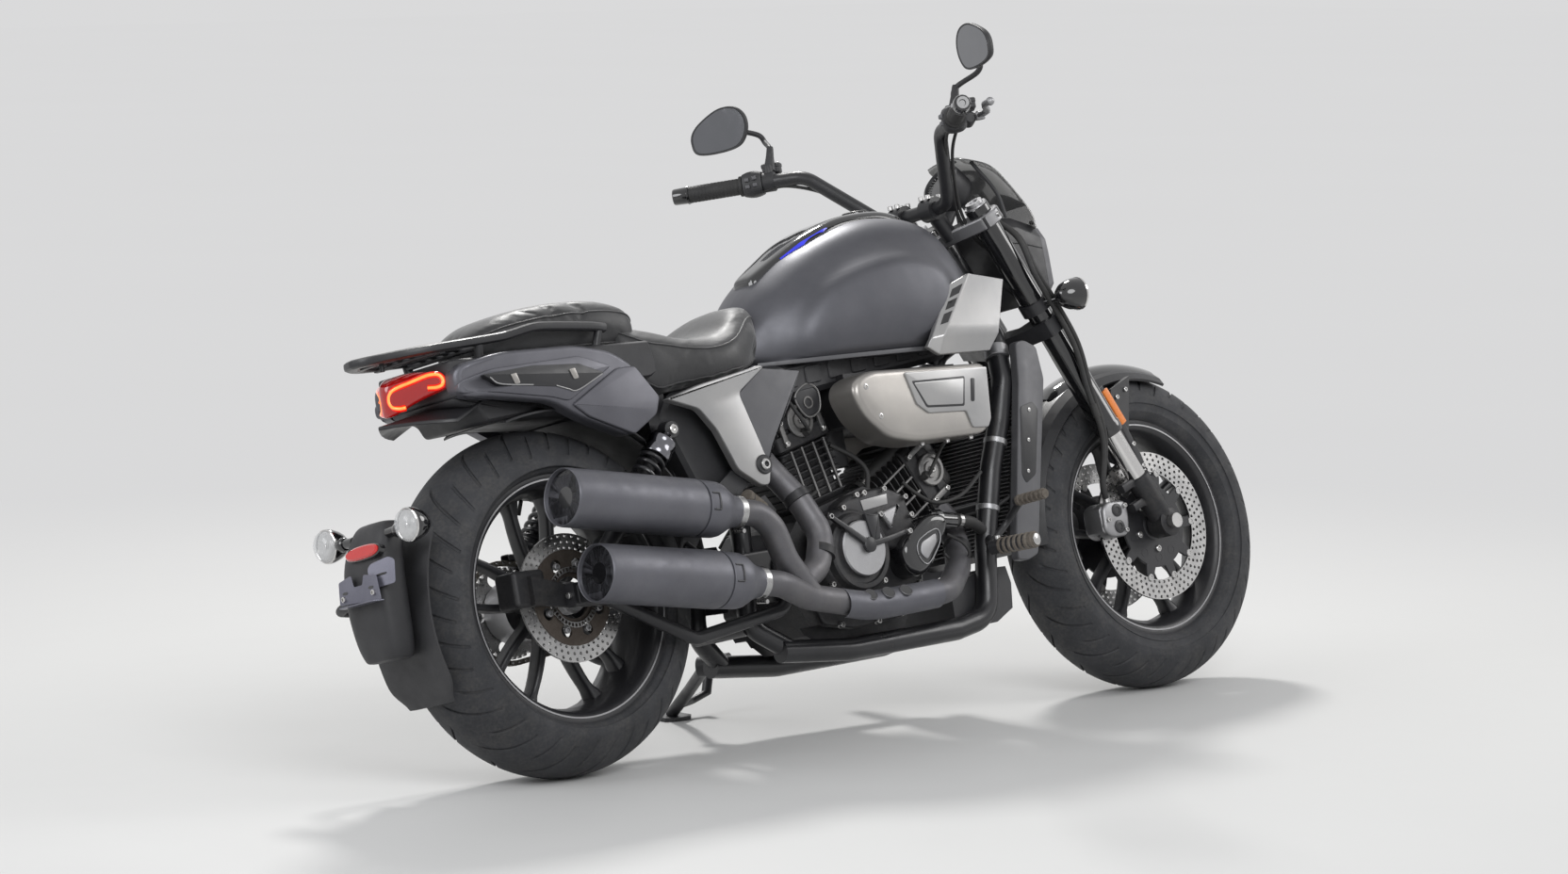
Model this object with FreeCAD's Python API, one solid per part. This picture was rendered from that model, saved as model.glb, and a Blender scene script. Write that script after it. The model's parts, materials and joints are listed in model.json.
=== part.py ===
"""Cruiser motorcycle with a V-twin engine, parked on its side stand.

The machine is drawn upright in its own bike frame: x forward from the rear axle, y to the rider's left,
z up from the ground, in millimetres. At the end every piece is leaned over on the side stand and moved so
that the origin is the centre of the footprint of its bounding box, on the floor.
"""

import FreeCAD, Part
import math
import os
from FreeCAD import Vector as V

# Driving dimensions
WHEELBASE = 1565.0
LEAN_DEG = 14.5
RAKE_DEG = 28.7
FORK_OFFSET = 44.0
FORK_HALF = 106.0

# Rear wheel: the tread edge and the rim lie below the tread by these heights
REAR_R = 326.0
REAR_HALF_W = 98.0
REAR_CROWN_H = 68.0
REAR_WALL_H = 97.0
REAR_EDGE_R = REAR_R - REAR_CROWN_H
REAR_RIM_R = REAR_R - REAR_WALL_H
REAR_RIM_HALF = 79.0
REAR_AXLE_R = 12.0
REAR_DISC_R = 0.5284 * REAR_RIM_R
REAR_DISC_Y = -82.0

# Front wheel
FRONT_R = 325.0
FRONT_HALF_W = 74.0
FRONT_CROWN_H = 57.0
FRONT_WALL_H = 107.0
FRONT_EDGE_R = FRONT_R - FRONT_CROWN_H
FRONT_RIM_R = FRONT_R - FRONT_WALL_H
FRONT_RIM_HALF = 52.0
FRONT_AXLE_R = 12.0
FRONT_DISC_R = 153.0
FRONT_DISC_Y = 71.0
DISC_T = 5.0

# Tyres are flat facets: this many bands over the crown, and this many steps round
CROWN_BANDS = 10
TYRE_STEPS = 72
SEAT_DEPTH = 12.0
RUN_CLEAR = 0.3
SPOKE_PAIRS = 5
SPOKE_W = 15.0
SPOKE_DEPTH = 34.0
HUB_R = 34.0
HUB_HALF = 62.0

# Fork and steering
FORK_OUTER_R = 26.0
FORK_INNER_R = 20.5
FORK_TOP = 775.0
FORK_OUTER_LOW = 235.0
LOWER_CLAMP = 487.0
UPPER_CLAMP = 743.0
CLAMP_T = 34.0
UPPER_CLAMP_T = 26.0
HEAD_R = 32.0
STEM_R = 14.0
STEER_DEG = 35.0

# Frame
TUBE_R = 22.0
UPRIGHT_R = 20.0
RAIL_R = 18.0
SPINE_R = 26.0
CRADLE_HALF = 110.0
BOLT_R = 12.0

# Swingarm, chain
PIVOT_X = 470.0
PIVOT_Z = 330.0
ARM_IN = 124.0
ARM_T = 28.0
CHAIN_Y = 112.0
CHAIN_W = 13.0
SPROCKET_R = 95.0
SPROCKET_T = 7.4
FRONT_SPROCKET_R = 34.0
FRONT_SPROCKET_X = 550.0
CHAIN_HALF_H = 7.0

# Shock absorbers
SHOCK_LOW = (50.0, 394.0)
SHOCK_TOP = (258.0, 612.0)
SHOCK_PIN_R = 8.0
SPRING_R = 28.0
COILS = 8

# Engine
CRANK_X = 704.0
CRANK_Z = 342.0
REAR_CYL_DEG = -14.0
FRONT_CYL_DEG = 60.0
CASE_HALF = 112.0
CYL_HALF_W = 78.0
DECK = 112.0
DECK_HALF = 74.0
REAR_CYL_TOP = 334.0
FRONT_CYL_TOP = 350.0
FINS = 6
FIN_T = 7.0

# Exhaust
MUFFLER_R = 55.0
PIPE_R = 25.0
UPPER_NECK = V(310, -222, 438)
UPPER_END = V(-95, -222, 500)
LOWER_NECK = V(325, -235, 300)
LOWER_END = V(-58, -235, 354)

# Side stand: where its foot stands on the floor when parked, from the rear axle
STAND_FOOT_X = 585.0
STAND_FOOT_Y = 392.0
STAND_LEG_R = 12.0
STAND_BOLT_R = 8.0
STAND_FOLDED = (-1.0, 0.2, -0.12)
STAND_FOOT_T = 8.0

# Handlebar and rack
BAR_R = 14.0
RACK_TOP = 812.0
CAP_BARREL = 10.0
CAP_PIN_R = 1.5

NODES = {}


def rad(deg):
    return math.radians(deg)


RAKE = rad(RAKE_DEG)
STEER_AXIS = V(-math.sin(RAKE), 0, math.cos(RAKE))
FORK_AHEAD = V(math.cos(RAKE), 0, math.sin(RAKE))
REAR_AXLE = V(0, 0, REAR_R)
FRONT_AXLE = V(WHEELBASE, 0, FRONT_R)
STEER_FOOT = FRONT_AXLE - FORK_AHEAD * FORK_OFFSET
HEAD_TOP = STEER_FOOT + STEER_AXIS * UPPER_CLAMP

# The side view is drawn round this steering head and these wheels, and stretches to suit others
DRAWN_HEAD = V(1169.6, 0, 955.6)
DRAWN_REAR_R = 326.0
DRAWN_FRONT_R = 325.0
DRAWN_CRANK = V(704, 0, 342)


def on_bike(x, y, z):
    """A point of the side view, between the rear wheel and the steering head."""
    along = x / DRAWN_HEAD.x
    tall = (1 - along) * REAR_R / DRAWN_REAR_R + along * HEAD_TOP.z / DRAWN_HEAD.z
    return V(x * HEAD_TOP.x / DRAWN_HEAD.x, y, z * tall)


def on_head(x, y, z):
    """A point of the side view that is carried by the steering head."""
    return V(x, y, z) + HEAD_TOP - DRAWN_HEAD


def on_front(x, y, z):
    """A point of the front mudguard, from the front axle, for a wheel of the drawn size."""
    scale = FRONT_R / DRAWN_FRONT_R
    return FRONT_AXLE + V(x * scale, y, z * scale)


def on_rear(x, y, z):
    """A point about the rear wheel, for a wheel of the drawn size."""
    scale = REAR_R / DRAWN_REAR_R
    return V(x * scale, y, z * scale)


PIVOT = on_bike(PIVOT_X, 0, PIVOT_Z)
CRANK = on_bike(CRANK_X, 0, CRANK_Z)
STAND_PIVOT = on_bike(505, 158, 178)
BAR_CENTRE = on_head(1128, 0, 1014)
CAP_HINGE = on_bike(993, 0, 1023)
GRIP_IN = on_head(990, 292, 1147)
GRIP_OUT = on_head(890, 424, 1153)
MIRROR_AT = on_head(985, 385, 1278)
MIRROR_TURN = 18.0


def on_engine(x, y, z):
    """A point of the engine, which keeps its size."""
    return V(x, y, z) + CRANK - DRAWN_CRANK


def on_steer(s, ahead=0.0, y=0.0):
    """A point s up the steering axis from the height of the front axle, then ahead of it and to the side."""
    return STEER_FOOT + STEER_AXIS * s + FORK_AHEAD * ahead + V(0, y, 0)


def on_leg(s, y=FORK_HALF):
    """A point s up a fork leg from the front axle."""
    return on_steer(s, FORK_OFFSET, y)


def rod(p, q, r):
    """A round bar from p to q."""
    return Part.makeCylinder(r, (q - p).Length, p, q - p)


def cone(p, q, r1, r2):
    """A tapered round bar from p to q."""
    return Part.makeCone(r1, r2, (q - p).Length, p, q - p)


def across(p, y0, y1, r):
    """A round bar across the machine, through p, from y0 to y1."""
    return rod(V(p.x, min(y0, y1), p.z), V(p.x, max(y0, y1), p.z), r)


def polygon(points):
    """A flat face with straight edges."""
    return Part.Face(Part.makePolygon(list(points) + [points[0]]))


def plate_xz(points, y0, y1, place=on_bike):
    """A side-view outline of (x, z) points, given a thickness from y0 to y1."""
    face = polygon([place(x, y0, z) for x, z in points])
    return face.extrude(V(0, y1 - y0, 0))


def block(x0, x1, y0, y1, z0, z1, place=on_bike):
    """A block between two corners of the side view."""
    return plate_xz([(x0, z0), (x1, z0), (x1, z1), (x0, z1)], y0, y1, place)


def mirror(shape):
    """The same piece on the other side of the machine."""
    return shape.mirror(V(0, 0, 0), V(0, 1, 0))


def both(shape):
    """A piece and its mirror image, as solids that don't touch."""
    return Part.makeCompound([shape, mirror(shape)])


def fuse(shapes):
    """One solid from overlapping pieces."""
    shapes = list(shapes)
    return shapes[0].multiFuse(shapes[1:]).removeSplitter() if len(shapes) > 1 else shapes[0]


def largest(shape):
    """The largest solid of a shape, without the slivers that a cut leaves."""
    return max(shape.Solids, key=lambda solid: solid.Volume)


def rounded(shape, radius, edges=None):
    """A shape with its edges rounded, or the shape as it is where the kernel can't round them."""
    try:
        made = shape.makeFillet(radius, edges or shape.Edges)
        return made if made.isValid() and made.Volume > 0 else shape
    except Part.OCCError:
        return shape


def centreline(points, bend):
    """A wire of straight runs joined by tangent arcs. bend is one radius, or one for each inner point."""
    edges = []
    start = points[0]
    bends = bend if isinstance(bend, (list, tuple)) else [bend] * (len(points) - 2)
    for i in range(1, len(points) - 1):
        before = (points[i - 1] - points[i]).normalize()
        after = (points[i + 1] - points[i]).normalize()
        half = before.getAngle(after) / 2
        reach = bends[i - 1] / math.tan(half)
        room = 0.48 * min((points[i - 1] - points[i]).Length, (points[i + 1] - points[i]).Length)
        reach = min(reach, room)
        radius = reach * math.tan(half)
        a = points[i] + before * reach
        b = points[i] + after * reach
        middle = (before + after).normalize()
        m = points[i] + middle * (radius / math.sin(half) - radius)
        if (a - start).Length > 0.01:
            edges.append(Part.LineSegment(start, a).toShape())
        edges.append(Part.Arc(a, m, b).toShape())
        start = b
    edges.append(Part.LineSegment(start, points[-1]).toShape())
    return Part.Wire(edges)


def tube(points, r, bend=60.0):
    """A round bar along points, with bent corners."""
    if len(points) == 2:
        return rod(points[0], points[1], r)
    path = centreline(points, bend)
    ring = Part.Wire(Part.makeCircle(r, points[0], points[1] - points[0]))
    return path.makePipeShell([ring], True, False)


def turned(points, centre, axis=V(0, 1, 0), out=V(0, 0, 1), degrees=360.0):
    """A solid of revolution. Each point is (distance along the axis, radius)."""
    axis = V(axis).normalize()
    out = V(out).normalize()
    outline = [centre + axis * a + out * r for a, r in points]
    return polygon(outline).revolve(centre, axis, degrees)


def faceted(points, centre):
    """A ring turned about the axle in flat steps. Each point is (distance along the axle, radius)."""
    sections = []
    for i in range(TYRE_STEPS):
        turn = 2 * math.pi * i / TYRE_STEPS
        out = V(math.sin(turn), 0, math.cos(turn))
        sections.append([centre + V(0, a, 0) + out * r for a, r in points])
    faces = []
    for here, there in zip(sections, sections[1:] + sections[:1]):
        for j in range(len(points)):
            k = (j + 1) % len(points)
            faces.append(polygon([here[j], here[k], there[k], there[j]]))
    shell = Part.Shell(faces)
    shell.sewShape()
    solid = Part.Solid(shell)
    return solid if solid.Volume > 0 else solid.reversed()


def crown(half_w, edge_r, outer_r):
    """The round crown of a tyre, from one tread edge to the other, as (y, radius) points on one arc."""
    centre = (outer_r ** 2 - edge_r ** 2 - half_w ** 2) / (2 * (outer_r - edge_r))
    radius = outer_r - centre
    end = math.asin(half_w / radius) if edge_r > centre else math.pi - math.asin(half_w / radius)
    steps = [end * (2.0 * i / CROWN_BANDS - 1) for i in range(CROWN_BANDS + 1)]
    return [(radius * math.sin(t), centre + radius * math.cos(t)) for t in steps], centre, radius


def tyre(centre, half_w, edge_r, outer_r, rim_r, rim_half):
    """A tyre: round crown, flat sidewalls down to the rim flange, and the bore that sits on the rim."""
    arc, _, _ = crown(half_w, edge_r, outer_r)
    side = [(rim_half - 5.3, rim_r + 2), (rim_half - 6.6, rim_r - SEAT_DEPTH)]
    outline = arc + side + [(-a, r) for a, r in reversed(side)]
    return faceted(outline, centre)


def rim(centre, rim_r, rim_half, axle_r, twist):
    """A cast wheel: flanged barrel, hub, and pairs of spokes that meet at the barrel."""
    seat = rim_r - SEAT_DEPTH - RUN_CLEAR
    barrel = [
        (rim_half, rim_r), (rim_half, rim_r - 20), (rim_half - 12, rim_r - 26),
        (20, rim_r - 34), (-20, rim_r - 34), (-(rim_half - 12), rim_r - 26),
        (-rim_half, rim_r - 20), (-rim_half, rim_r), (-(rim_half - 5), rim_r),
        (-(rim_half - 6.3), seat), (rim_half - 6.3, seat), (rim_half - 5, rim_r),
    ]
    pieces = [turned(barrel, centre)]
    pieces.append(turned([(-HUB_HALF, 0), (HUB_HALF, 0), (HUB_HALF, HUB_R - 6), (22, HUB_R + 4), (-22, HUB_R + 4),
                          (-HUB_HALF, HUB_R - 6)], centre))
    meet = rim_r - 32
    for i in range(SPOKE_PAIRS):
        middle = twist + 2 * math.pi * i / SPOKE_PAIRS
        for side in (-1, 1):
            low, high = middle + side * rad(17), middle + side * rad(4)
            foot = centre + V(math.cos(low), 0, math.sin(low)) * (HUB_R - 4)
            head = centre + V(math.cos(high), 0, math.sin(high)) * meet
            pieces.append(spoke(foot, head))
    return fuse(pieces).cut(across(centre, -HUB_HALF - 1, HUB_HALF + 1, axle_r + RUN_CLEAR))


def spoke(foot, head):
    """One straight cast spoke, deeper at the hub than at the barrel."""
    along = (head - foot).normalize()
    aside = along.cross(V(0, 1, 0)).normalize()

    def section(at, w, d):
        corners = [(-w, -d * 0.6), (-w * 0.5, -d), (w * 0.5, -d), (w, -d * 0.6),
                   (w, d * 0.6), (w * 0.5, d), (-w * 0.5, d), (-w, d * 0.6)]
        points = [at + aside * a + V(0, b, 0) for a, b in corners]
        return Part.makePolygon(points + [points[0]])

    return Part.makeLoft([section(foot, SPOKE_W / 2 + 2, SPOKE_DEPTH / 2 + 4),
                          section(head, SPOKE_W / 2, SPOKE_DEPTH / 2)], True, True)


def disc(centre, y, r_out, r_in, holes, hole_r, hole_at):
    """A brake disc with its ring of windows."""
    low = centre + V(0, y - DISC_T / 2, 0)
    made = Part.makeCylinder(r_out, DISC_T, low, V(0, 1, 0))
    cuts = [Part.makeCylinder(r_in, DISC_T, low, V(0, 1, 0))]
    for i in range(holes):
        turn = 2 * math.pi * i / holes
        cuts.append(Part.makeCylinder(hole_r, DISC_T, low + V(math.cos(turn), 0, math.sin(turn)) * hole_at, V(0, 1, 0)))
    return made.cut(Part.makeCompound(cuts))


# The rear wheel
def rear_wheel():
    NODES["rear_tyre"] = tyre(REAR_AXLE, REAR_HALF_W, REAR_EDGE_R, REAR_R, REAR_RIM_R, REAR_RIM_HALF)
    cast = rim(REAR_AXLE, REAR_RIM_R, REAR_RIM_HALF, REAR_AXLE_R, rad(90))
    bore = REAR_AXLE_R + RUN_CLEAR
    carrier = CHAIN_Y - SPROCKET_T / 2
    drum = turned([(HUB_HALF - 4, bore), (carrier, bore), (carrier, 58), (40, 62), (40, 34), (HUB_HALF - 4, 34)],
                  REAR_AXLE)
    disc_face = REAR_DISC_Y + DISC_T / 2
    seat = turned([(4 - HUB_HALF, bore), (disc_face, bore), (disc_face, 0.51 * REAR_DISC_R), (-50, 0.36 * REAR_DISC_R),
                   (-50, 30), (4 - HUB_HALF, 30)], REAR_AXLE)
    NODES["rear_rim"] = fuse([cast, drum, seat])
    NODES["rear_disc"] = disc(REAR_AXLE, REAR_DISC_Y, REAR_DISC_R, 0.43 * REAR_DISC_R, 10, 0.083 * REAR_DISC_R,
                             0.68 * REAR_DISC_R)
    NODES["rear_sprocket"] = sprocket()


def sprocket():
    """The chain wheel: a toothed plate on the wheel's left side, with its teeth inside the chain's plates."""
    teeth = 40
    tip = SPROCKET_R - CHAIN_HALF_H - RUN_CLEAR
    root = tip - 5
    low = REAR_AXLE + V(0, CHAIN_Y - SPROCKET_T / 2, 0)
    outline = []
    for i in range(teeth):
        start = 2 * math.pi * i / teeth
        for step, r in ((-0.03, tip), (0.03, tip), (0.055, root), (0.105, root)):
            outline.append(low + V(math.cos(start + step), 0, math.sin(start + step)) * r)
    plate = polygon(outline).extrude(V(0, SPROCKET_T, 0))
    cuts = [Part.makeCylinder(REAR_AXLE_R + 8, SPROCKET_T, low, V(0, 1, 0))]
    for i in range(5):
        turn = 2 * math.pi * (i + 0.5) / 5
        cuts.append(Part.makeCylinder(13, SPROCKET_T, low + V(math.cos(turn), 0, math.sin(turn)) * 68, V(0, 1, 0)))
    return plate.cut(Part.makeCompound(cuts))


def front_sprocket_at():
    return on_engine(FRONT_SPROCKET_X, 0, PIVOT_Z + 4)


def chain():
    """The drive chain as one closed loop round both sprockets, with the rollers' waist along its middle."""
    front = front_sprocket_at()
    gap = front - REAR_AXLE
    tilt = math.atan2(gap.z, gap.x)
    lean = math.asin((SPROCKET_R - FRONT_SPROCKET_R) / gap.Length)

    def loop(offset, half):
        a1, a2 = tilt + math.pi / 2 - lean, tilt - math.pi / 2 + lean
        r1, r2 = SPROCKET_R + offset, FRONT_SPROCKET_R + offset

        def at(c, r, a):
            return c + V(math.cos(a) * r, CHAIN_Y - half, math.sin(a) * r)

        back, nose = tilt + math.pi, tilt
        edges = [Part.Arc(at(REAR_AXLE, r1, a1), at(REAR_AXLE, r1, back), at(REAR_AXLE, r1, a2)).toShape(),
                 Part.LineSegment(at(REAR_AXLE, r1, a2), at(front, r2, a2)).toShape(),
                 Part.Arc(at(front, r2, a2), at(front, r2, nose), at(front, r2, a1)).toShape(),
                 Part.LineSegment(at(front, r2, a1), at(REAR_AXLE, r1, a1)).toShape()]
        return Part.Face(Part.Wire(edges)).extrude(V(0, 2 * half, 0))

    half = CHAIN_W / 2
    band = loop(CHAIN_HALF_H, half).cut(loop(-CHAIN_HALF_H, half + 1))
    groove = loop(CHAIN_HALF_H + 1, 2).cut(loop(2, 3))
    NODES["drive_chain"] = band.cut(groove)


# The front wheel
def front_wheel():
    NODES["front_tyre"] = tyre(FRONT_AXLE, FRONT_HALF_W, FRONT_EDGE_R, FRONT_R, FRONT_RIM_R, FRONT_RIM_HALF)
    cast = rim(FRONT_AXLE, FRONT_RIM_R, FRONT_RIM_HALF, FRONT_AXLE_R, rad(54))
    seats = []
    for side in (-1, 1):
        inner, outer = side * 45, side * (FRONT_DISC_Y - DISC_T / 2)
        seats.append(turned([(inner, FRONT_AXLE_R + RUN_CLEAR), (outer, FRONT_AXLE_R + RUN_CLEAR),
                             (outer, 40), (inner, 30)], FRONT_AXLE))
    NODES["front_rim"] = fuse([cast] + seats)
    NODES["front_discs"] = both(disc(FRONT_AXLE, -FRONT_DISC_Y, FRONT_DISC_R, 26, 6, 22, 88))


# The fork, clamps, and all that steers
def fork():
    legs = []
    for side in (1, -1):
        y = side * FORK_HALF
        outer = rod(on_leg(FORK_OUTER_LOW, y), on_leg(FORK_TOP, y), FORK_OUTER_R)
        collar = rod(on_leg(FORK_OUTER_LOW - 12, y), on_leg(FORK_OUTER_LOW + 10, y), FORK_OUTER_R + 2.5)
        inner = rod(on_leg(70, y), on_leg(FORK_OUTER_LOW, y), FORK_INNER_R)
        foot = on_leg(0, y)
        shoe = cone(on_leg(20, y), on_leg(112, y), 24, 26)
        lug = rod(foot - V(0, 22, 0), foot + V(0, 22, 0), 29)
        web = rod(on_leg(2, y), on_leg(40, y), 21)
        horn = rod(on_leg(60, y) + FORK_AHEAD * -12, on_leg(95, y) + FORK_AHEAD * -52, 11)
        bore = rod(foot - V(0, 40, 0), foot + V(0, 40, 0), FRONT_AXLE_R)
        legs.append(fuse([outer, collar, inner, shoe, lug, web, horn]).cut(bore))
    NODES["fork_legs"] = Part.makeCompound(legs)
    reach = FORK_HALF + 30
    caps = [turned([(side * (reach + 8), 0), (side * (reach + 8), 15), (side * (reach - 7), 15), (side * (reach - 7), 0)],
                   FRONT_AXLE) for side in (1, -1)]
    NODES["front_axle"] = fuse([across(FRONT_AXLE, -reach, reach, FRONT_AXLE_R)] + caps)


def clamp(s, thick, reach_ahead):
    """One triple clamp: a waisted plate across the two legs, bored for them, on the steering axis."""
    right = [(-22, 24), (FORK_OFFSET - 26, FORK_HALF + 30), (FORK_OFFSET + 16, FORK_HALF + 36),
             (FORK_OFFSET + 34, FORK_HALF + 16), (FORK_OFFSET + 34, FORK_HALF - 22), (reach_ahead, 52)]
    outline = right + [(ahead, -y) for ahead, y in reversed(right)]
    plate = polygon([on_steer(s - thick / 2, ahead, y) for ahead, y in outline]).extrude(STEER_AXIS * thick)
    plate = rounded(plate, 6, [e for e in plate.Edges if abs(e.Length - thick) < 0.1])
    for side in (1, -1):
        plate = plate.cut(rod(on_leg(s - thick, side * FORK_HALF), on_leg(s + thick, side * FORK_HALF), FORK_OUTER_R))
    return plate


def steering():
    stem = rod(on_steer(LOWER_CLAMP - 10), on_steer(UPPER_CLAMP + 26), STEM_R)
    nut = rod(on_steer(UPPER_CLAMP + 12), on_steer(UPPER_CLAMP + 28), 19)
    pieces = [clamp(LOWER_CLAMP, CLAMP_T, 26), stem, nut, clamp(UPPER_CLAMP, UPPER_CLAMP_T, 20)]
    for side in (1, -1):
        y = side * 46
        pieces.append(rod(on_steer(UPPER_CLAMP, -2, y), BAR_CENTRE + V(3, y, -6), 17))
        pieces.append(across(BAR_CENTRE, y - 17, y + 17, 24))
    NODES["steering_clamps"] = fuse(pieces).cut(across(BAR_CENTRE, -68, 68, BAR_R))


def handlebar():
    half = [BAR_CENTRE + V(0, 95, 0), on_head(1034, 205, 1140), GRIP_IN, GRIP_OUT]
    points = [V(p.x, -p.y, p.z) for p in reversed(half)] + half
    NODES["handlebar"] = tube(points, BAR_R, [70, 60, 50, 50, 60, 70])
    along = (GRIP_OUT - GRIP_IN).normalize()
    grip = rod(GRIP_IN + along * 40, GRIP_OUT - along * 14, 17)
    end = cone(GRIP_OUT - along * 14, GRIP_OUT + along * 12, 18, 15)
    ring = rod(GRIP_IN + along * 36, GRIP_IN + along * 42, 21)
    grip = fuse([grip, end, ring]).cut(rod(GRIP_IN, GRIP_OUT, BAR_R))
    NODES["grips"] = both(grip)
    controls(along)


def controls(along):
    """Switch housings, master cylinders with their reservoirs, and the lever blades."""
    pod = rod(GRIP_IN - along * 6, GRIP_IN + along * 35, 26)
    bracket = rod(GRIP_IN - along * 30, GRIP_IN - along * 4, 20)
    ahead = along.cross(V(0, 0, 1)).normalize()
    pump = rod(GRIP_IN - along * 42 + ahead * 34, GRIP_IN + along * 6 + ahead * 34, 12)
    neck = rod(GRIP_IN - along * 22 + ahead * 10, GRIP_IN - along * 22 + ahead * 36, 11)
    reservoir = rod(GRIP_IN - along * 22 + ahead * 34, GRIP_IN - along * 22 + ahead * 34 + V(0, 0, 40), 19)
    boss = rod(GRIP_IN - along * 20 + V(0, 0, 10), GRIP_IN - along * 20 + V(0, 0, 34), 9)
    pivot = GRIP_IN + along * 4 + ahead * 52
    reach = [pivot, GRIP_IN + along * 50 + ahead * 62, GRIP_IN + along * 120 + ahead * 50,
             GRIP_IN + along * 152 + ahead * 58]
    root = rod(pivot - V(0, 0, 7), pivot + V(0, 0, 7), 11)
    knob = Part.makeSphere(8.5, reach[-1])
    made = pod.multiFuse([bracket, pump, neck, reservoir, boss, tube(reach, 6.5, 60), root, knob])
    NODES["bar_controls"] = both(largest(made.cut(NODES["handlebar"])))


def mirror_outline(scale, back):
    """The mirror head's outline, a rounded shape wider at its outer end, set back from its glass."""
    toward = V(-math.cos(rad(MIRROR_TURN)), -math.sin(rad(MIRROR_TURN)), 0)
    side = V(toward.y, -toward.x, 0)
    corners = [(-70, -14), (-58, -40), (-8, -46), (44, -40), (68, -10), (66, 20), (44, 42), (6, 46), (-40, 26)]
    points = [MIRROR_AT - toward * back + side * (a * scale) + V(0, 0, b * scale) for a, b in corners]
    curve = Part.BSplineCurve()
    curve.interpolate(points, PeriodicFlag=True)
    return Part.Wire(curve.toShape())


def mirrors():
    shell = Part.makeLoft([mirror_outline(1.0, 0), mirror_outline(0.97, 8), mirror_outline(0.72, 22)], True, True)
    base = GRIP_IN + V(22, -12, 30)
    stem = tube([base, base + V(16, 2, 48), on_head(1060, 330, 1243), MIRROR_AT + V(16, -30, -8)], 5.5, [30, 18])
    foot = cone(base - V(0, 0, 6), base + V(9, 1, 34), 11, 7)
    NODES["mirrors"] = both(largest(fuse([shell, stem, foot]).cut(NODES["bar_controls"])))


def headlight():
    """The headlight shell: an angular body between the fork legs, with a lens at the front and the dash on top."""
    def ring(x, z_low, z_high, half, chamfer):
        right = [(half - chamfer, z_low), (half, z_low + chamfer), (half, z_high - chamfer), (half - chamfer, z_high)]
        loop = [on_head(x, y, z) for y, z in right] + [on_head(x, -y, z) for y, z in reversed(right)]
        return Part.makePolygon(loop + [loop[0]])

    front = ring(1405, 822, 962, 74, 18)
    body = Part.makeLoft([ring(1268, 850, 985, 70, 14), ring(1330, 800, 985, 74, 16), front], True, True)
    NODES["headlight_lens"] = Part.makeLoft([front, ring(1428, 846, 940, 60, 18)], True, True)
    ear = plate_xz([(1262, 930), (1316, 905), (1330, 870), (1300, 842), (1262, 862)], 70, 76, on_head)
    strut = rod(on_head(1270, 72, 890), on_head(1262, 90, 893), 9)
    shell = fuse([body, ear, strut, mirror(ear), mirror(strut)])
    NODES["headlight_shell"] = largest(shell.cut(NODES["fork_legs"]))
    screen = plate_xz([(1248, 1128), (1300, 1105), (1392, 996), (1398, 960), (1388, 960), (1382, 992), (1296, 1096),
                       (1246, 1118)], -78, 78, on_head)
    front_view = ((-78, 950), (-78, 1080), (-50, 1140), (50, 1140), (78, 1080), (78, 950))
    face = polygon([on_head(1200, y, z) for y, z in front_view])
    NODES["fly_screen"] = largest(screen.common(face.extrude(V(220, 0, 0))).cut(shell).cut(NODES["headlight_lens"]))
    dial = turned([(0, 0), (0, 44), (40, 44), (52, 38), (60, 22), (60, 0)], on_head(1214, 0, 1072),
                  V(34, 0, -28), V(28, 0, 34))
    foot = tube([on_head(1180, 0, 968), on_head(1215, 0, 998), on_head(1240, 0, 1044)], 12, 20)
    NODES["instrument"] = largest(fuse([dial, foot]).cut(NODES["steering_clamps"]))
    collar = rod(on_leg(522), on_leg(548), FORK_OUTER_R + 6)
    stalk = rod(on_leg(535, FORK_HALF + 20), on_head(1326, 172, 797), 9)
    bulb = turned([(-42, 0), (-38, 14), (-22, 27), (4, 33), (22, 32), (22, 0)], on_head(1336, 190, 800),
                  V(1, 0.1, 0))
    NODES["front_indicators"] = both(largest(fuse([collar, stalk, bulb]).cut(NODES["fork_legs"])))


def front_fender():
    """The front mudguard over the tyre, with its skirt to the fork legs."""
    inner_r, thick = FRONT_R + 14, 4.0
    arc, _, _ = crown(FRONT_HALF_W + 8, FRONT_EDGE_R + 16, inner_r)
    arc = arc[1:-1]
    outline = [FRONT_AXLE + V(0, a, r) for a, r in arc + [(a * 1.05, r + thick) for a, r in reversed(arc)]]
    start = polygon(outline).rotated(FRONT_AXLE, V(0, 1, 0), 20.0)
    body = start.revolve(FRONT_AXLE, V(0, 1, 0), -112.0)
    for side in (1, -1):
        tab = plate_xz([(-65, 287), (-5, 311), (-35, 195), (-60, 122), (-98, 138), (-110, 182), (-88, 200)],
                       side * 79, side * 87, on_front)
        ledge = plate_xz([(-65, 287), (-5, 311), (-9, 290), (-62, 278)], side * 73, side * 80, on_front)
        body = body.fuse(tab).fuse(ledge)
    NODES["front_fender"] = largest(body.cut(NODES["fork_legs"]))


def caliper(centre, y, x, z, half_y, half_x, half_z, disc_r):
    """A brake caliper: a rounded block with a slot for the disc that runs through it."""
    made = Part.makeBox(2 * half_x, 2 * half_y, 2 * half_z, centre + V(x - half_x, y - half_y, z - half_z))
    slot = Part.makeCylinder(disc_r + 6, DISC_T + 6, centre + V(0, y - DISC_T / 2 - 3, 0), V(0, 1, 0))
    return rounded(made, 9).cut(slot)


def front_brakes():
    """The two brake calipers, each behind its fork foot and over its disc."""
    made = caliper(FRONT_AXLE, FRONT_DISC_Y, -129, 21, 33, 41, 39, FRONT_DISC_R)
    NODES["front_calipers"] = both(largest(made.cut(NODES["fork_legs"])))


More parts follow.
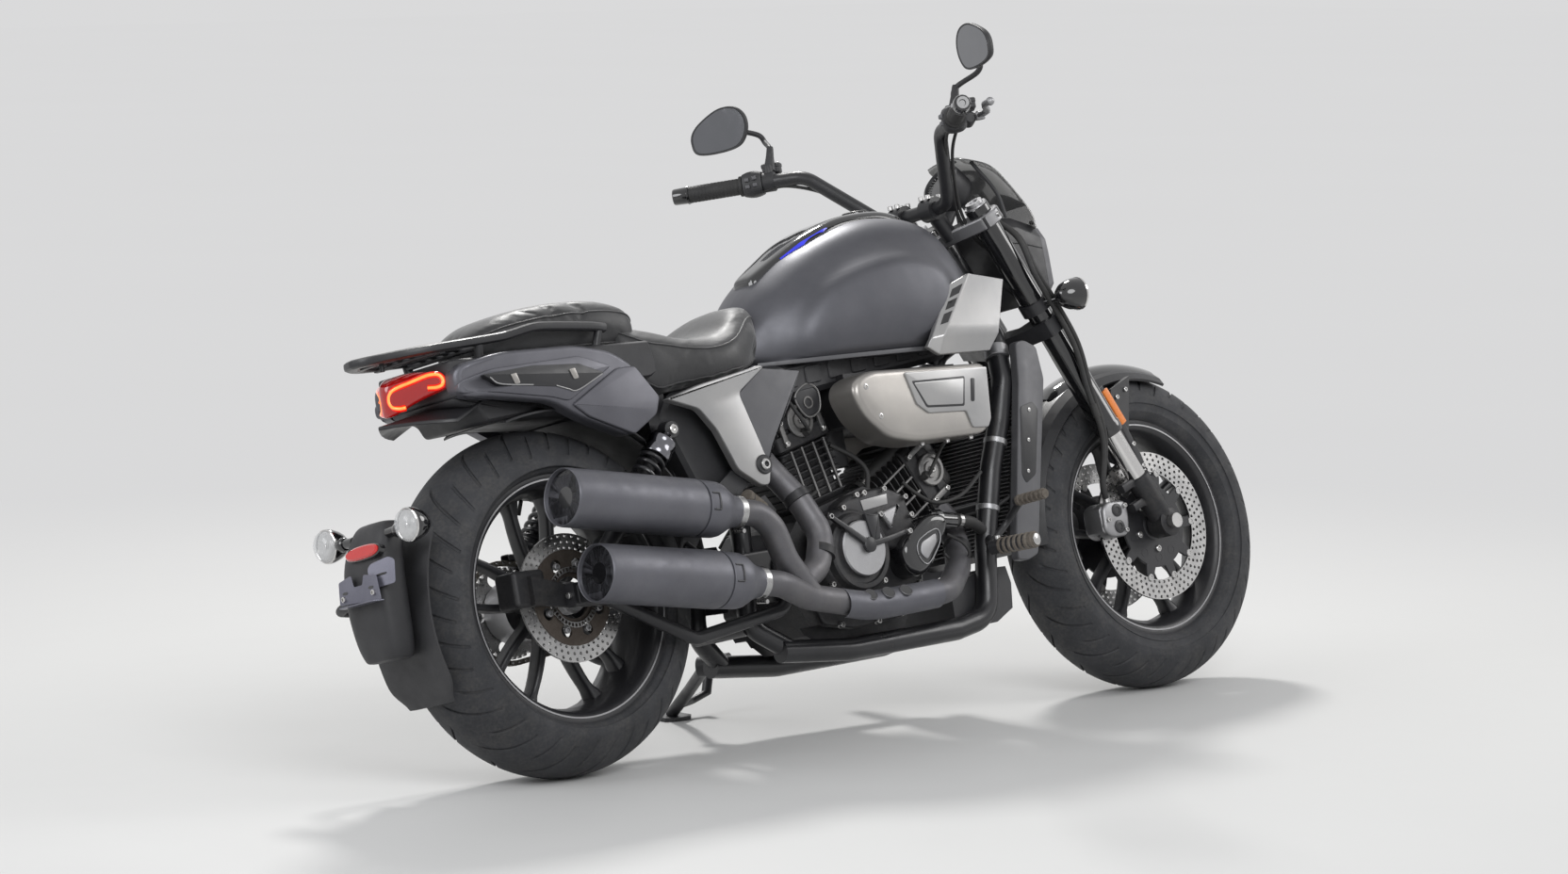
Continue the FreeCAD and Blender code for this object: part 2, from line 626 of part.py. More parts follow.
# The frame
def frame():
    head = rod(on_steer(LOWER_CLAMP + CLAMP_T / 2 + 6), on_steer(UPPER_CLAMP - UPPER_CLAMP_T / 2 - 6), HEAD_R)
    spine = tube([on_steer(LOWER_CLAMP + 130), on_bike(1000, 0, 838), on_bike(640, 0, 718)], SPINE_R, 160)
    pieces = [head, spine]
    for side in (1, -1):
        y = side * CRADLE_HALF
        pieces.append(tube([on_steer(LOWER_CLAMP + 70), on_bike(1196, side * 88, 735), on_bike(1176, y, 650),
                            on_bike(1144, y, 566), on_bike(1099, y, 474), on_bike(1049, y, 326),
                            on_bike(1020, y, 185), on_bike(930, y, 168), on_bike(640, y, 158),
                            on_bike(470, side * 104, 172)], TUBE_R, [40, 60, 200, 200, 200, 60, 60, 200]))
        pieces.append(tube([on_bike(500, side * 105, 170), on_bike(424, side * 76, 230), on_bike(440, side * 76, 330),
                            on_bike(452, side * 76, 470), on_bike(462, side * 76, 560),
                            on_bike(470, side * 84, 700)], UPRIGHT_R, [50, 80, 80, 60]))
        pieces.append(tube([on_bike(820, side * 24, 768), on_bike(600, side * 84, 706), on_bike(330, side * 92, 704),
                            on_bike(40, side * 84, 752), on_bike(-150, side * 70, 770)], RAIL_R, 140))
        pieces.append(plate_xz([(436, 270), (436, 400), (508, 400), (530, 330), (508, 270)], side * 70, side * 82))
        pieces.append(plate_xz([(232, 704), (288, 704), (276, 594), (242, 594)], side * 100, side * 110))
        pieces += [rod(on_bike(1144, y, z), on_bike(x, y, z), 8) for x, z in ((1186, 560), (1140, 430))]
    for x, z, half in ((452, 470, 76), (424, 226, 76), (330, 704, 92), (-90, 764, 76), (1072, 400, 110)):
        pieces.append(across(on_bike(x, 0, z), -half, half, 14))
    pieces.append(rod(on_bike(1072, 0, 400), on_engine(850, 0, 330), 14))
    pieces.append(across(PIVOT, -ARM_IN - ARM_T - 6, ARM_IN + ARM_T + 6, BOLT_R))
    axis = stand_axis()
    pieces.append(rod(STAND_PIVOT - axis * 50, STAND_PIVOT - axis * 16, 22))
    pieces.append(rod(STAND_PIVOT - axis * 34, STAND_PIVOT + axis * 13.5, STAND_BOLT_R))
    stem_way = rod(on_steer(LOWER_CLAMP), on_steer(UPPER_CLAMP), STEM_R + RUN_CLEAR)
    NODES["frame"] = largest(fuse(pieces).cut(stem_way))


def swingarm():
    pieces = [block(350, 395, -ARM_IN - 6, ARM_IN + 6, 302, 356)]
    middle = ARM_IN + ARM_T / 2
    for side in (1, -1):
        arm = plate_xz([(500, 352), (500, 306), (440, 296), (60, 300), (-46, 304), (-46, 348), (60, 352), (440, 366)],
                       side * ARM_IN, side * (ARM_IN + ARM_T))
        pieces.append(rounded(arm, 6, [e for e in arm.Edges if e.Length > 300]))
        pieces.append(tube([on_bike(492, side * middle, 300), on_bike(470, side * middle, 250),
                            on_bike(236, side * middle, 216), on_bike(40, side * middle, 312)], 13, 40))
        for y0, y1 in ((ARM_IN, ARM_IN + 6), (ARM_IN + ARM_T - 6, ARM_IN + ARM_T)):
            pieces.append(plate_xz([(24, 340), (34, 398), (46, 409), (60, 408), (72, 394), (86, 340)],
                                   side * y0, side * y1))
    reach = ARM_IN + ARM_T
    pin = on_bike(SHOCK_LOW[0], 0, SHOCK_LOW[1])
    body = fuse(pieces)
    for centre, r in ((REAR_AXLE, REAR_AXLE_R), (PIVOT, BOLT_R), (pin, SHOCK_PIN_R)):
        body = body.cut(across(centre, -reach - 1, reach + 1, r))
    NODES["swingarm"] = body
    nuts = [turned([(side * reach, 0), (side * reach, 20), (side * (reach + 16), 20), (side * (reach + 16), 0)],
                   REAR_AXLE) for side in (1, -1)]
    NODES["rear_axle"] = fuse([across(REAR_AXLE, -reach - 10, reach + 10, REAR_AXLE_R)] + nuts)
    rear_brake()


def rear_brake():
    """The rear caliper behind the axle, carried by a bracket against the swingarm."""
    grip = caliper(REAR_AXLE, REAR_DISC_Y, -0.926 * REAR_DISC_R, 0.2 * REAR_DISC_R, 30, 0.314 * REAR_DISC_R,
                   0.281 * REAR_DISC_R, REAR_DISC_R)
    bracket = plate_xz([(-118, 318), (-30, 306), (-30, 346), (-118, 372)], -ARM_IN, -ARM_IN + 13, on_rear)
    NODES["rear_caliper"] = fuse([grip, bracket])


def shocks():
    """The two rear shock absorbers: body, spring and eyes, leaning forward from the swingarm to the frame."""
    middle = ARM_IN + ARM_T / 2
    low, top = on_bike(SHOCK_LOW[0], middle, SHOCK_LOW[1]), on_bike(SHOCK_TOP[0], middle, SHOCK_TOP[1])
    along = (top - low).normalize()
    length = (top - low).Length
    first, last = 84.0, length - 62
    pitch = (last - first) / COILS
    points = [(3, 0), (3, 7), (26, 7), (32, 14), (68, 14), (68, SPRING_R), (first - 4, SPRING_R)]
    for i in range(COILS):
        start = first + pitch * i
        for share, inset in ((0, 8), (0.22, 1), (0.5, 0), (0.78, 1), (0.92, 8)):
            points.append((start + pitch * share, SPRING_R - inset))
    points += [(last + 4, SPRING_R), (length - 26, SPRING_R), (length - 20, 15), (length, 8), (length, 0)]
    body = turned(points, V(0, 0, 0), V(0, 0, 1), V(0.6, 0.8, 0))
    body.rotate(V(0, 0, 0), V(0, 1, 0), math.degrees(math.atan2(along.x, along.z)))
    body.translate(low)
    eye_low = across(low, middle - 8, middle + 8, 14)
    eye_top = across(top, middle - 12, middle + 12, 17)
    pin_low = across(low, ARM_IN, ARM_IN + ARM_T + 2, SHOCK_PIN_R)
    pin_top = across(top, 100, middle + 18, SHOCK_PIN_R)
    made = fuse([body, eye_low, eye_top, pin_low, pin_top])
    clearance = across(top, 90, 111, SHOCK_PIN_R)
    NODES["shocks"] = both(made)
    NODES["frame"] = NODES["frame"].cut(both(clearance))


# The engine
def cylinder_axes(deg):
    """The way up a cylinder, and the way across it in side view."""
    up = V(math.sin(rad(deg)), 0, math.cos(rad(deg)))
    side = V(math.cos(rad(deg)), 0, -math.sin(rad(deg)))
    return up, side


def on_cylinder(deg, s, aside, y=0.0):
    """A point s up a cylinder from the crankshaft, and beside its axis."""
    up, side = cylinder_axes(deg)
    return CRANK + up * s + side * aside + V(0, y, 0)


def slice_of(deg, s0, s1, half_side, half_y):
    """A block of a cylinder, from s0 to s1 along the cylinder's axis."""
    up, _ = cylinder_axes(deg)
    corners = ((-half_side, -half_y), (half_side, -half_y), (half_side, half_y), (-half_side, half_y))
    return polygon([on_cylinder(deg, s0, a, b) for a, b in corners]).extrude(up * (s1 - s0))


def engine():
    decks = []
    for deg in (REAR_CYL_DEG, FRONT_CYL_DEG):
        for aside in (-DECK_HALF, DECK_HALF):
            p = on_cylinder(deg, DECK, aside) - CRANK + DRAWN_CRANK
            decks.append((p.x, p.z))
    outline = [(560, 196), (520, 262), (520, 372), (560, 415)] + decks + [(860, 300), (850, 240), (816, 206)]
    lower = plate_xz(outline, -CASE_HALF, CASE_HALF, on_engine)
    for side in (1, -1):
        lower = lower.cut(block(380, 1000, side * 80, side * 140, 150, 212, on_engine))
    sump = plate_xz([(590, 176), (560, 200), (836, 210), (816, 178)], -80, 80, on_engine)
    chain_room = block(480, 602, 98, 130, 250, 420, on_engine)
    hub = front_sprocket_at()
    case = fuse([lower, sump]).cut(chain_room)
    case = fuse([case, across(hub, 96, CHAIN_Y + 6, 12),
                 across(hub, CHAIN_Y - 6, CHAIN_Y + 6, FRONT_SPROCKET_R - CHAIN_HALF_H - RUN_CLEAR)])
    NODES["crankcase"] = largest(case.cut(NODES["frame"]))
    engine_covers()
    cylinders = []
    for deg, top in ((REAR_CYL_DEG, REAR_CYL_TOP), (FRONT_CYL_DEG, FRONT_CYL_TOP)):
        pieces = [slice_of(deg, DECK, top - 96, 60, CYL_HALF_W - 12),
                  slice_of(deg, top - 100, top - 30, 74, CYL_HALF_W + 8), slice_of(deg, top - 30, top, 60, CYL_HALF_W - 4)]
        pitch = (top - 100 - DECK - 8) / FINS
        for i in range(FINS):
            s = DECK + 8 + pitch * i
            pieces.append(slice_of(deg, s, s + FIN_T, 70, CYL_HALF_W + 4))
        cylinders.append(fuse(pieces))
    NODES["cylinders"] = Part.makeCompound(cylinders)


def engine_covers():
    """Right: clutch cover with its round cap, and the pump covers. Left: generator and sprocket covers."""
    case = -CASE_HALF
    clutch = turned([(case, 0), (case, 92), (-146, 86), (-152, 78), (-164, 76), (-166, 54), (-172, 52), (-172, 0)],
                    on_engine(662, 0, 338))
    upper = plate_xz([(700, 350), (690, 440), (760, 470), (830, 440), (842, 360), (790, 330)], -146, case, on_engine)
    lower, higher = on_engine(796, 0, 306), on_engine(864, 0, 366)
    pump = fuse([across(lower, -172, case, 33), across(higher, -172, case, 27),
                 plate_xz([(774, 330), (845, 386), (882, 346), (818, 281)], -172, case, on_engine)])
    generator = turned([(-case, 0), (-case, 98), (146, 90), (158, 66), (160, 0)], on_engine(712, 0, 336))
    sprocket_cover = plate_xz([(508, 292), (506, 366), (530, 396), (588, 388), (608, 330), (590, 284), (530, 272)],
                              122, 148, on_engine)
    peg = across(on_engine(604, 0, 330), 100, 124, 10)
    NODES["engine_covers"] = fuse([clutch, rounded(upper, 6), pump])
    left = fuse([generator, rounded(sprocket_cover, 5), peg]).cut(NODES["crankcase"])
    NODES["engine_covers"] = Part.makeCompound([NODES["engine_covers"], largest(left)])


def exhaust():
    """Two header pipes that meet under the engine's right side and part again to the two mufflers."""
    def tail_end(neck, end):
        along = (end - neck).normalize()
        return [neck - along * 60, neck + along * 22]

    upper_neck, upper_end = on_bike(*UPPER_NECK), on_bike(*UPPER_END)
    lower_neck, lower_end = on_bike(*LOWER_NECK), on_bike(*LOWER_END)
    front_port = [on_cylinder(FRONT_CYL_DEG, FRONT_CYL_TOP - 62, a, y) for a, y in ((74, -44), (112, -56))]
    front = tube(front_port + [on_bike(975, -105, 335), on_bike(925, -152, 285), on_bike(860, -182, 241),
                               on_bike(640, -190, 232), on_bike(470, -208, 262)] + tail_end(lower_neck, lower_end),
                 PIPE_R, [34, 50, 60, 80, 160, 160, 100])
    rear_port = [on_cylinder(REAR_CYL_DEG, REAR_CYL_TOP - 50, a, -44) for a in (-74, -112)]
    rear = tube(rear_port + [on_bike(502, -116, 530), on_bike(542, -150, 452), on_bike(562, -174, 380),
                             on_bike(528, -186, 318), on_bike(452, -200, 284)], PIPE_R, [32, 60, 60, 60, 60])
    rise = tube([on_bike(480, -204, 268), on_bike(424, -216, 336), on_bike(400, -221, 400)]
                + tail_end(upper_neck, upper_end), PIPE_R, [60, 60, 60])
    pipes = fuse([front, rear, rise]).cut(NODES["cylinders"])
    NODES["exhaust_pipes"] = largest(pipes)
    mufflers = []
    r = MUFFLER_R
    for neck, end in ((upper_neck, upper_end), (lower_neck, lower_end)):
        along = (end - neck).normalize()
        out = V(-along.z, 0, along.x)
        length = (end - neck).Length
        outline = [(0, PIPE_R), (0, PIPE_R + 5), (14, PIPE_R + 6), (40, r - 8), (48, r - 2), (96, r - 1), (98, r - 4),
                   (102, r - 4), (104, r), (length - 6, r), (length, r - 3), (length - 4, r - 8), (length - 14, r - 10),
                   (length - 18, 26), (length - 18, 0), (36, 0), (36, PIPE_R)]
        mouths = []
        for side in (1, -1):
            start = neck + along * (length - 60) + out * (side * 20)
            mouths.append(rod(start, start + along * 70, 16))
        mufflers.append(turned(outline, neck, along, out).cut(Part.makeCompound(mouths)))
    NODES["mufflers"] = Part.makeCompound(mufflers)
    plate = plate_xz([(236, 380), (262, 376), (300, 424), (440, 500), (474, 520), (470, 548), (436, 552),
                      (282, 456), (250, 440)], -146, -138)
    stays = [rod(on_bike(250, -142, 392), on_bike(240, -208, 350), 8),
             rod(on_bike(272, -142, 440), on_bike(272, -174, 442), 8),
             rod(on_bike(452, -80, 530), on_bike(452, -142, 530), 13)]
    hanger = fuse([plate] + stays).cut(NODES["mufflers"]).cut(NODES["frame"])
    NODES["muffler_hanger"] = largest(hanger)


def radiator():
    core = plate_xz([(1217, 674), (1249, 664), (1124, 300), (1092, 310)], -134, 134)
    NODES["radiator_core"] = largest(core.cut(NODES["frame"]))
    shroud = plate_xz([(1190, 716), (1246, 706), (1252, 640), (1150, 292), (1092, 286), (1100, 340), (1180, 640)],
                      -150, -134)
    NODES["radiator_shrouds"] = both(rounded(shroud, 5))
    pan = plate_xz([(948, 168), (948, 250), (1040, 280), (1108, 280), (1116, 246), (1108, 196), (1060, 172)], -94, 94)
    NODES["belly_pan"] = largest(pan.cut(NODES["frame"]))


# Tank, covers, seats and tail
def tank_section(x, z_low, z_high, half_low, half_mid, half_top):
    """A closed cross-section of the tank: flat below, widest below mid height, rounded over the top."""
    h = z_high - z_low
    right = [(half_low, z_low), (half_mid, z_low + h * 0.45), (half_mid * 0.93, z_low + h * 0.65),
             (half_top, z_low + h * 0.9), (half_top * 0.5, z_low + h * 0.985), (0, z_high)]
    loop = [on_bike(x, y, z) for y, z in right] + [on_bike(x, -y, z) for y, z in reversed(right[:-1])]
    curve = Part.BSplineCurve()
    curve.interpolate(loop)
    return Part.Wire([curve.toShape(), Part.LineSegment(loop[-1], loop[0]).toShape()])


TANK_SECTIONS = [
    (560, 724, 826, 62, 74, 40), (640, 722, 902, 106, 122, 62), (760, 720, 966, 138, 160, 84),
    (880, 720, 1002, 152, 180, 96), (1000, 722, 1006, 150, 184, 96), (1066, 726, 984, 138, 172, 88),
    (1106, 734, 930, 118, 146, 70), (1138, 750, 868, 88, 112, 54),
]
CONSOLE_SECTIONS = [(640, 908, 30), (760, 972, 38), (880, 1008, 42), (1000, 1014, 40), (1044, 1006, 34)]


def tank():
    loft = Part.makeLoft([tank_section(*s) for s in TANK_SECTIONS], True, False)
    tunnel = plate_xz([(540, 700), (540, 742), (1000, 872), (1240, 940), (1240, 700)], -32, 32)
    NODES["fuel_tank"] = largest(loft.cut(tunnel).cut(NODES["frame"]))
    strip = []
    for x, z, w in CONSOLE_SECTIONS:
        right = [(w, z - 16), (w - 4, z - 4), (w * 0.5, z + 3), (0, z + 5)]
        loop = [on_bike(x, y, h) for y, h in right] + [on_bike(x, -y, h) for y, h in reversed(right[:-1])]
        strip.append(Part.makePolygon(loop + [loop[0]]))
    cap_at = on_bike(960, 0, 1019)
    cap_way = rod(cap_at - V(0, 0, 30), cap_at + V(0, 0, 12), 27)
    console = Part.makeLoft(strip, True, True).cut(loft).cut(cap_way)
    knuckle = CAP_BARREL + RUN_CLEAR
    knuckles = both(fuse([across(CAP_HINGE, -knuckle - 6, -knuckle, 3),
                          block(990.5, 995.5, -knuckle - 6, -knuckle, 1012, 1022)]))
    NODES["tank_console"] = largest(fuse([console, knuckles, across(CAP_HINGE, -knuckle, knuckle, CAP_PIN_R)]))
    cap = turned([(0.8, 0), (0.8, 27), (4, 27), (6, 25), (6, 0)], cap_at, V(0, 0, 1), V(1, 0, 0))
    tab = block(980, 993, -CAP_BARREL, CAP_BARREL, 1021, 1025)
    pin_way = across(CAP_HINGE, -knuckle, knuckle, CAP_PIN_R + RUN_CLEAR)
    NODES["fuel_cap"] = fuse([cap, tab, across(CAP_HINGE, -CAP_BARREL, CAP_BARREL, 3)]).cut(pin_way)


def covers():
    outer = plate_xz([(1010, 838), (1072, 858), (1160, 842), (1094, 706), (940, 700), (924, 722)], -200, -186)
    back = plate_xz([(1020, 832), (1074, 848), (1130, 836), (1090, 720), (960, 714), (950, 726)], -188, -150)
    NODES["tank_scoops"] = both(largest(fuse([outer, back]).cut(NODES["fuel_tank"])))
    air = plate_xz([(690, 656), (716, 676), (860, 686), (1060, 680), (1044, 540), (836, 538), (724, 578)],
                   -206, -120)
    air = air.makeChamfer(16, [e for e in air.Edges if e.CenterOfMass.y < -205])
    NODES["airbox_covers"] = both(air)
    duct = rod(on_bike(785, 0, 594), on_engine(785, 0, 520), 30)
    stay = rod(on_bike(860, 0, 680), on_bike(860, 0, 790), 12)
    NODES["airbox"] = largest(fuse([block(740, 1040, -120, 120, 590, 690), duct, stay])
                              .cut(NODES["cylinders"]).cut(NODES["frame"]))
    side_cover = plate_xz([(246, 664), (470, 716), (596, 700), (556, 640), (492, 560), (478, 494), (462, 482),
                           (440, 490), (372, 620), (332, 646)], -164, -148)
    boss = across(on_bike(456, 0, 526), -172, -150, 20)
    stays = [rod(on_bike(x, -84, z), on_bike(x, -149, z), 8) for x, z in ((470, 690), (340, 700))]
    NODES["side_covers"] = both(largest(fuse([rounded(side_cover, 5), boss] + stays).cut(NODES["frame"])))


def seat_section(x, z_low, z_high, half):
    """A closed cross-section of a seat, flat below and round over the top."""
    h = z_high - z_low
    right = [(half * 0.92, z_low), (half, z_low + h * 0.4), (half * 0.86, z_low + h * 0.85), (half * 0.4, z_high),
             (0, z_high)]
    loop = [on_bike(x, y, z) for y, z in right] + [on_bike(x, -y, z) for y, z in reversed(right[:-1])]
    curve = Part.BSplineCurve()
    curve.interpolate(loop)
    return Part.Wire([curve.toShape(), Part.LineSegment(loop[-1], loop[0]).toShape()])


RIDER_SEAT = [(266, 726, 838, 120), (340, 726, 824, 158), (420, 726, 792, 172), (500, 726, 780, 150),
              (552, 732, 796, 100), (574, 738, 834, 74)]
PASSENGER_SEAT = [(-110, 786, 838, 62), (-60, 786, 858, 92), (60, 786, 878, 108), (180, 786, 878, 112),
                  (240, 788, 866, 108), (262, 796, 846, 92)]


def seats():
    rider = Part.makeLoft([seat_section(*s) for s in RIDER_SEAT], True, False)
    NODES["rider_seat"] = largest(rider.cut(NODES["fuel_tank"]).cut(NODES["frame"]))
    NODES["passenger_seat"] = Part.makeLoft([seat_section(*s) for s in PASSENGER_SEAT], True, False)


def tail():
    """The tail: side panels with their recess, the top deck under the seat, and the mudguard over the tyre."""
    panel = plate_xz([(240, 652), (152, 606), (0, 650), (-170, 684), (-352, 682), (-338, 700), (-206, 712),
                      (-212, 772), (-120, 786), (90, 788), (180, 742)], -152, -138)
    recess = plate_xz([(-176, 746), (-120, 758), (96, 748), (116, 724), (36, 706), (-120, 716)], -160, -144)
    NODES["tail_panels"] = both(panel.cut(recess))
    deck = plate_xz([(-212, 716), (-212, 786), (250, 786), (262, 726), (240, 716)], -138, 138)
    arch_r = REAR_R + 30
    deck = deck.cut(across(REAR_AXLE, -200, 200, arch_r)).cut(NODES["frame"]).cut(NODES["rider_seat"])
    guard = turned([(-118, arch_r - 4), (118, arch_r - 4), (118, arch_r), (-118, arch_r)], REAR_AXLE,
                   V(0, 1, 0), V(math.sin(rad(34)), 0, math.cos(rad(34))), -64)
    web = block(-100, 150, -104, -98, 640, 718).cut(across(REAR_AXLE, -200, 200, arch_r - 2))
    NODES["tail_deck"] = largest(fuse([deck, guard, both(web)]))
    NODES["passenger_seat"] = largest(NODES["passenger_seat"].cut(NODES["tail_deck"]))
    lamp = plate_xz([(-340, 704), (-344, 764), (-300, 782), (-216, 776), (-212, 724)], -96, 96)
    NODES["tail_lamp"] = rounded(lamp, 9, [e for e in lamp.Edges if e.CenterOfMass.x < -220])
    side = [(150, 128, 818), (-20, 126, 830), (-90, 118, 820), (-330, 84, 806), (-350, 60, 806)]
    ring = tube([on_bike(*p) for p in side] + [on_bike(x, -y, z) for x, y, z in reversed(side)],
                10, [60, 60, 20, 20, 20, 20, 60, 60])
    slats = [block(-330, -120, y - 9, y + 9, RACK_TOP - 6, RACK_TOP) for y in (-52, -18, 18, 52)]
    bars = [block(-146, -126, -116, 116, 800, 814), block(-322, -302, -84, 84, 800, 812)]
    posts = []
    for way in (1, -1):
        posts.append(rod(on_bike(140, way * 128, 818), on_bike(128, way * 124, 780), 8))
        posts.append(rod(on_bike(-136, way * 108, 806), on_bike(-136, way * 104, 780), 9))
    NODES["luggage_rack"] = largest(fuse([ring] + slats + bars + posts).cut(NODES["tail_deck"]))


def rear_lights():
    """The plate carrier behind the rear tyre, its arm to the axle, and the rear indicators."""
    stalk = across(on_rear(-372, 0, 486), 52, 104, 10)
    bulb = turned([(-30, 0), (-30, 31), (-10, 32), (14, 26), (30, 14), (36, 0)], on_rear(-366, 125, 490), V(1, 0, 0))
    NODES["rear_indicators"] = both(fuse([stalk, bulb]))
    sweep = turned([(-92, REAR_R + 12), (92, REAR_R + 12), (92, REAR_R + 17), (-92, REAR_R + 17)], REAR_AXLE,
                   V(0, 1, 0), V(-math.cos(rad(24)), 0, math.sin(rad(24))), -52)
    spine = plate_xz([(-320, 470), (-366, 512), (-388, 470), (-440, 420), (-404, 262), (-345, 262)], -62, 62, on_rear)
    spine = spine.cut(across(REAR_AXLE, -200, 200, REAR_R + 15))
    end = ARM_IN + ARM_T + 24
    arm = tube([on_rear(-356, 50, 376), on_rear(-352, end - 12, 372), on_rear(-60, end, 344), V(0, end, REAR_R)],
               10, [30, 60])
    NODES["plate_carrier"] = largest(fuse([sweep, spine, arm]).cut(NODES["rear_axle"]).cut(NODES["rear_indicators"]))


def feet():
    """Forward foot pegs with their brackets and pedals, and the passenger's pegs."""
    made = []
    for side in (-1, 1):
        bracket = tube([on_bike(1056, side * 114, 340), on_bike(1030, side * 150, 320), on_bike(1000, side * 196, 314)],
                       11, 30)
        peg = rod(on_bike(990, side * 188, 313), on_bike(1010, side * 292, 311), 15)
        arm = tube([on_bike(1010, side * 160, 318), on_bike(1060, side * 170, 360), on_bike(1062, side * 214, 394)],
                   7, 26)
        pad = rod(on_bike(1050, side * 214, 396), on_bike(1052, side * 296, 398), 9)
        made.append(fuse([bracket, peg, arm, pad]))
        hanger = plate_xz([(444, 420), (440, 462), (470, 470), (492, 440), (484, 414)], side * 128, side * 138)
        lug = rod(on_bike(460, side * 84, 440), on_bike(464, side * 130, 440), 10)
        made.append(fuse([hanger, lug, rod(on_bike(470, side * 136, 436), on_bike(398, side * 168, 470), 12)]))
    NODES["foot_pegs"] = Part.makeCompound([largest(piece.cut(NODES["frame"])) for piece in made])


# Parking
def park_matrix():
    """Leans the machine to its left, pitches it a hair so that both tyres touch, and drops it to the floor."""
    lean = rad(LEAN_DEG)
    drops = []
    for axle, half_w, edge, outer in ((REAR_AXLE, REAR_HALF_W, REAR_EDGE_R, REAR_R),
                                      (FRONT_AXLE, FRONT_HALF_W, FRONT_EDGE_R, FRONT_R)):
        _, centre, radius = crown(half_w, edge, outer)
        drops.append(axle.z * math.cos(lean) - centre * math.cos(lean) - radius)
    pitch = math.atan2(drops[1] - drops[0], WHEELBASE)
    matrix = FreeCAD.Matrix()
    matrix.rotateX(-lean)
    matrix.rotateY(pitch)
    moved = FreeCAD.Matrix()
    moved.move(V(0, 0, -drops[0]))
    return moved.multiply(matrix)


def parked(shape):
    """A shape leaned over on the stand, with both tyres on the floor."""
    return shape.copy().transformed(park_matrix(), True)


def on_floor(x, y, z=0.0):
    """A point of the upright machine that stands at this place over the floor once it is parked."""
    return park_matrix().inverse().multVec(V(x * HEAD_TOP.x / DRAWN_HEAD.x, y, z))


def side_stand():
    """The side stand: leg, foot plate, kick tang and pivot eye. Its foot is flat on the floor when parked."""
    foot = on_floor(STAND_FOOT_X, STAND_FOOT_Y, STAND_FOOT_T)
    sole = on_floor(STAND_FOOT_X, STAND_FOOT_Y)
    down = (sole - foot).normalize()
    knee = STAND_PIVOT + (foot - STAND_PIVOT) * 0.55 + V(14, 10, 4)
    leg = tube([STAND_PIVOT, knee, foot - down * 3], STAND_LEG_R, 90)
    ahead = (on_floor(STAND_FOOT_X + 1, STAND_FOOT_Y) - sole).normalize()
    beside = down.cross(ahead).normalize()
    corners = [(-34, -20), (-20, -32), (22, -32), (36, -18), (36, 18), (22, 32), (-20, 32), (-34, 20)]
    pad = polygon([foot + ahead * a + beside * b for a, b in corners]).extrude(down * STAND_FOOT_T)
    axis = stand_axis()
    eye = rod(STAND_PIVOT - axis * 14, STAND_PIVOT + axis * 14, 20)
    hole = rod(STAND_PIVOT - axis * 30, STAND_PIVOT + axis * 30, STAND_BOLT_R + RUN_CLEAR)
    root = STAND_PIVOT + (foot - STAND_PIVOT) * 0.8
    tang = tube([root, root + V(60, 30, 6), root + V(112, 34, 20)], 7, 30)
    stub = rod(root + V(106, 33, 18), root + V(124, 35, 62), 10)
    NODES["side_stand"] = fuse([leg, pad, eye, tang, stub]).cut(hole)


def stand_axis():
    """The stand's hinge axis: near to crosswise, tilted so that the leg folds back along the frame."""
    out = (on_floor(STAND_FOOT_X, STAND_FOOT_Y) - STAND_PIVOT).normalize()
    n = (out - V(*STAND_FOLDED).normalize()).normalize()
    a = V(0, 1, 0) - n * n.dot(V(0, 1, 0))
    return a.normalize()


def stand_travel():
    """The angle from parked to folded, in degrees, positive about the stand's axis."""
    a = stand_axis()
    out = (on_floor(STAND_FOOT_X, STAND_FOOT_Y) - STAND_PIVOT).normalize()
    folded = V(*STAND_FOLDED).normalize()
    u = out - a * out.dot(a)
    w = folded - a * folded.dot(a)
    return math.degrees(math.atan2(a.dot(u.cross(w)), u.dot(w)))


def build():
    """Every piece of the upright machine, in the order in which one is fitted to another."""
    rear_wheel()
    chain()
    front_wheel()
    fork()
    steering()
    handlebar()
    mirrors()
    headlight()
    front_fender()
    front_brakes()
    frame()
    swingarm()
    shocks()
    engine()
    exhaust()
    radiator()
    tank()
    covers()
    seats()
    tail()
    rear_lights()
    feet()
    side_stand()


def main():
    """Builds every piece, parks the machine, writes one file a piece, and gives the shift to the footprint's centre."""
    os.makedirs("parts", exist_ok=True)
    build()
    placed = {name: parked(shape) for name, shape in NODES.items()}
    bounds = FreeCAD.BoundBox()
    for shape in placed.values():
        bounds.add(shape.optimalBoundingBox(True))
    shift = V(-(bounds.XMin + bounds.XMax) / 2, -(bounds.YMin + bounds.YMax) / 2, -bounds.ZMin)
    for name, shape in placed.items():
        shape.translate(shift)
        shape.exportStep("parts/" + name + ".step")
    print("shift", shift, "size", bounds.XLength, bounds.YLength, bounds.ZLength, "low", bounds.ZMin)
    return shift


SHIFT = main()
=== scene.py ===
"""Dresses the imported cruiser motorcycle: finishes, bodywork, tyres, engine detail, studio and camera.

Every shape is worked out in the bike's own upright frame, in metres: x forward from the rear axle, y to the
rider's left, z up from the ground. Bike turns that frame into the parked one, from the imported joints.
"""

from __future__ import annotations

import json
import logging
import math
from dataclasses import dataclass, field
from enum import Enum
from typing import Any, Callable, Iterable, Sequence

import bmesh
import bpy
import numpy as np
from mathutils import Matrix, Vector
from mathutils.bvhtree import BVHTree

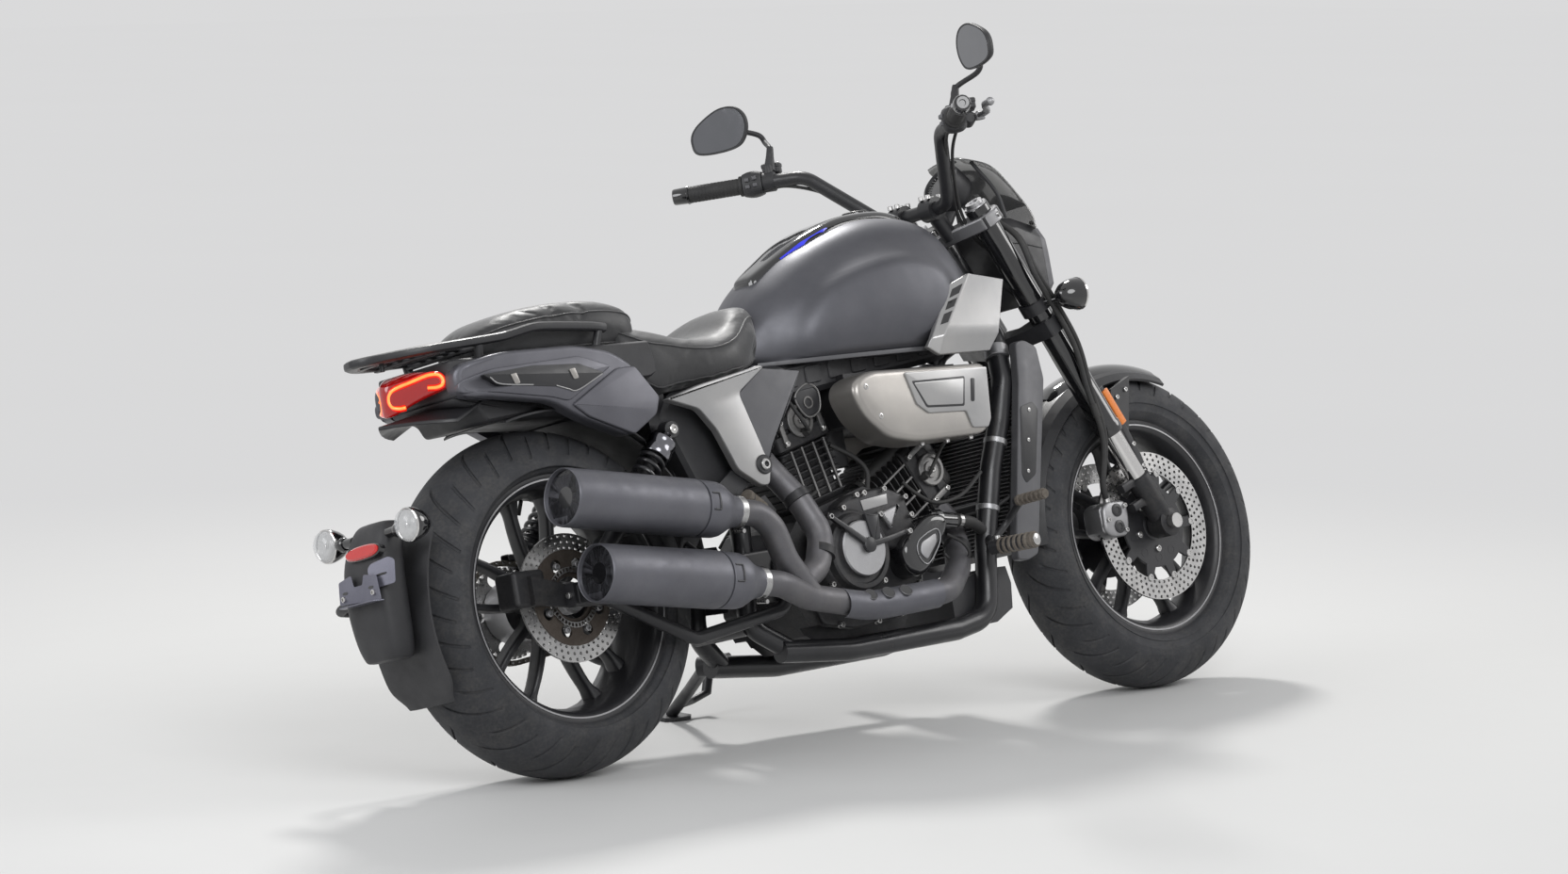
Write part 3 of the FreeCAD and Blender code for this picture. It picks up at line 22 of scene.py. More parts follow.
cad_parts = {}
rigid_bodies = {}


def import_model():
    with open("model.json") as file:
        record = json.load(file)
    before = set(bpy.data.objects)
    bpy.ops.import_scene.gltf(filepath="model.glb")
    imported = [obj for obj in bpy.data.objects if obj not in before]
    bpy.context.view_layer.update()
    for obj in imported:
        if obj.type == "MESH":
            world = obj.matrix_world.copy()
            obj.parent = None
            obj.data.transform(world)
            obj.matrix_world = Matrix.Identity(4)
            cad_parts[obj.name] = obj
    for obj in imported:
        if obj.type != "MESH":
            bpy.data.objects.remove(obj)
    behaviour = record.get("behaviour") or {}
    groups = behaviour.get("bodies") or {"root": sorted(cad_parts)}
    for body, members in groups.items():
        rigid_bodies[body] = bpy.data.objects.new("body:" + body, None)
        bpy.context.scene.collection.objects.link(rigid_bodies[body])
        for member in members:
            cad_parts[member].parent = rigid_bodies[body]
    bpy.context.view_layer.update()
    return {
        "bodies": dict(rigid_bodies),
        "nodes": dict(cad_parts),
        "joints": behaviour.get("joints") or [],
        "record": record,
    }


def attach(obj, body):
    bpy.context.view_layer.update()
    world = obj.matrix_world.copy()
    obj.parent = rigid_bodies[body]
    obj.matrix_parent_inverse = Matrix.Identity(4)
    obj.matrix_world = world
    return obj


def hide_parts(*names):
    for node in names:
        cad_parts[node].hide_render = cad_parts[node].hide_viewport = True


LOG = logging.getLogger("cruiser")
Array = np.ndarray
TAU = 2 * math.pi

RAKE = math.radians(28.7)
WHEELBASE = 1.565
REAR_R = 0.326
FRONT_R = 0.325
FORK_OFFSET = 0.044
FORK_HALF = 0.106


class Grain(Enum):
    """The fine relief of a finish."""

    SATIN = "satin"
    CAST = "cast"
    LEATHER = "leather"
    BRUSHED = "brushed"
    RUBBER = "rubber"
    SMOOTH = "smooth"


class Body(Enum):
    """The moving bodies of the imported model."""

    CHASSIS = "chassis"
    STEERING = "steering"
    FRONT_WHEEL = "front_wheel"
    REAR_WHEEL = "rear_wheel"
    STAND = "side_stand"
    CAP = "fuel_cap"


class Bike:
    """The upright frame of the bike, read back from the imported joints."""

    def __init__(self, record: dict) -> None:
        """Works out the frame.

        Args:
            record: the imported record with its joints.
        """
        joints = {j["name"]: j for j in record["behaviour"]["joints"]}
        side = Vector(joints["rear_wheel_spin"]["axis"]).normalized()
        steer = Vector(joints["steering_turn"]["axis"]).normalized()
        ahead = side.cross(steer).normalized()
        forward = math.cos(RAKE) * ahead - math.sin(RAKE) * steer
        up = math.sin(RAKE) * ahead + math.cos(RAKE) * steer
        axle = Vector(joints["rear_wheel_spin"]["pos_m"])
        self.turn = np.array([forward, side, up]).T
        self.origin = np.array(axle - up * REAR_R)

    def place(self, points: Array) -> Array:
        """Points of the upright frame, as points of the parked frame."""
        return points @ self.turn.T + self.origin

    def way(self, direction: Sequence[float]) -> Array:
        """A direction of the upright frame, in the parked frame."""
        return self.turn @ np.array(direction, float)


def vec(*values: float) -> Array:
    """A numpy vector of floats."""
    return np.array(values, float)


def unit(v: Array) -> Array:
    """A vector, or rows of vectors, at length one."""
    return v / np.maximum(np.linalg.norm(v, axis=-1, keepdims=True), 1e-12)


STEER_FOOT = vec(WHEELBASE - math.cos(RAKE) * FORK_OFFSET, 0, FRONT_R - math.sin(RAKE) * FORK_OFFSET)
STEER_UP = vec(-math.sin(RAKE), 0, math.cos(RAKE))
STEER_AHEAD = vec(math.cos(RAKE), 0, math.sin(RAKE))
SIDE = vec(0, 1, 0)


def on_leg(s: float, y: float = FORK_HALF, ahead: float = 0.0) -> Array:
    """A point s up a fork leg from the front axle, and ahead of it."""
    return STEER_FOOT + STEER_UP * s + STEER_AHEAD * (FORK_OFFSET + ahead) + SIDE * y


@dataclass
class Shell:
    """A mesh in the making: its points, and its faces as blocks of equal corner counts."""

    points: Array
    faces: list[Array] = field(default_factory=list)

    def moved(self, change: Callable[[Array], Array]) -> Shell:
        """The same shell with its points changed."""
        return Shell(change(self.points), self.faces)

    def mirrored(self) -> Shell:
        """The shell on the other side of the bike, with its faces turned to match."""
        return Shell(self.points * vec(1, -1, 1), [f[:, ::-1] for f in self.faces])


def join(shells: Iterable[Shell]) -> Shell:
    """Several shells as one."""
    shells = list(shells)
    starts = np.cumsum([0] + [len(s.points) for s in shells])
    faces = [f + start for s, start in zip(shells, starts) for f in s.faces]
    return Shell(np.concatenate([s.points for s in shells]), faces)


def both(shell: Shell) -> Shell:
    """A shell and its mirror image."""
    return join([shell, shell.mirrored()])


def grid(points: Array, wrap_u: bool = False, wrap_v: bool = False, caps: bool = False) -> Shell:
    """A surface over a grid of points: quads between neighbours, wrapped where the surface closes.

    Args:
        points: an array of shape (u, v, 3).
        wrap_u: whether the last row joins the first.
        wrap_v: whether the last column joins the first.
        caps: whether the first and last rows are closed by flat faces.
    Returns:
        The surface.
    """
    nu, nv = points.shape[:2]
    index = np.arange(nu * nv).reshape(nu, nv)
    iu = np.arange(nu if wrap_u else nu - 1)
    iv = np.arange(nv if wrap_v else nv - 1)
    a, b = np.meshgrid(iu, iv, indexing="ij")
    c, d = (a + 1) % nu, (b + 1) % nv
    quads = np.stack([index[a, b], index[c, b], index[c, d], index[a, d]], -1).reshape(-1, 4)
    faces = [quads]
    if caps:
        faces += [index[:1, ::-1], index[-1:, :]]
    return Shell(points.reshape(-1, 3), faces)


def smooth_line(points: Sequence[Sequence[float]], count: int, closed: bool = False) -> Array:
    """A centripetal Catmull-Rom curve through points, sampled evenly in its own parameter.

    Args:
        points: the points that the curve passes through.
        count: how many samples to take.
        closed: whether the curve comes back to its start.
    Returns:
        An array of shape (count, dimensions).
    """
    p = np.array(points, float)
    if closed:
        p = np.concatenate([p[-1:], p, p[:2]])
    else:
        p = np.concatenate([2 * p[:1] - p[1:2], p, 2 * p[-1:] - p[-2:-1]])
    spans = len(p) - 3
    t = np.linspace(0, spans, count, endpoint=not closed)
    i = np.minimum(t.astype(int), spans - 1)
    t = (t - i)[:, None]
    a, b, c, d = p[i], p[i + 1], p[i + 2], p[i + 3]
    return 0.5 * (2 * b + (c - a) * t + (2 * a - 5 * b + 4 * c - d) * t**2 + (3 * b - a - 3 * c + d) * t**3)


def rounded_loop(corners: Sequence[Sequence[float]], radius: float, steps: int = 4) -> Array:
    """A closed outline of flat corners with each corner rounded by a quadratic curve.

    Args:
        corners: (a, b) points in order.
        radius: how far along each side the rounding starts, in metres.
        steps: samples on each corner.
    Returns:
        An array of shape (corners * (steps + 1), 2).
    """
    p = np.array(corners, float)
    back, on = np.roll(p, 1, 0) - p, np.roll(p, -1, 0) - p
    room_back = np.minimum(radius, 0.45 * np.linalg.norm(back, axis=1))[:, None]
    room_on = np.minimum(radius, 0.45 * np.linalg.norm(on, axis=1))[:, None]
    start, end = p + unit(back) * room_back, p + unit(on) * room_on
    t = np.linspace(0, 1, steps + 1)[None, :, None]
    curve = (1 - t) ** 2 * start[:, None] + 2 * t * (1 - t) * p[:, None] + t**2 * end[:, None]
    return curve.reshape(-1, 2)


def frames_along(path: Array) -> tuple[Array, Array, Array]:
    """Axes carried along a path without twist: the tangent at each point, and two directions across it.

    Args:
        path: points, of shape (n, 3).
    Returns:
        Tangents and two crosswise directions, each of shape (n, 3).
    """
    tangent = unit(np.gradient(path, axis=0))
    first = vec(0, 0, 1) if abs(tangent[0, 2]) < 0.9 else vec(1, 0, 0)
    across = [unit(first - tangent[0] * (first @ tangent[0]))]
    for t in tangent[1:]:
        across.append(unit(across[-1] - t * (across[-1] @ t)))
    across = np.array(across)
    return tangent, across, np.cross(tangent, across)


def tube(path: Array, radius: float | Array, sides: int = 16, caps: bool = True) -> Shell:
    """A round bar: a circle of the given radius carried along a path.

    Args:
        path: points, of shape (n, 3).
        radius: one radius, or one for each point.
        sides: corners of the circle.
        caps: whether the ends are closed.
    Returns:
        The surface.
    """
    _, a, b = frames_along(path)
    turn = np.linspace(0, TAU, sides, endpoint=False)
    r = np.broadcast_to(np.asarray(radius, float), (len(path),))[:, None, None]
    ring = np.cos(turn)[None, :, None] * a[:, None] + np.sin(turn)[None, :, None] * b[:, None]
    return grid(path[:, None] + ring * r, wrap_v=True, caps=caps)


def bar(p: Sequence[float], q: Sequence[float], radius: float, sides: int = 20, soft: float = 0.0) -> Shell:
    """A straight round bar with softened ends.

    Args:
        p: one end.
        q: the other end.
        radius: its radius.
        sides: corners of the circle.
        soft: how far the ends are chamfered.
    Returns:
        The closed surface.
    """
    p, q = np.array(p, float), np.array(q, float)
    length = float(np.linalg.norm(q - p))
    profile = [(0, radius - soft), (soft, radius), (length - soft, radius), (length, radius - soft)]
    if soft <= 0:
        profile = [(0, radius), (length, radius)]
    return turned(profile, p, (q - p) / length, sides)


def turned(profile: Sequence[Sequence[float]], centre: Sequence[float], axis: Sequence[float] = (0, 1, 0),
           steps: int = 48, start: Sequence[float] | None = None, closed: bool = False) -> Shell:
    """A surface of revolution: each profile point is (distance along the axis, radius).

    Args:
        profile: the outline that is turned.
        centre: the axis passes here, at distance 0.
        axis: the axis' direction.
        steps: how many steps make the full turn.
        start: a direction across the axis where the turn starts.
        closed: whether the profile is a closed loop, which needs no end faces.
    Returns:
        The surface, with flat faces at open ends.
    """
    k = unit(np.array(axis, float))
    first = np.array(start, float) if start is not None else (vec(0, 0, 1) if abs(k[2]) < 0.9
                                                              else vec(1, 0, 0))
    a = unit(first - k * (first @ k))
    b = np.cross(k, a)
    pr = np.array(profile, float)
    t = np.linspace(0, TAU, steps, endpoint=False)
    ring = np.cos(t)[None, :, None] * a + np.sin(t)[None, :, None] * b
    points = np.array(centre, float) + pr[:, 0, None, None] * k + pr[:, 1, None, None] * ring
    return grid(points, wrap_u=closed, wrap_v=True, caps=not closed)


def plate(outline: Sequence[Sequence[float]], y0: float, y1: float, edge: float = 0.0015,
          place: Callable[[Array, Array], Array] | None = None) -> Shell:
    """A side-view outline given a thickness, with both its rims chamfered by moving them in towards the face.

    Args:
        outline: (x, z) points in order.
        y0: one face's place across the bike.
        y1: the other face's place.
        edge: the chamfer's size.
        place: turns outline points and a depth into points of space, the side view by default.
    Returns:
        The closed plate.
    """
    p = np.array(outline, float)
    on, back = unit(np.roll(p, -1, 0) - p), unit(p - np.roll(p, 1, 0))
    area = 0.5 * np.sum(p[:, 0] * np.roll(p[:, 1], -1) - np.roll(p[:, 0], -1) * p[:, 1])
    inward = unit(np.stack([-(on + back)[:, 1], (on + back)[:, 0]], -1)) * np.sign(area)
    low, high = min(y0, y1), max(y0, y1)
    edge = min(edge, 0.45 * (high - low))
    levels = [(low, edge), (low + edge, 0.0), (high - edge, 0.0),
              (high, edge)] if edge > 0 else [(low, 0), (high, 0)]
    rings = []
    for depth, inset in levels:
        q = p + inward * inset
        rings.append(place(q, np.full(len(q), depth)) if place
                     else np.stack([q[:, 0], np.full(len(q), depth), q[:, 1]], -1))
    return grid(np.array(rings), wrap_v=True, caps=True)


class Shop:
    """Turns shells into Blender objects with a finish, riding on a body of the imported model."""

    def __init__(self, bike: Bike, finishes: dict[str, bpy.types.Material], frame: dict) -> None:
        """Keeps what every piece needs.

        Args:
            bike: the upright frame.
            finishes: the materials by name.
        """
        self.bike = bike
        self.finishes = finishes
        self.frame = frame

    def add(self, name: str, shell: Shell, finish: str, body: Body, replaces: Sequence[str] = (),
            smooth: float = 35.0, slot: str | None = None, bevel: float = 0.0, subdivide: int = 0,
            parked: bool = False) -> bpy.types.Object:
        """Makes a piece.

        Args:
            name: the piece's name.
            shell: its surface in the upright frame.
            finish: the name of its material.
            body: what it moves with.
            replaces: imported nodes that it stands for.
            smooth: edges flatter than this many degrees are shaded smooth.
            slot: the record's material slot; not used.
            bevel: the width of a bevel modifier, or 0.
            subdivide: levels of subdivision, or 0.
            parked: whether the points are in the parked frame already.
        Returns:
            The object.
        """
        points = shell.points if parked else self.bike.place(shell.points)
        mesh = mesh_from(name, points, shell.faces)
        mesh.set_sharp_from_angle(angle=math.radians(smooth))
        obj = bpy.data.objects.new(name, mesh)
        bpy.context.scene.collection.objects.link(obj)
        obj.data.materials.append(self.finishes[finish])
        if bevel > 0:
            made = obj.modifiers.new("bevel", "BEVEL")
            made.width, made.segments = bevel, 2
            made.limit_method, made.angle_limit = "ANGLE", math.radians(30)
        if subdivide > 0:
            made = obj.modifiers.new("subdivide", "SUBSURF")
            made.levels = made.render_levels = subdivide
        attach(obj, body.value)
        if replaces:
            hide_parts(*replaces)
        LOG.info("piece %s: %d points", name, len(points))
        return obj

    def dress(self, node: str, finish: str) -> None:
        """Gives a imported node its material."""
        obj = self.frame["nodes"][node]
        obj.data.materials.clear()
        obj.data.materials.append(self.finishes[finish])


def mesh_from(name: str, points: Array, faces: list[Array]) -> bpy.types.Mesh:
    """A mesh with its faces turned outwards.

    Args:
        name: the mesh's name.
        points: its points.
        faces: blocks of faces with equal corner counts.
    Returns:
        The mesh.
    """
    mesh = bpy.data.meshes.new(name)
    corners = np.concatenate([f.ravel() for f in faces]).astype(np.int32)
    counts = np.concatenate([np.full(len(f), f.shape[1]) for f in faces]).astype(np.int32)
    starts = np.concatenate([[0], np.cumsum(counts)[:-1]]).astype(np.int32)
    mesh.vertices.add(len(points))
    mesh.vertices.foreach_set("co", points.astype(np.float32).ravel())
    mesh.loops.add(len(corners))
    mesh.loops.foreach_set("vertex_index", corners)
    mesh.polygons.add(len(counts))
    mesh.polygons.foreach_set("loop_start", starts)
    mesh.polygons.foreach_set("use_smooth", np.ones(len(counts), bool))
    mesh.update(calc_edges=True)
    work = bmesh.new()
    work.from_mesh(mesh)
    bmesh.ops.remove_doubles(work, verts=work.verts, dist=1e-6)
    bmesh.ops.recalc_face_normals(work, faces=work.faces)
    work.to_mesh(mesh)
    work.free()
    return mesh


class Sock:
    """A shader socket that can be written into expressions, each of which adds its Math node."""

    def __init__(self, make: "Maker", socket: bpy.types.NodeSocket) -> None:
        """Wraps a socket of the maker's tree."""
        self.make = make
        self.socket = socket

    def _math(self, operation: str, a: Sock | float, b: Sock | float) -> Sock:
        """The result of one Math node."""
        return self.make.node("ShaderNodeMath", {"operation": operation}, [a, b])

    def __add__(self, other: Sock | float) -> Sock:
        """Sum."""
        return self._math("ADD", self, other)

    __radd__ = __add__

    def __mul__(self, other: Sock | float) -> Sock:
        """Product."""
        return self._math("MULTIPLY", self, other)

    __rmul__ = __mul__

    def __sub__(self, other: Sock | float) -> Sock:
        """Difference."""
        return self._math("SUBTRACT", self, other)

    def __rsub__(self, other: Sock | float) -> Sock:
        """Difference from a number."""
        return self._math("SUBTRACT", other, self)

    def __truediv__(self, other: Sock | float) -> Sock:
        """Quotient."""
        return self._math("DIVIDE", self, other)

    def power(self, exponent: float) -> Sock:
        """This value raised to a power."""
        return self._math("POWER", self, exponent)

    def above(self, level: float) -> Sock:
        """1 where the value is above a level, else 0."""
        return self._math("GREATER_THAN", self, level)


class Maker:
    """Builds one node material."""

    def __init__(self, name: str) -> None:
        """Starts an empty material with its shader and output."""
        self.material = bpy.data.materials.new(name)
        self.material.use_nodes = True
        self.tree = self.material.node_tree
        self.tree.nodes.clear()
        self.shader = self.tree.nodes.new("ShaderNodeBsdfPrincipled")
        self.output = self.tree.nodes.new("ShaderNodeOutputMaterial")
        self.tree.links.new(self.shader.outputs["BSDF"], self.output.inputs["Surface"])

    def node(self, kind: str, settings: dict | None = None, inputs: dict | list | None = None,
             out: str | int = 0) -> Sock:
        """Adds a node.

        Args:
            kind: the node's type.
            settings: its own properties, set first.
            inputs: values or sockets by name or in order.
            out: which output to give back.
        Returns:
            The wrapped output.
        """
        made = self.tree.nodes.new(kind)
        for key, value in (settings or {}).items():
            if key == "stops":
                ramp = made.color_ramp
                while len(ramp.elements) < len(value):
                    ramp.elements.new(0.5)
                for element, (position, colour) in zip(ramp.elements, value):
                    element.position = position
                    element.color = (*colour, 1) if len(colour) == 3 else colour
            else:
                setattr(made, key, value)
        pairs = enumerate(inputs) if isinstance(inputs, list) else (inputs or {}).items()
        for key, value in pairs:
            self.put(made.inputs[key], value)
        return Sock(self, made.outputs[out])

    def put(self, socket: bpy.types.NodeSocket, value: "Sock | float | Sequence[float]") -> None:
        """Links a wrapped socket to an input, or sets the input's own value."""
        if isinstance(value, Sock):
            self.tree.links.new(value.socket, socket)
        else:
            socket.default_value = value

    def set(self, **inputs: "Sock | float | Sequence[float]") -> None:
        """Feeds the shader; underscores in the names stand for spaces."""
        for key, value in inputs.items():
            self.put(self.shader.inputs[key.replace("_", " ")], value)

    def place(self, scale: Sequence[float] = (1, 1, 1), centre: Sequence[float] = (0, 0, 0),
              turn: Sequence[float] = (0, 0, 0)) -> Sock:
        """Object coordinates, moved, turned and scaled."""
        where = self.node("ShaderNodeTexCoord", out="Object")
        return self.node("ShaderNodeMapping", {"vector_type": "TEXTURE"},
                         {"Vector": where, "Location": centre, "Rotation": turn,
                          "Scale": [1 / s for s in scale]})

    def noise(self, scale: float, detail: float = 3.0, where: Sock | None = None,
              rough: float = 0.55) -> Sock:
        """Fractal noise from 0 to 1, about 0.5."""
        where = where or self.place()
        return self.node("ShaderNodeTexNoise", {"noise_dimensions": "3D"},
                         {"Vector": where, "Scale": scale, "Detail": detail, "Roughness": rough})

    def cells(self, scale: float, where: Sock | None = None, feature: str = "F1",
              out: str = "Distance") -> Sock:
        """Voronoi cells."""
        return self.node("ShaderNodeTexVoronoi", {"feature": feature},
                         {"Vector": where or self.place(), "Scale": scale}, out)

    def span(self, value: Sock, low: float, high: float, to_low: float = 0.0, to_high: float = 1.0) -> Sock:
        """A value carried from one range to another, held within it."""
        return self.node("ShaderNodeMapRange", {"clamp": True},
                         {"Value": value, "From Min": low, "From Max": high, "To Min": to_low,
                          "To Max": to_high})

    def blend(self, share: Sock | float, a: "Sock | Sequence[float]", b: "Sock | Sequence[float]") -> Sock:
        """Two colours mixed."""
        made = self.tree.nodes.new("ShaderNodeMix")
        made.data_type = "RGBA"
        self.put(made.inputs[0], share)
        for key, value in ((6, a), (7, b)):
            self.put(made.inputs[key], value if isinstance(value, Sock) else (*value, 1))
        return Sock(self, made.outputs[2])

    def bump(self, height: Sock, distance: float, strength: float = 1.0) -> None:
        """Feeds a height to the shader's normal, on top of a bump that is there."""
        inputs = {"Height": height, "Distance": distance, "Strength": strength}
        if self.shader.inputs["Normal"].is_linked:
            inputs["Normal"] = Sock(self, self.shader.inputs["Normal"].links[0].from_socket)
        self.set(Normal=self.node("ShaderNodeBump", None, inputs))


@dataclass(frozen=True)
class Finish:
    """A surface finish: its colours, gloss, fine relief and how dusty it has become."""

    colour: tuple[float, float, float]
    second: tuple[float, float, float] | None = None
    metallic: float = 0.0
    roughness: float = 0.5
    vary: float = 0.08
    grain: Grain = Grain.SATIN
    scale: float = 900.0
    depth: float = 0.00006
    coat: float = 0.0
    coat_rough: float = 0.1
    sheen: float = 0.0
    dust: float = 0.0

    def make(self, name: str) -> bpy.types.Material:
        """Builds the material.

        Args:
            name: its name.
        Returns:
            The material, with noise in its colour, roughness and relief.
        """
        m = Maker(name)
        second = self.second or tuple(min(1.0, c * 1.35 + 0.004) for c in self.colour)
        broad = m.noise(9.0, 4)
        fine = m.noise(self.scale * 0.35, 2)
        share = m.span(broad * 0.7 + fine * 0.3, 0.35, 0.68)
        colour = m.blend(share, self.colour, second)
        if self.dust > 0:
            speck = m.span(m.noise(160.0, 5) * m.noise(24.0, 3), 0.2, 0.42, 0.0, self.dust)
            colour = m.blend(speck, colour, (0.24, 0.22, 0.19))
        rough = m.span(m.noise(38.0, 5), 0.3, 0.7, max(0.03, self.roughness - self.vary),
                       min(1.0, self.roughness + self.vary))
        m.set(Base_Color=colour, Metallic=self.metallic, Roughness=rough, Coat_Weight=self.coat,
              Coat_Roughness=self.coat_rough, Sheen_Weight=self.sheen)
        self.relief(m)
        return m.material

    def relief(self, m: Maker) -> None:
        """Adds the fine relief of this finish's grain."""
        if self.grain is Grain.LEATHER:
            m.bump(m.cells(self.scale, feature="DISTANCE_TO_EDGE"), self.depth * 4, 0.7)
            m.bump(m.noise(self.scale * 0.1, 4), self.depth * 6, 0.5)
        elif self.grain is Grain.BRUSHED:
            m.bump(m.noise(self.scale, 2, m.place(scale=(1, 14, 14))), self.depth, 0.5)
        elif self.grain is Grain.CAST:
            m.bump(m.noise(self.scale, 4, rough=0.7), self.depth * 2.5, 0.8)
        elif self.grain is Grain.RUBBER:
            m.bump(m.noise(self.scale, 5), self.depth * 1.5, 0.6)
        elif self.grain is Grain.SATIN:
            m.bump(m.noise(self.scale, 2), self.depth, 0.35)


def finishes() -> dict[str, bpy.types.Material]:
    """Every plain finish of the bike, by name."""
    table = {"tyre": Finish((0.020, 0.021, 0.024), (0.040, 0.041, 0.046), roughness=0.72, grain=Grain.RUBBER,
                            scale=700, dust=0.10),
             "black_frame": Finish((0.012, 0.012, 0.014), (0.022, 0.022, 0.025), metallic=0.25,
                                   roughness=0.34, coat=0.35, coat_rough=0.2),
             "black_satin": Finish((0.014, 0.014, 0.016), roughness=0.42, grain=Grain.CAST, scale=1300,
                                   depth=0.00004, coat=0.1),
             "black_cast": Finish((0.018, 0.018, 0.020), (0.035, 0.035, 0.038), metallic=0.4, roughness=0.46,
                                  grain=Grain.CAST, scale=1500, dust=0.08),
             "black_gloss": Finish((0.006, 0.006, 0.007), roughness=0.12, vary=0.03, coat=1.0,
                                   coat_rough=0.03, grain=Grain.SMOOTH),
             "tank_paint": Finish((0.082, 0.083, 0.095), (0.112, 0.113, 0.127), metallic=0.62,
                                  roughness=0.47, vary=0.03, scale=2600, depth=0.00002, coat=0.15,
                                  coat_rough=0.35),
             "tail_paint": Finish((0.092, 0.092, 0.106), (0.13, 0.13, 0.148), metallic=0.6,
                                  roughness=0.42, vary=0.03, scale=2600, depth=0.00002, coat=0.15,
                                  coat_rough=0.35),
             "silver": Finish((0.34, 0.34, 0.345), (0.42, 0.415, 0.41), metallic=0.7, roughness=0.36,
                              vary=0.03, scale=2600, depth=0.00002, coat=0.2, coat_rough=0.3),
             "champagne": Finish((0.33, 0.315, 0.30), (0.41, 0.39, 0.365), metallic=0.72, roughness=0.34,
                                 vary=0.03, scale=2600, depth=0.00002, coat=0.2, coat_rough=0.3),
             "steel": Finish((0.42, 0.42, 0.42), (0.58, 0.57, 0.56), metallic=1.0, roughness=0.28,
                             grain=Grain.BRUSHED, scale=1500, depth=0.00003),
             "chrome": Finish((0.62, 0.61, 0.60), (0.72, 0.71, 0.70), metallic=1.0, roughness=0.10,
                              vary=0.03, grain=Grain.SMOOTH),
             "dark_chrome": Finish((0.16, 0.16, 0.175), (0.24, 0.24, 0.26), metallic=1.0, roughness=0.16,
                                   vary=0.03, grain=Grain.SMOOTH),
             "zinc": Finish((0.16, 0.16, 0.20), (0.24, 0.24, 0.29), metallic=0.55, roughness=0.36,
                            scale=1800, depth=0.00003),
             "red_plain": Finish((0.55, 0.006, 0.005), (0.62, 0.012, 0.01), roughness=0.22, coat=1.0,
                                 coat_rough=0.05, grain=Grain.SMOOTH),
             "alloy": Finish((0.30, 0.30, 0.31), (0.40, 0.40, 0.41), metallic=0.9, roughness=0.42,
                             grain=Grain.CAST, scale=1800, dust=0.12),
             "exhaust": Finish((0.105, 0.106, 0.122), (0.150, 0.151, 0.170), metallic=0.55, roughness=0.47,
                               grain=Grain.CAST, scale=1900, depth=0.00004, dust=0.05),
             "header": Finish((0.105, 0.104, 0.114), (0.155, 0.151, 0.158), metallic=0.6, roughness=0.50,
                              grain=Grain.CAST, scale=1700, depth=0.00004, dust=0.12),
             "plastic": Finish((0.020, 0.020, 0.022), (0.034, 0.034, 0.037), roughness=0.52,
                               grain=Grain.CAST, scale=1900, depth=0.00005),
             "grey_plastic": Finish((0.095, 0.095, 0.102), (0.13, 0.13, 0.138), metallic=0.3, roughness=0.46,
                                    scale=2000, depth=0.00003),
             "leather": Finish((0.013, 0.013, 0.014), (0.026, 0.026, 0.028), roughness=0.44, vary=0.07,
                               grain=Grain.LEATHER, scale=620, sheen=0.25),
             "rubber": Finish((0.022, 0.022, 0.023), (0.035, 0.034, 0.033), roughness=0.66,
                              grain=Grain.RUBBER, scale=1200),
             "dusty_rubber": Finish((0.075, 0.062, 0.050), (0.14, 0.12, 0.10), roughness=0.8,
                                    grain=Grain.RUBBER, scale=600, dust=0.5),
             "chain": Finish((0.12, 0.11, 0.10), (0.26, 0.24, 0.21), metallic=0.9, roughness=0.45,
                             grain=Grain.CAST, scale=900, dust=0.25),
             "engine_grey": Finish((0.17, 0.17, 0.175), (0.26, 0.255, 0.25), metallic=0.75, roughness=0.42,
                                   grain=Grain.CAST, scale=1500, dust=0.1),
             "carrier": Finish((0.075, 0.060, 0.050), (0.13, 0.11, 0.095), metallic=0.6, roughness=0.48,
                               grain=Grain.CAST, scale=1500, dust=0.2),}
    made = {name: finish.make(name) for name, finish in table.items()}
    made.update(lamp_finishes())
    return made


def lamp_finishes() -> dict[str, bpy.types.Material]:
    """The clear, smoked, coloured and glowing finishes, by name."""
    made = {}
    for name, colour, rough, alpha in (("clear_lens", (0.80, 0.82, 0.84), 0.06, 0.38),
                                       ("smoked", (0.015, 0.016, 0.018), 0.08, 0.82),
                                       ("red_lens", (0.26, 0.002, 0.002), 0.10, 0.97),
                                       ("amber", (0.85, 0.22, 0.01), 0.25, 1.0),
                                       ("smoked_pale", (0.10, 0.095, 0.09), 0.10, 0.60),
                                       ("mirror_glass", (0.16, 0.165, 0.18), 0.03, 1.0)):
        m = Maker(name)
        speck = m.span(m.noise(60.0, 3), 0.3, 0.7, rough, rough + 0.05)
        tint = m.blend(m.noise(30.0, 2), colour, tuple(c * 0.85 for c in colour))
        m.set(Base_Color=tint, Roughness=speck, Alpha=alpha, Coat_Weight=1.0, Coat_Roughness=0.03,
              Metallic=1.0 if name == "mirror_glass" else 0.0)
        if name == "red_lens":
            m.set(Emission_Color=tint, Emission_Strength=0.55)
        made[name] = m.material
    for name, colour, strength in (("red_glow", (0.75, 0.012, 0.003), 1.0),
                                   ("red_core", (1.0, 0.20, 0.035), 2.2),
                                   ("blue_glow", (0.010, 0.018, 0.62), 0.9)):
        m = Maker(name)
        glow = m.blend(m.noise(90.0, 2), colour, tuple(c * 0.6 for c in colour))
        m.set(Base_Color=glow, Emission_Color=glow, Emission_Strength=strength, Roughness=0.2,
              Coat_Weight=1.0)
        made[name] = m.material
    return made


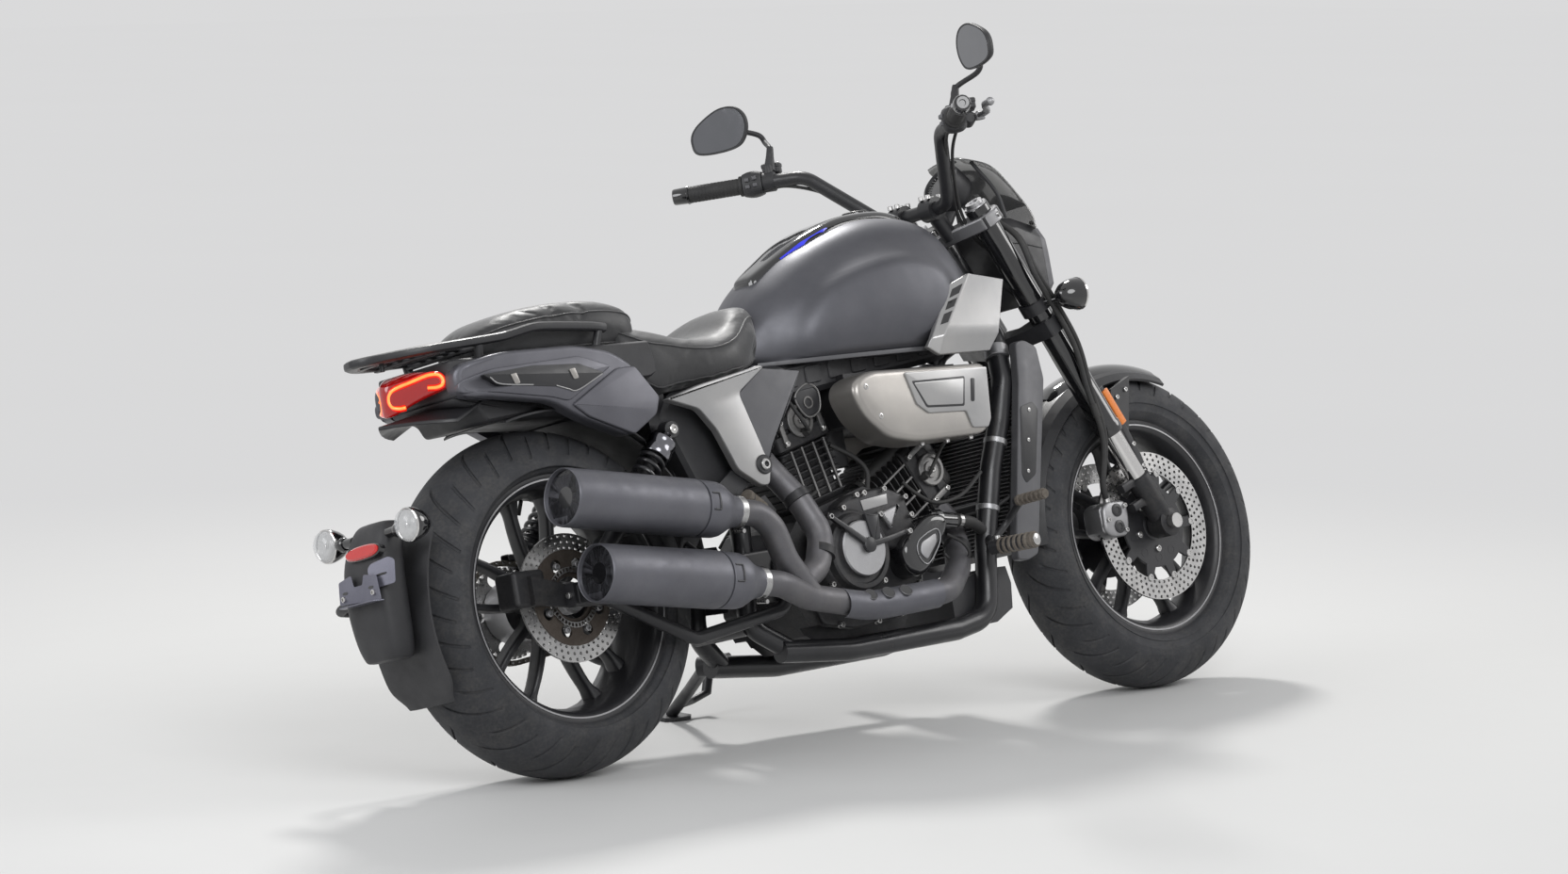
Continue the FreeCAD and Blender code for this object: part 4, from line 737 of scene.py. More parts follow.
@dataclass
class Studio:
    """The pale floor and sky, the soft lamps and the camera."""

    camera_at: tuple[float, float, float] = (-6.174, -7.386, 1.681)
    looks_at: tuple[float, float, float] = (0.5345, 0.0, 0.598)
    shift: tuple[float, float, float] = (-0.7252, -0.2751, 0.0)
    lens: float = 120.47
    roll: float = math.radians(-0.30)
    floor_half: float = 40.0
    floor_colour: tuple[float, float, float] = (0.68, 0.68, 0.675)
    far_grey: tuple[float, float, float] = (0.70, 0.70, 0.705)
    fade: tuple[float, float] = (1.7, 4.2)
    sky: float = 0.42

    def build(self) -> None:
        """Makes the floor, world, lamps and camera."""
        self.floor()
        self.world()
        self.lamps()
        self.camera()

    def camera(self) -> None:
        """The photograph's viewpoint, turned a little about its own line of sight."""
        eye = Vector(self.camera_at) + Vector(self.shift)
        ahead = (Vector(self.looks_at) + Vector(self.shift) - eye).normalized()
        right = ahead.cross(Vector((0, 0, 1))).normalized()
        up = right.cross(ahead)
        turned_right = right * math.cos(self.roll) + up * math.sin(self.roll)
        turned_up = up * math.cos(self.roll) - right * math.sin(self.roll)
        data = bpy.data.cameras.new("camera")
        data.lens, data.sensor_width, data.sensor_fit = self.lens, 36.0, "HORIZONTAL"
        data.clip_end = 200.0
        cam = bpy.data.objects.new("camera", data)
        cam.matrix_world = Matrix.Translation(eye) @ Matrix((turned_right, turned_up,
                                                             -ahead)).transposed().to_4x4()
        bpy.context.scene.collection.objects.link(cam)
        bpy.context.scene.camera = cam

    def floor(self) -> None:
        """A wide flat floor, which fades into the even grey of the backdrop."""
        steps = np.linspace(-self.floor_half, self.floor_half, 9)
        x, y = np.meshgrid(steps, steps, indexing="ij")
        shell = grid(np.stack([x, y, np.zeros_like(x)], -1))
        obj = bpy.data.objects.new("floor", mesh_from("floor", shell.points, shell.faces))
        bpy.context.scene.collection.objects.link(obj)
        m = Maker("floor")
        pale = tuple(c * 0.97 for c in self.floor_colour)
        m.set(Base_Color=m.blend(m.noise(0.6, 3), self.floor_colour, pale),
              Roughness=m.span(m.noise(3, 3), 0.3, 0.7, 0.5, 0.62), Specular_IOR_Level=0.25)
        self.paper(m)
        obj.data.materials.append(m.material)

    def paper(self, m: Maker) -> None:
        """Far from the bike, eyes, gloss and glass see the backdrop's even grey; near it the floor is lit."""
        spot = m.node("ShaderNodeSeparateXYZ", None, [m.place()], "X")
        depth = Sock(m, spot.socket.node.outputs["Y"])
        away = (spot * spot + depth * depth).power(0.5)
        path = m.node("ShaderNodeLightPath", out="Is Camera Ray")
        seen = path
        for ray in ("Is Glossy Ray", "Is Transmission Ray"):
            seen = seen + Sock(m, path.socket.node.outputs[ray])
        share = m.span(away, *self.fade) * m.span(seen, 0.0, 1.0)
        paper = m.tree.nodes.new("ShaderNodeEmission")
        m.put(paper.inputs["Color"], m.blend(m.noise(0.5, 2), self.far_grey,
                                             tuple(c * 0.985 for c in self.far_grey)))
        mix = m.tree.nodes.new("ShaderNodeMixShader")
        m.put(mix.inputs[0], share)
        m.tree.links.new(m.shader.outputs["BSDF"], mix.inputs[1])
        m.tree.links.new(paper.outputs["Emission"], mix.inputs[2])
        m.tree.links.new(mix.outputs["Shader"], m.output.inputs["Surface"])

    def world(self) -> None:
        """A soft sky that lights the bike, and that eyes, gloss and glass see as the backdrop's even grey."""
        world = bpy.data.worlds.new("studio")
        world.use_nodes = True
        bpy.context.scene.world = world
        tree = world.node_tree
        lit, out = tree.nodes["Background"], tree.nodes["World Output"]
        lit.inputs["Color"].default_value = (0.86, 0.87, 0.88, 1)
        lit.inputs["Strength"].default_value = self.sky
        seen = tree.nodes.new("ShaderNodeBackground")
        seen.inputs["Color"].default_value = (*self.far_grey, 1)
        path, mix = tree.nodes.new("ShaderNodeLightPath"), tree.nodes.new("ShaderNodeMixShader")
        total = path.outputs["Is Camera Ray"]
        for ray in ("Is Glossy Ray", "Is Transmission Ray"):
            add = tree.nodes.new("ShaderNodeMath")
            add.use_clamp = True
            tree.links.new(total, add.inputs[0])
            tree.links.new(path.outputs[ray], add.inputs[1])
            total = add.outputs[0]
        tree.links.new(total, mix.inputs[0])
        tree.links.new(lit.outputs["Background"], mix.inputs[1])
        tree.links.new(seen.outputs["Background"], mix.inputs[2])
        tree.links.new(mix.outputs["Shader"], out.inputs["Surface"])

    def lamps(self) -> None:
        """A large lamp high behind the bike throws its shadow forward, and soft ones light its near side."""
        for name, at, size, watts, colour in (
            ("key", (2.4, 3.6, 5.2), 1.0, 235.0, (1.0, 0.99, 0.97)),
            ("side", (-2.5, -5.5, 4.2), 4.0, 190.0, (0.98, 0.99, 1.0)),
            ("rear", (-5.5, 0.8, 3.0), 3.0, 100.0, (0.97, 0.98, 1.0)),
            ("front", (4.5, -2.8, 3.4), 3.0, 90.0, (1.0, 0.99, 0.98)),
        ):
            data = bpy.data.lights.new(name, "AREA")
            data.shape, data.size, data.energy, data.color = "DISK", size, watts, colour
            lamp = bpy.data.objects.new(name, data)
            lamp.location = at
            lamp.rotation_mode = "QUATERNION"
            lamp.rotation_quaternion = (Vector((0, 0, 0.5)) - Vector(at)).to_track_quat("-Z", "Y")
            bpy.context.scene.collection.objects.link(lamp)


def mm(values: Sequence) -> Array:
    """Millimetres as metres."""
    return np.array(values, float) / 1000


def softstep(x: Array, low: float, high: float) -> Array:
    """3 t^2 - 2 t^3 with t running from 0 at low to 1 at high."""
    t = np.clip((x - low) / (high - low), 0, 1)
    return t * t * (3 - 2 * t)


def copies(shell: Shell, centre: Array, count: int, axis: Sequence[float] = (0, 1, 0),
           start: float = 0.0) -> Shell:
    """A shell repeated round an axis through a centre."""
    made = []
    for i in range(count):
        turn = np.array(Matrix.Rotation(start + TAU * i / count, 3, Vector(axis)))
        made.append(shell.moved(lambda p, m=turn: (p - centre) @ m.T + centre))
    return join(made)


def bolt(at: Sequence[float], axis: Sequence[float], r: float, height: float, sides: int = 14) -> Shell:
    """A socket-headed bolt: the profile of a chamfered head with a round recess, turned about its axis."""
    h = height
    profile = [(-0.4 * h, r), (0.8 * h, r), (h, 0.82 * r), (h, 0.52 * r), (0.4 * h, 0.48 * r),
               (0.4 * h, 0.001 * r)]
    return turned(profile, at, axis, sides)


def box_bar(path: Array, width: Array, depth: Array, across: Sequence[float] = (0, 1, 0), power: float = 5.0,
            sides: int = 20) -> Shell:
    """A bar of rounded box section: |a|^n + |b|^n = 1 scaled by a width and a depth at each point of a path.

    Args:
        path: points, of shape (n, 3).
        width: half the size in the path's plane, at each point.
        depth: half the size across it, at each point.
        across: the direction in which depth is measured.
        power: how square the section is.
        sides: its corners.
    Returns:
        The closed surface.
    """
    tangent = unit(np.gradient(path, axis=0))
    b = unit(np.array(across, float) - tangent * (tangent @ np.array(across, float))[:, None])
    a = np.cross(b, tangent)
    t = np.linspace(0, TAU, sides, endpoint=False) + TAU / (2 * sides)
    c, s = np.cos(t), np.sin(t)
    k = (np.abs(c) ** power + np.abs(s) ** power) ** (-1 / power)
    w = np.broadcast_to(width, (len(path),))[:, None, None]
    d = np.broadcast_to(depth, (len(path),))[:, None, None]
    ring = a[:, None] * (c * k)[None, :, None] * w + b[:, None] * (s * k)[None, :, None] * d
    return grid(path[:, None] + ring, wrap_v=True, caps=True)


def drilled(centre: Array, y0: float, y1: float, r0: float, r1: float, rows: int, columns: int, hole: float,
            skew: float = 0.36) -> Shell:
    """A flat ring full of holes, as cells in angle and radius, each with a hole at its middle.

    Args:
        centre: the wheel's centre.
        y0: one face.
        y1: the other face.
        r0: inner radius.
        r1: outer radius.
        rows: cells from inside to outside.
        columns: cells round the ring.
        hole: the holes' radius.
        skew: how far each row is shifted from the last, in cells.
    Returns:
        The closed ring.
    """
    k = 16
    t = np.arange(k) * TAU / k
    c, s = np.cos(t), np.sin(t)
    u, v = c / np.maximum(abs(c), abs(s)), s / np.maximum(abs(c), abs(s))
    i, j = np.meshgrid(np.arange(rows), np.arange(columns), indexing="ij")
    i, j = i[..., None], j[..., None]
    h, step = (r1 - r0) / rows, TAU / columns
    mid = r0 + (i + 0.5) * h
    edge_r, edge_t = mid + v * h / 2, (j + 0.5 + u / 2 + skew * (i + 0.5 + v / 2)) * step
    hole_r, hole_t = mid + s * hole, (j + 0.5 + skew * (i + 0.5)) * step + c * hole / mid
    radius, turn = np.stack([edge_r, hole_r], 2), np.stack([edge_t, hole_t], 2)
    flat = np.stack([radius * np.cos(turn), np.zeros_like(radius), radius * np.sin(turn)], -1)
    points = centre + np.stack([flat + vec(0, y0, 0), flat + vec(0, y1, 0)], 2)
    index = np.arange(points[..., 0].size).reshape(points.shape[:-1])
    on = np.roll(index, -1, -1)
    faces = [np.stack([index[:, :, f, 0], on[:, :, f, 0], on[:, :, f, 1], index[:, :, f, 1]],
                      -1).reshape(-1, 4) for f in (0, 1)]
    faces.append(np.stack([index[:, :, 0, 1], on[:, :, 0, 1], on[:, :, 1, 1], index[:, :, 1, 1]],
                          -1).reshape(-1, 4))
    for row, side in ((0, -1), (rows - 1, 1)):
        rim = np.nonzero((np.round(v, 6) == side) & (np.round(np.roll(v, -1), 6) == side))[0]
        faces.append(np.stack([index[row][:, 0, 0][:, rim], on[row][:, 0, 0][:, rim],
                               on[row][:, 1, 0][:, rim], index[row][:, 1, 0][:, rim]], -1).reshape(-1, 4))
    return Shell(points.reshape(-1, 3), faces)


@dataclass(frozen=True)
class WheelSize:
    """The sizes of one wheel, in metres."""

    centre: tuple[float, float, float]
    half_width: float
    radius: float
    crown: float
    rim_radius: float
    rim_half: float
    pitches: int


@dataclass
class Wheels:
    """Both wheels: tyres with cut treads, cast rims with five pairs of spokes, drilled discs."""

    shop: Shop
    rear: WheelSize = WheelSize((0, 0, REAR_R), 0.098, REAR_R, 0.068, 0.229, 0.079, 19)
    front: WheelSize = WheelSize((WHEELBASE, 0, FRONT_R), 0.074, FRONT_R, 0.057, 0.218, 0.052, 21)
    groove: float = 0.0042
    groove_half: float = 0.0034
    groove_soft: float = 0.0011
    groove_reach: float = 0.115
    rows: int = 76
    pairs: int = 5

    def build(self) -> None:
        """Makes both wheels."""
        for name, size, body in (("rear", self.rear, Body.REAR_WHEEL),
                                 ("front", self.front, Body.FRONT_WHEEL)):
            self.tyre(name, size, body)
            self.rim(name, size, body)
        self.rear_disc()
        self.front_discs()

    def tyre(self, name: str, size: WheelSize, body: Body) -> None:
        """A tyre. Its crown is an arc, its sidewalls bulge, and its grooves follow R*theta = reach*sqrt(s/S).

        The grid is sheared along that curve, so that each groove's edges run along the grid's own lines.

        Args:
            name: rear or front.
            size: its sizes.
            body: what it moves with.
        """
        h, w, r = size.crown, size.half_width, size.radius
        rho = (h * h + w * w) / (2 * h)
        a = np.linspace(-1, 1, self.rows) * math.asin(w / rho)
        arc = rho * a
        side = smooth_line([(w, r - h), (w + 0.001, r - h - 0.008), (w + 0.0012, r - h - 0.012),
                            (w - 0.0012, r - h - 0.013), (w - 0.003, size.rim_radius + 0.022),
                            (w - 0.002, size.rim_radius + 0.020),
                            (size.rim_half + 0.010, size.rim_radius + 0.008),
                            (size.rim_half + 0.001, size.rim_radius + 0.003),
                            (size.rim_half - 0.004, size.rim_radius - 0.007)], 26)[1:]
        across = np.concatenate([-side[::-1, 0], rho * np.sin(a), side[:, 0]])
        height = np.concatenate([side[::-1, 1], r - rho + rho * np.cos(a), side[:, 1]])
        s = np.concatenate([np.full(len(side), arc[0]), arc, np.full(len(side), arc[-1])])
        full = arc[-1]
        shear = self.groove_reach * np.sqrt(np.abs(s) / full) / r
        per_metre = size.pitches / (TAU * r)
        half, soft = self.groove_half * per_metre, self.groove_soft * per_metre
        marks = [(0.0, 0, 0), (0.09, 0, 0), (0.17, 0, 0)]
        for group, middle in ((0, 0.25), (1, 0.75)):
            marks += [(middle - half - soft, group, 0), (middle - half, group, 1), (middle + half, group, 1),
                      (middle + half + soft, group, 0), (middle + 0.09, group, 0), (middle + 0.17, group, 0)]
            marks += [(middle + 0.25, group, 0), (middle + 0.33, group, 0),
                      (middle + 0.41, group, 0)] if group == 0 else []
        marks = sorted(marks)
        place, group, cut = (np.tile(np.array(m, float), size.pitches) for m in zip(*marks))
        theta = (np.repeat(np.arange(size.pitches), len(marks)) + place) * TAU / size.pitches
        share = np.abs(s) / full
        long = softstep(share, 0.07, 0.13) * (1 - softstep(share, 0.76, 0.84))
        short = softstep(share, 0.40, 0.47) * (1 - softstep(share, 0.86, 0.93))
        right = (s > 0)[None, :] == (group < 0.5)[:, None]
        on_crown = np.concatenate([np.zeros(len(side)), np.ones(len(a)), np.zeros(len(side))])
        depth = cut[:, None] * np.where(right, long, short) * on_crown
        radius = height - self.groove * depth
        turn = theta[:, None] + shear
        points = np.stack([radius * np.cos(turn), np.broadcast_to(across, radius.shape),
                           radius * np.sin(turn)], -1)
        shell = grid(points + vec(*size.centre), wrap_u=True, wrap_v=True)
        obj = self.shop.add(f"{name}_tyre_tread", shell, "tyre", body, [f"{name}_tyre"], 38, "tyre")
        mark = obj.data.attributes.new("tread", "FLOAT", "POINT")
        mark.data.foreach_set("value", (on_crown * (1 - depth)).astype(np.float32).ravel())

    def rim(self, name: str, size: WheelSize, body: Body) -> None:
        """A cast rim: a turned barrel, five pairs of box-section spokes and a turned hub.

        Args:
            name: rear or front.
            size: its sizes.
            body: what it moves with.
        """
        c, r, w = vec(*size.centre), size.rim_radius, size.rim_half
        outer = [(-w - 0.003, r + 0.001), (-w - 0.0025, r + 0.006), (-w, r + 0.0075),
                 (-w + 0.004, r + 0.006), (-w + 0.006, r - 0.007), (-0.6 * w, r - 0.014),
                 (-0.35 * w, r - 0.022)]
        inner = [(-0.35 * w, r - 0.029), (-0.6 * w, r - 0.023), (-w + 0.006, r - 0.016),
                 (-w - 0.001, r - 0.010)]
        profile = outer + [(-y, q) for y, q in outer[::-1]] + [(-y, q) for y, q in inner[::-1]] + inner
        barrel = turned(profile, c, steps=120, closed=True)
        twist = math.radians(90)
        spokes = []
        for i in range(self.pairs):
            for way in (-1, 1):
                middle = twist + TAU * i / self.pairs
                t = np.linspace(0, 1, 16)
                radius = 0.036 + (r - 0.027 - 0.036) * t
                turn = middle + way * (0.30 - 0.085 * t + 0.03 * np.sin(math.pi * t))
                path = c + np.stack([radius * np.cos(turn), np.zeros(16), radius * np.sin(turn)], -1)
                flare = 0.007 * (softstep(t, 0.82, 1.0) + 1 - softstep(t, 0.0, 0.15))
                spokes.append(box_bar(path, 0.0085 - 0.0015 * t + flare, 0.020 - 0.004 * t + flare * 0.6,
                                      power=4))
        hub = turned(mm([(-66, 22), (-66, 30), (-60, 34), (-44, 36), (-30, 33), (30, 33), (44, 36), (60, 34),
                         (66, 30), (66, 22)]), c, closed=True)
        self.shop.add(f"{name}_cast_rim", join([barrel, hub] + spokes), "black_satin", body, [f"{name}_rim"],
                      40, "black_metal")
        line = turned([(-w - 0.0034, r - 0.0035), (-w - 0.0034, r - 0.0065), (-w - 0.0028, r - 0.0065),
                       (-w - 0.0028, r - 0.0035)], c, steps=120, closed=True)
        self.shop.add(f"{name}_rim_line", line, "alloy", body)
        valve = bar(c + mm([0, 12, 0]) + vec(0, 0, r - 0.030), c + mm([0, 26, 0]) + vec(0, 0, r - 0.055),
                    0.004)
        self.shop.add(f"{name}_valve", valve, "rubber", body)

    def rear_disc(self) -> None:
        """The rear wheel's disc: a drilled band on a brown carrier with windows, a toothed ring and bolts."""
        c = vec(*self.rear.centre)
        band = drilled(c, -0.0845, -0.0795, 0.0885, 0.121, 3, 44, 0.0030)
        self.shop.add("rear_disc_band", band, "steel", Body.REAR_WHEEL, ["rear_disc"], 30, "bare_steel")
        carrier = drilled(c, -0.0865, -0.080, 0.040, 0.0905, 1, 8, 0.0125, 0)
        self.shop.add("rear_disc_carrier", carrier, "carrier", Body.REAR_WHEEL)
        teeth = copies(Shell(*_block(c + mm([52, -90, 0]), mm([4.5, 1.4, 1.7]))), c, 40)
        ring = turned(mm([(-91.5, 47), (-88.6, 47), (-88.6, 49), (-91.5, 49)]), c, closed=True)
        outer = turned(mm([(-91.5, 55.5), (-88.6, 55.5), (-88.6, 57), (-91.5, 57)]), c, closed=True)
        self.shop.add("rear_tone_ring", join([teeth, ring, outer]), "steel", Body.REAR_WHEEL)
        bolts = copies(bolt(c + mm([64, -86.5, 0]), (0, -1, 0), 0.0065, 0.005), c, 8, start=0.39)
        self.shop.add("rear_disc_bolts", bolts, "alloy", Body.REAR_WHEEL)
        cap = turned(mm([(-66, 30), (-86, 30), (-88, 28), (-96, 26), (-96, 14)]), c)
        drum = turned(mm([(40, 34), (40, 60), (106, 58), (108, 56), (108, 14)]), c, steps=64)
        self.shop.add("rear_hub_ends", join([cap, drum]), "alloy", Body.REAR_WHEEL)

    def front_discs(self) -> None:
        """The front wheel's two discs: drilled bands, arms to the hub, and floating buttons between."""
        c = vec(*self.front.centre)
        band = drilled(c, 0.0685, 0.0735, 0.112, 0.153, 4, 54, 0.0031)
        self.shop.add("front_disc_bands", both(band), "steel", Body.FRONT_WHEEL, ["front_discs"], 30,
                      "bare_steel")
        turn = np.linspace(0, TAU, 180, endpoint=False)
        lobe = 0.086 + 0.026 * softstep(np.cos(turn * 10), 0.1, 0.75)
        star = np.stack([lobe * np.cos(turn), lobe * np.sin(turn)], -1)
        carrier = plate(star, 0.0675, 0.0745, 0.0012, lambda q, y: c + np.stack([q[:, 0], y, q[:, 1]], -1))
        windows = [turned(mm([(67.2, 8), (67.2, 9.5), (74.8, 9.5), (74.8, 8)]), c + mm([66, 0, 0]), steps=20,
                          closed=True)]
        ringed = copies(join(windows), c, 10, start=0.314)
        self.shop.add("front_disc_carriers", both(join([carrier, ringed])), "black_satin", Body.FRONT_WHEEL)
        button = turned(mm([(66.4, 0.01), (66.4, 7.5), (67.5, 8.2), (74.5, 8.2), (76, 7.2), (76, 4),
                            (75, 3.8), (75, 0.01)]), c + mm([111, 0, 0]), steps=18)
        self.shop.add("front_disc_buttons", both(copies(button, c, 10)), "steel", Body.FRONT_WHEEL)
        bolts = copies(bolt(c + mm([48, 74.5, 0]), (0, 1, 0), 0.007, 0.005), c, 5, start=0.3)
        self.shop.add("front_disc_bolts", both(bolts), "steel", Body.FRONT_WHEEL)
        cap = turned(mm([(66, 30), (74, 30), (76, 26), (78, 18)]), c)
        self.shop.add("front_hub_ends", both(cap), "black_satin", Body.FRONT_WHEEL)


def _block(centre: Array, half: Array) -> tuple[Array, list[Array]]:
    """The points and faces of a box."""
    corner = np.array([(x, y, z) for x in (-1, 1) for y in (-1, 1) for z in (-1, 1)], float) * half + centre
    return corner, [np.array([(0, 1, 3, 2), (4, 6, 7, 5), (0, 4, 5, 1), (2, 3, 7, 6), (0, 2, 6, 4),
                              (1, 5, 7, 3)])]


def slab(surface: Array, offset: Sequence[float]) -> Shell:
    """A grid of points given a thickness: the grid, its copy moved by an offset, and a wall round the edge.

    Args:
        surface: the outer face, of shape (u, v, 3).
        offset: from the outer to the inner face.
    Returns:
        The closed surface.
    """
    nu, nv = surface.shape[:2]
    index, count = np.arange(nu * nv).reshape(nu, nv), nu * nv
    front = grid(surface).faces[0]
    ring = np.concatenate([index[:, 0], index[-1, 1:], index[-2::-1, -1], index[0, -2:0:-1]])
    on = np.roll(ring, -1)
    points = np.concatenate([surface.reshape(-1, 3), (surface + np.array(offset)).reshape(-1, 3)])
    return Shell(points, [front, front[:, ::-1] + count, np.stack([ring, on, on + count, ring + count], -1)])


def net(rows: Sequence, nu: int, nv: int) -> Array:
    """Control points in millimetres, with nu and nv straight steps between neighbours: P = sum of hats."""
    p = mm(rows)
    for axis, steps in ((0, nu), (1, nv)):
        spans = p.shape[axis] - 1
        t = np.linspace(0, spans, spans * steps + 1)
        i = np.minimum(t.astype(int), spans - 1)
        share = (t - i).reshape([-1 if a == axis else 1 for a in range(3)])
        p = np.take(p, i, axis) * (1 - share) + np.take(p, i + 1, axis) * share
    return p


def raised(outline: Sequence, y0: float, y1: float, edge: float, corner: float = 8.0,
           steps: int = 3) -> Shell:
    """A side-view plate in millimetres whose outer rim is rounded: inset e(1 - cos a) at depth e sin a.

    Args:
        outline: (x, z) corners.
        y0: its inner face.
        y1: its outer face, further from the middle of the bike.
        edge: the rim's radius.
        corner: how far the outline's corners are rounded.
        steps: steps of the rim's curve.
    Returns:
        The closed plate, on the side of its y values.
    """
    p = rounded_loop(mm(outline), corner / 1000, 5)
    on, back = unit(np.roll(p, -1, 0) - p), unit(p - np.roll(p, 1, 0))
    area = np.sum(p[:, 0] * np.roll(p[:, 1], -1) - np.roll(p[:, 0], -1) * p[:, 1])
    inward = unit(np.stack([-(on + back)[:, 1], (on + back)[:, 0]], -1)) * np.sign(area)
    way = math.copysign(1.0, y1 - y0)
    a = np.linspace(0, math.pi / 2, steps + 1)
    levels = [(y0, 0.0)] + [(y1 - way * edge * (1 - math.sin(t)), edge * (1 - math.cos(t))) for t in a]
    rings = [np.stack([(p + inward * i / 1000)[:, 0], np.full(len(p), y / 1000),
                       (p + inward * i / 1000)[:, 1]], -1) for y, i in levels]
    return grid(np.array(rings), wrap_v=True, caps=True)


def section_loft(sections: Sequence, profile: Callable[[Array], Array], count: int) -> Array:
    """Closed sections along the bike: each column of sizes is a smooth curve of x, and profile makes a loop.

    Args:
        sections: rows of (x, sizes...) in millimetres.
        profile: gives a loop of (y, z) for one row of sizes.
        count: how many sections to make.
    Returns:
        Points of shape (count, loop, 3).
    """
    rows = smooth_line(mm(sections), count)
    loops = np.array([profile(row[1:]) for row in rows])
    return np.concatenate([np.broadcast_to(rows[:, None, :1], loops.shape[:2] + (1,)), loops], -1)


def mirrored_loop(half: Array, count: int) -> Array:
    """A smooth closed loop from a half outline of (y, z) that starts and ends on the middle plane."""
    line = smooth_line(half, count)
    return np.concatenate([line, line[-2:0:-1] * vec(-1, 1)])


@dataclass
class Bodywork:
    """Tank, console, scoops, air covers, side covers, radiator panels, tail and lamp."""

    shop: Shop
    tank_rows: int = 110
    tank_loop: int = 56

    def build(self) -> None:
        """Makes every body panel."""
        self.tank()
        self.console()
        self.scoops()
        self.air_covers()
        self.side_covers()
        self.radiator()
        self.tail()
        self.lamp()

    def tank(self) -> None:
        """The tank: smooth sections whose flanks bulge by a raised field q = ((x-a)/l)^2 + ((z-b)/h)^2."""
        sections = [(560, 726, 824, 62, 72, 38), (600, 724, 868, 86, 98, 50), (640, 722, 902, 106, 122, 60),
                    (700, 720, 940, 126, 145, 72), (760, 720, 966, 138, 160, 82),
                    (820, 720, 987, 146, 172, 90), (880, 720, 1002, 152, 179, 95),
                    (940, 721, 1007, 152, 182, 97), (1000, 722, 1005, 150, 183, 95),
                    (1040, 724, 996, 144, 178, 92), (1070, 727, 979, 136, 168, 86),
                    (1106, 734, 930, 118, 144, 70), (1138, 750, 868, 88, 110, 54)]

        def loop(size: Array) -> Array:
            """A section of the tank: flat below, widest under mid height, rounded over the top."""
            low, high, a, b, c = size
            h = high - low
            return mirrored_loop([(0, low), (a * 0.9, low), (a, low + 0.004), (b * 0.97, low + 0.15 * h),
                                  (b, low + 0.36 * h), (b * 0.93, low + 0.60 * h),
                                  (b * 0.74, low + 0.79 * h), (c, low + 0.925 * h), (c * 0.5, high - 0.003),
                                  (0, high)], self.tank_loop)

        p = section_loft(sections, loop, self.tank_rows)
        x, y, z = p[..., 0], p[..., 1], p[..., 2]
        q = ((x - 0.832) / 0.185) ** 2 + ((z - 0.800 - 0.20 * (x - 0.832)) / 0.105) ** 2
        flank = softstep(np.abs(y), 0.055, 0.115) * softstep(z, 0.722, 0.735)
        dip = 0.0060 * softstep(q, 0.85, 1.3) * (1 - softstep(q, 1.5, 2.6))
        swell = 0.0065 * (1 - softstep(q, 0.70, 1.15)) - dip
        p[..., 1] = y + np.sign(y) * swell * flank
        self.shop.add("tank_shell", grid(p, wrap_v=True, caps=True), "tank_paint", Body.CHASSIS,
                      ["fuel_tank"], 60, "tank_paint")
        low = smooth_line(mm([(566, 74, 727), (640, 112, 724), (760, 141, 722), (880, 156, 721),
                              (1000, 154, 722), (1070, 138, 728)]), 60)
        trim = box_bar(low, 0.0045, 0.0032, (0, 1, 0))
        self.shop.add("tank_seam", both(trim), "grey_plastic", Body.CHASSIS)

    def console(self) -> None:
        """The gloss strip on the tank: an arch over each section, with a blue strip let into each side."""
        sections = [(628, 900, 24), (640, 914, 34), (700, 948, 45), (760, 979, 53), (820, 1001, 57),
                    (880, 1015, 57), (950, 1021, 54), (1000, 1019, 50), (1044, 1009, 42), (1052, 997, 30)]

        def loop(size: Array) -> Array:
            """A section of the console: an arch with turned-down edges."""
            top, w = size
            return mirrored_loop([(0, top - 0.034), (w * 0.92, top - 0.036), (w, top - 0.028),
                                  (w * 0.965, top - 0.012), (w * 0.74, top - 0.002), (0, top)], 26)

        p = section_loft(sections, loop, 70)
        self.shop.add("console_strip", grid(p, wrap_v=True, caps=True), "black_gloss", Body.CHASSIS,
                      ["tank_console"], 45, "gloss_black")
        place = mm(sections)
        x = mm(np.linspace(706, 832, 20))
        top, w = np.interp(x, place[:, 0], place[:, 1]), np.interp(x, place[:, 0], place[:, 2])
        share = np.linspace(0.04, 0.96, 5)[:, None]
        rows = np.stack([np.broadcast_to(x, (5, 20)) - 0.006 * (1 - share), w * (0.965 + 0.035 * share)
                         + 0.0008, top - 0.0125 - 0.0150 * share], -1)
        self.shop.add("console_light", both(slab(rows, mm([0, -2.5, 0]))), "blue_glow", Body.CHASSIS)
        ring = turned(mm([(6.2, 21), (7.0, 22), (7.0, 25), (6.2, 26)]), mm([960, 0, 1019]), (0, 0, 1),
                      closed=True)
        self.shop.add("cap_ring", ring, "steel", Body.CAP)
        lock = turned(mm([(6.2, 0.01), (6.2, 8), (7.4, 7), (7.4, 2), (6.6, 2), (6.6, 0.01)]),
                      mm([960, 0, 1019]), (0, 0, 1))
        self.shop.add("cap_lock", lock, "steel", Body.CAP)

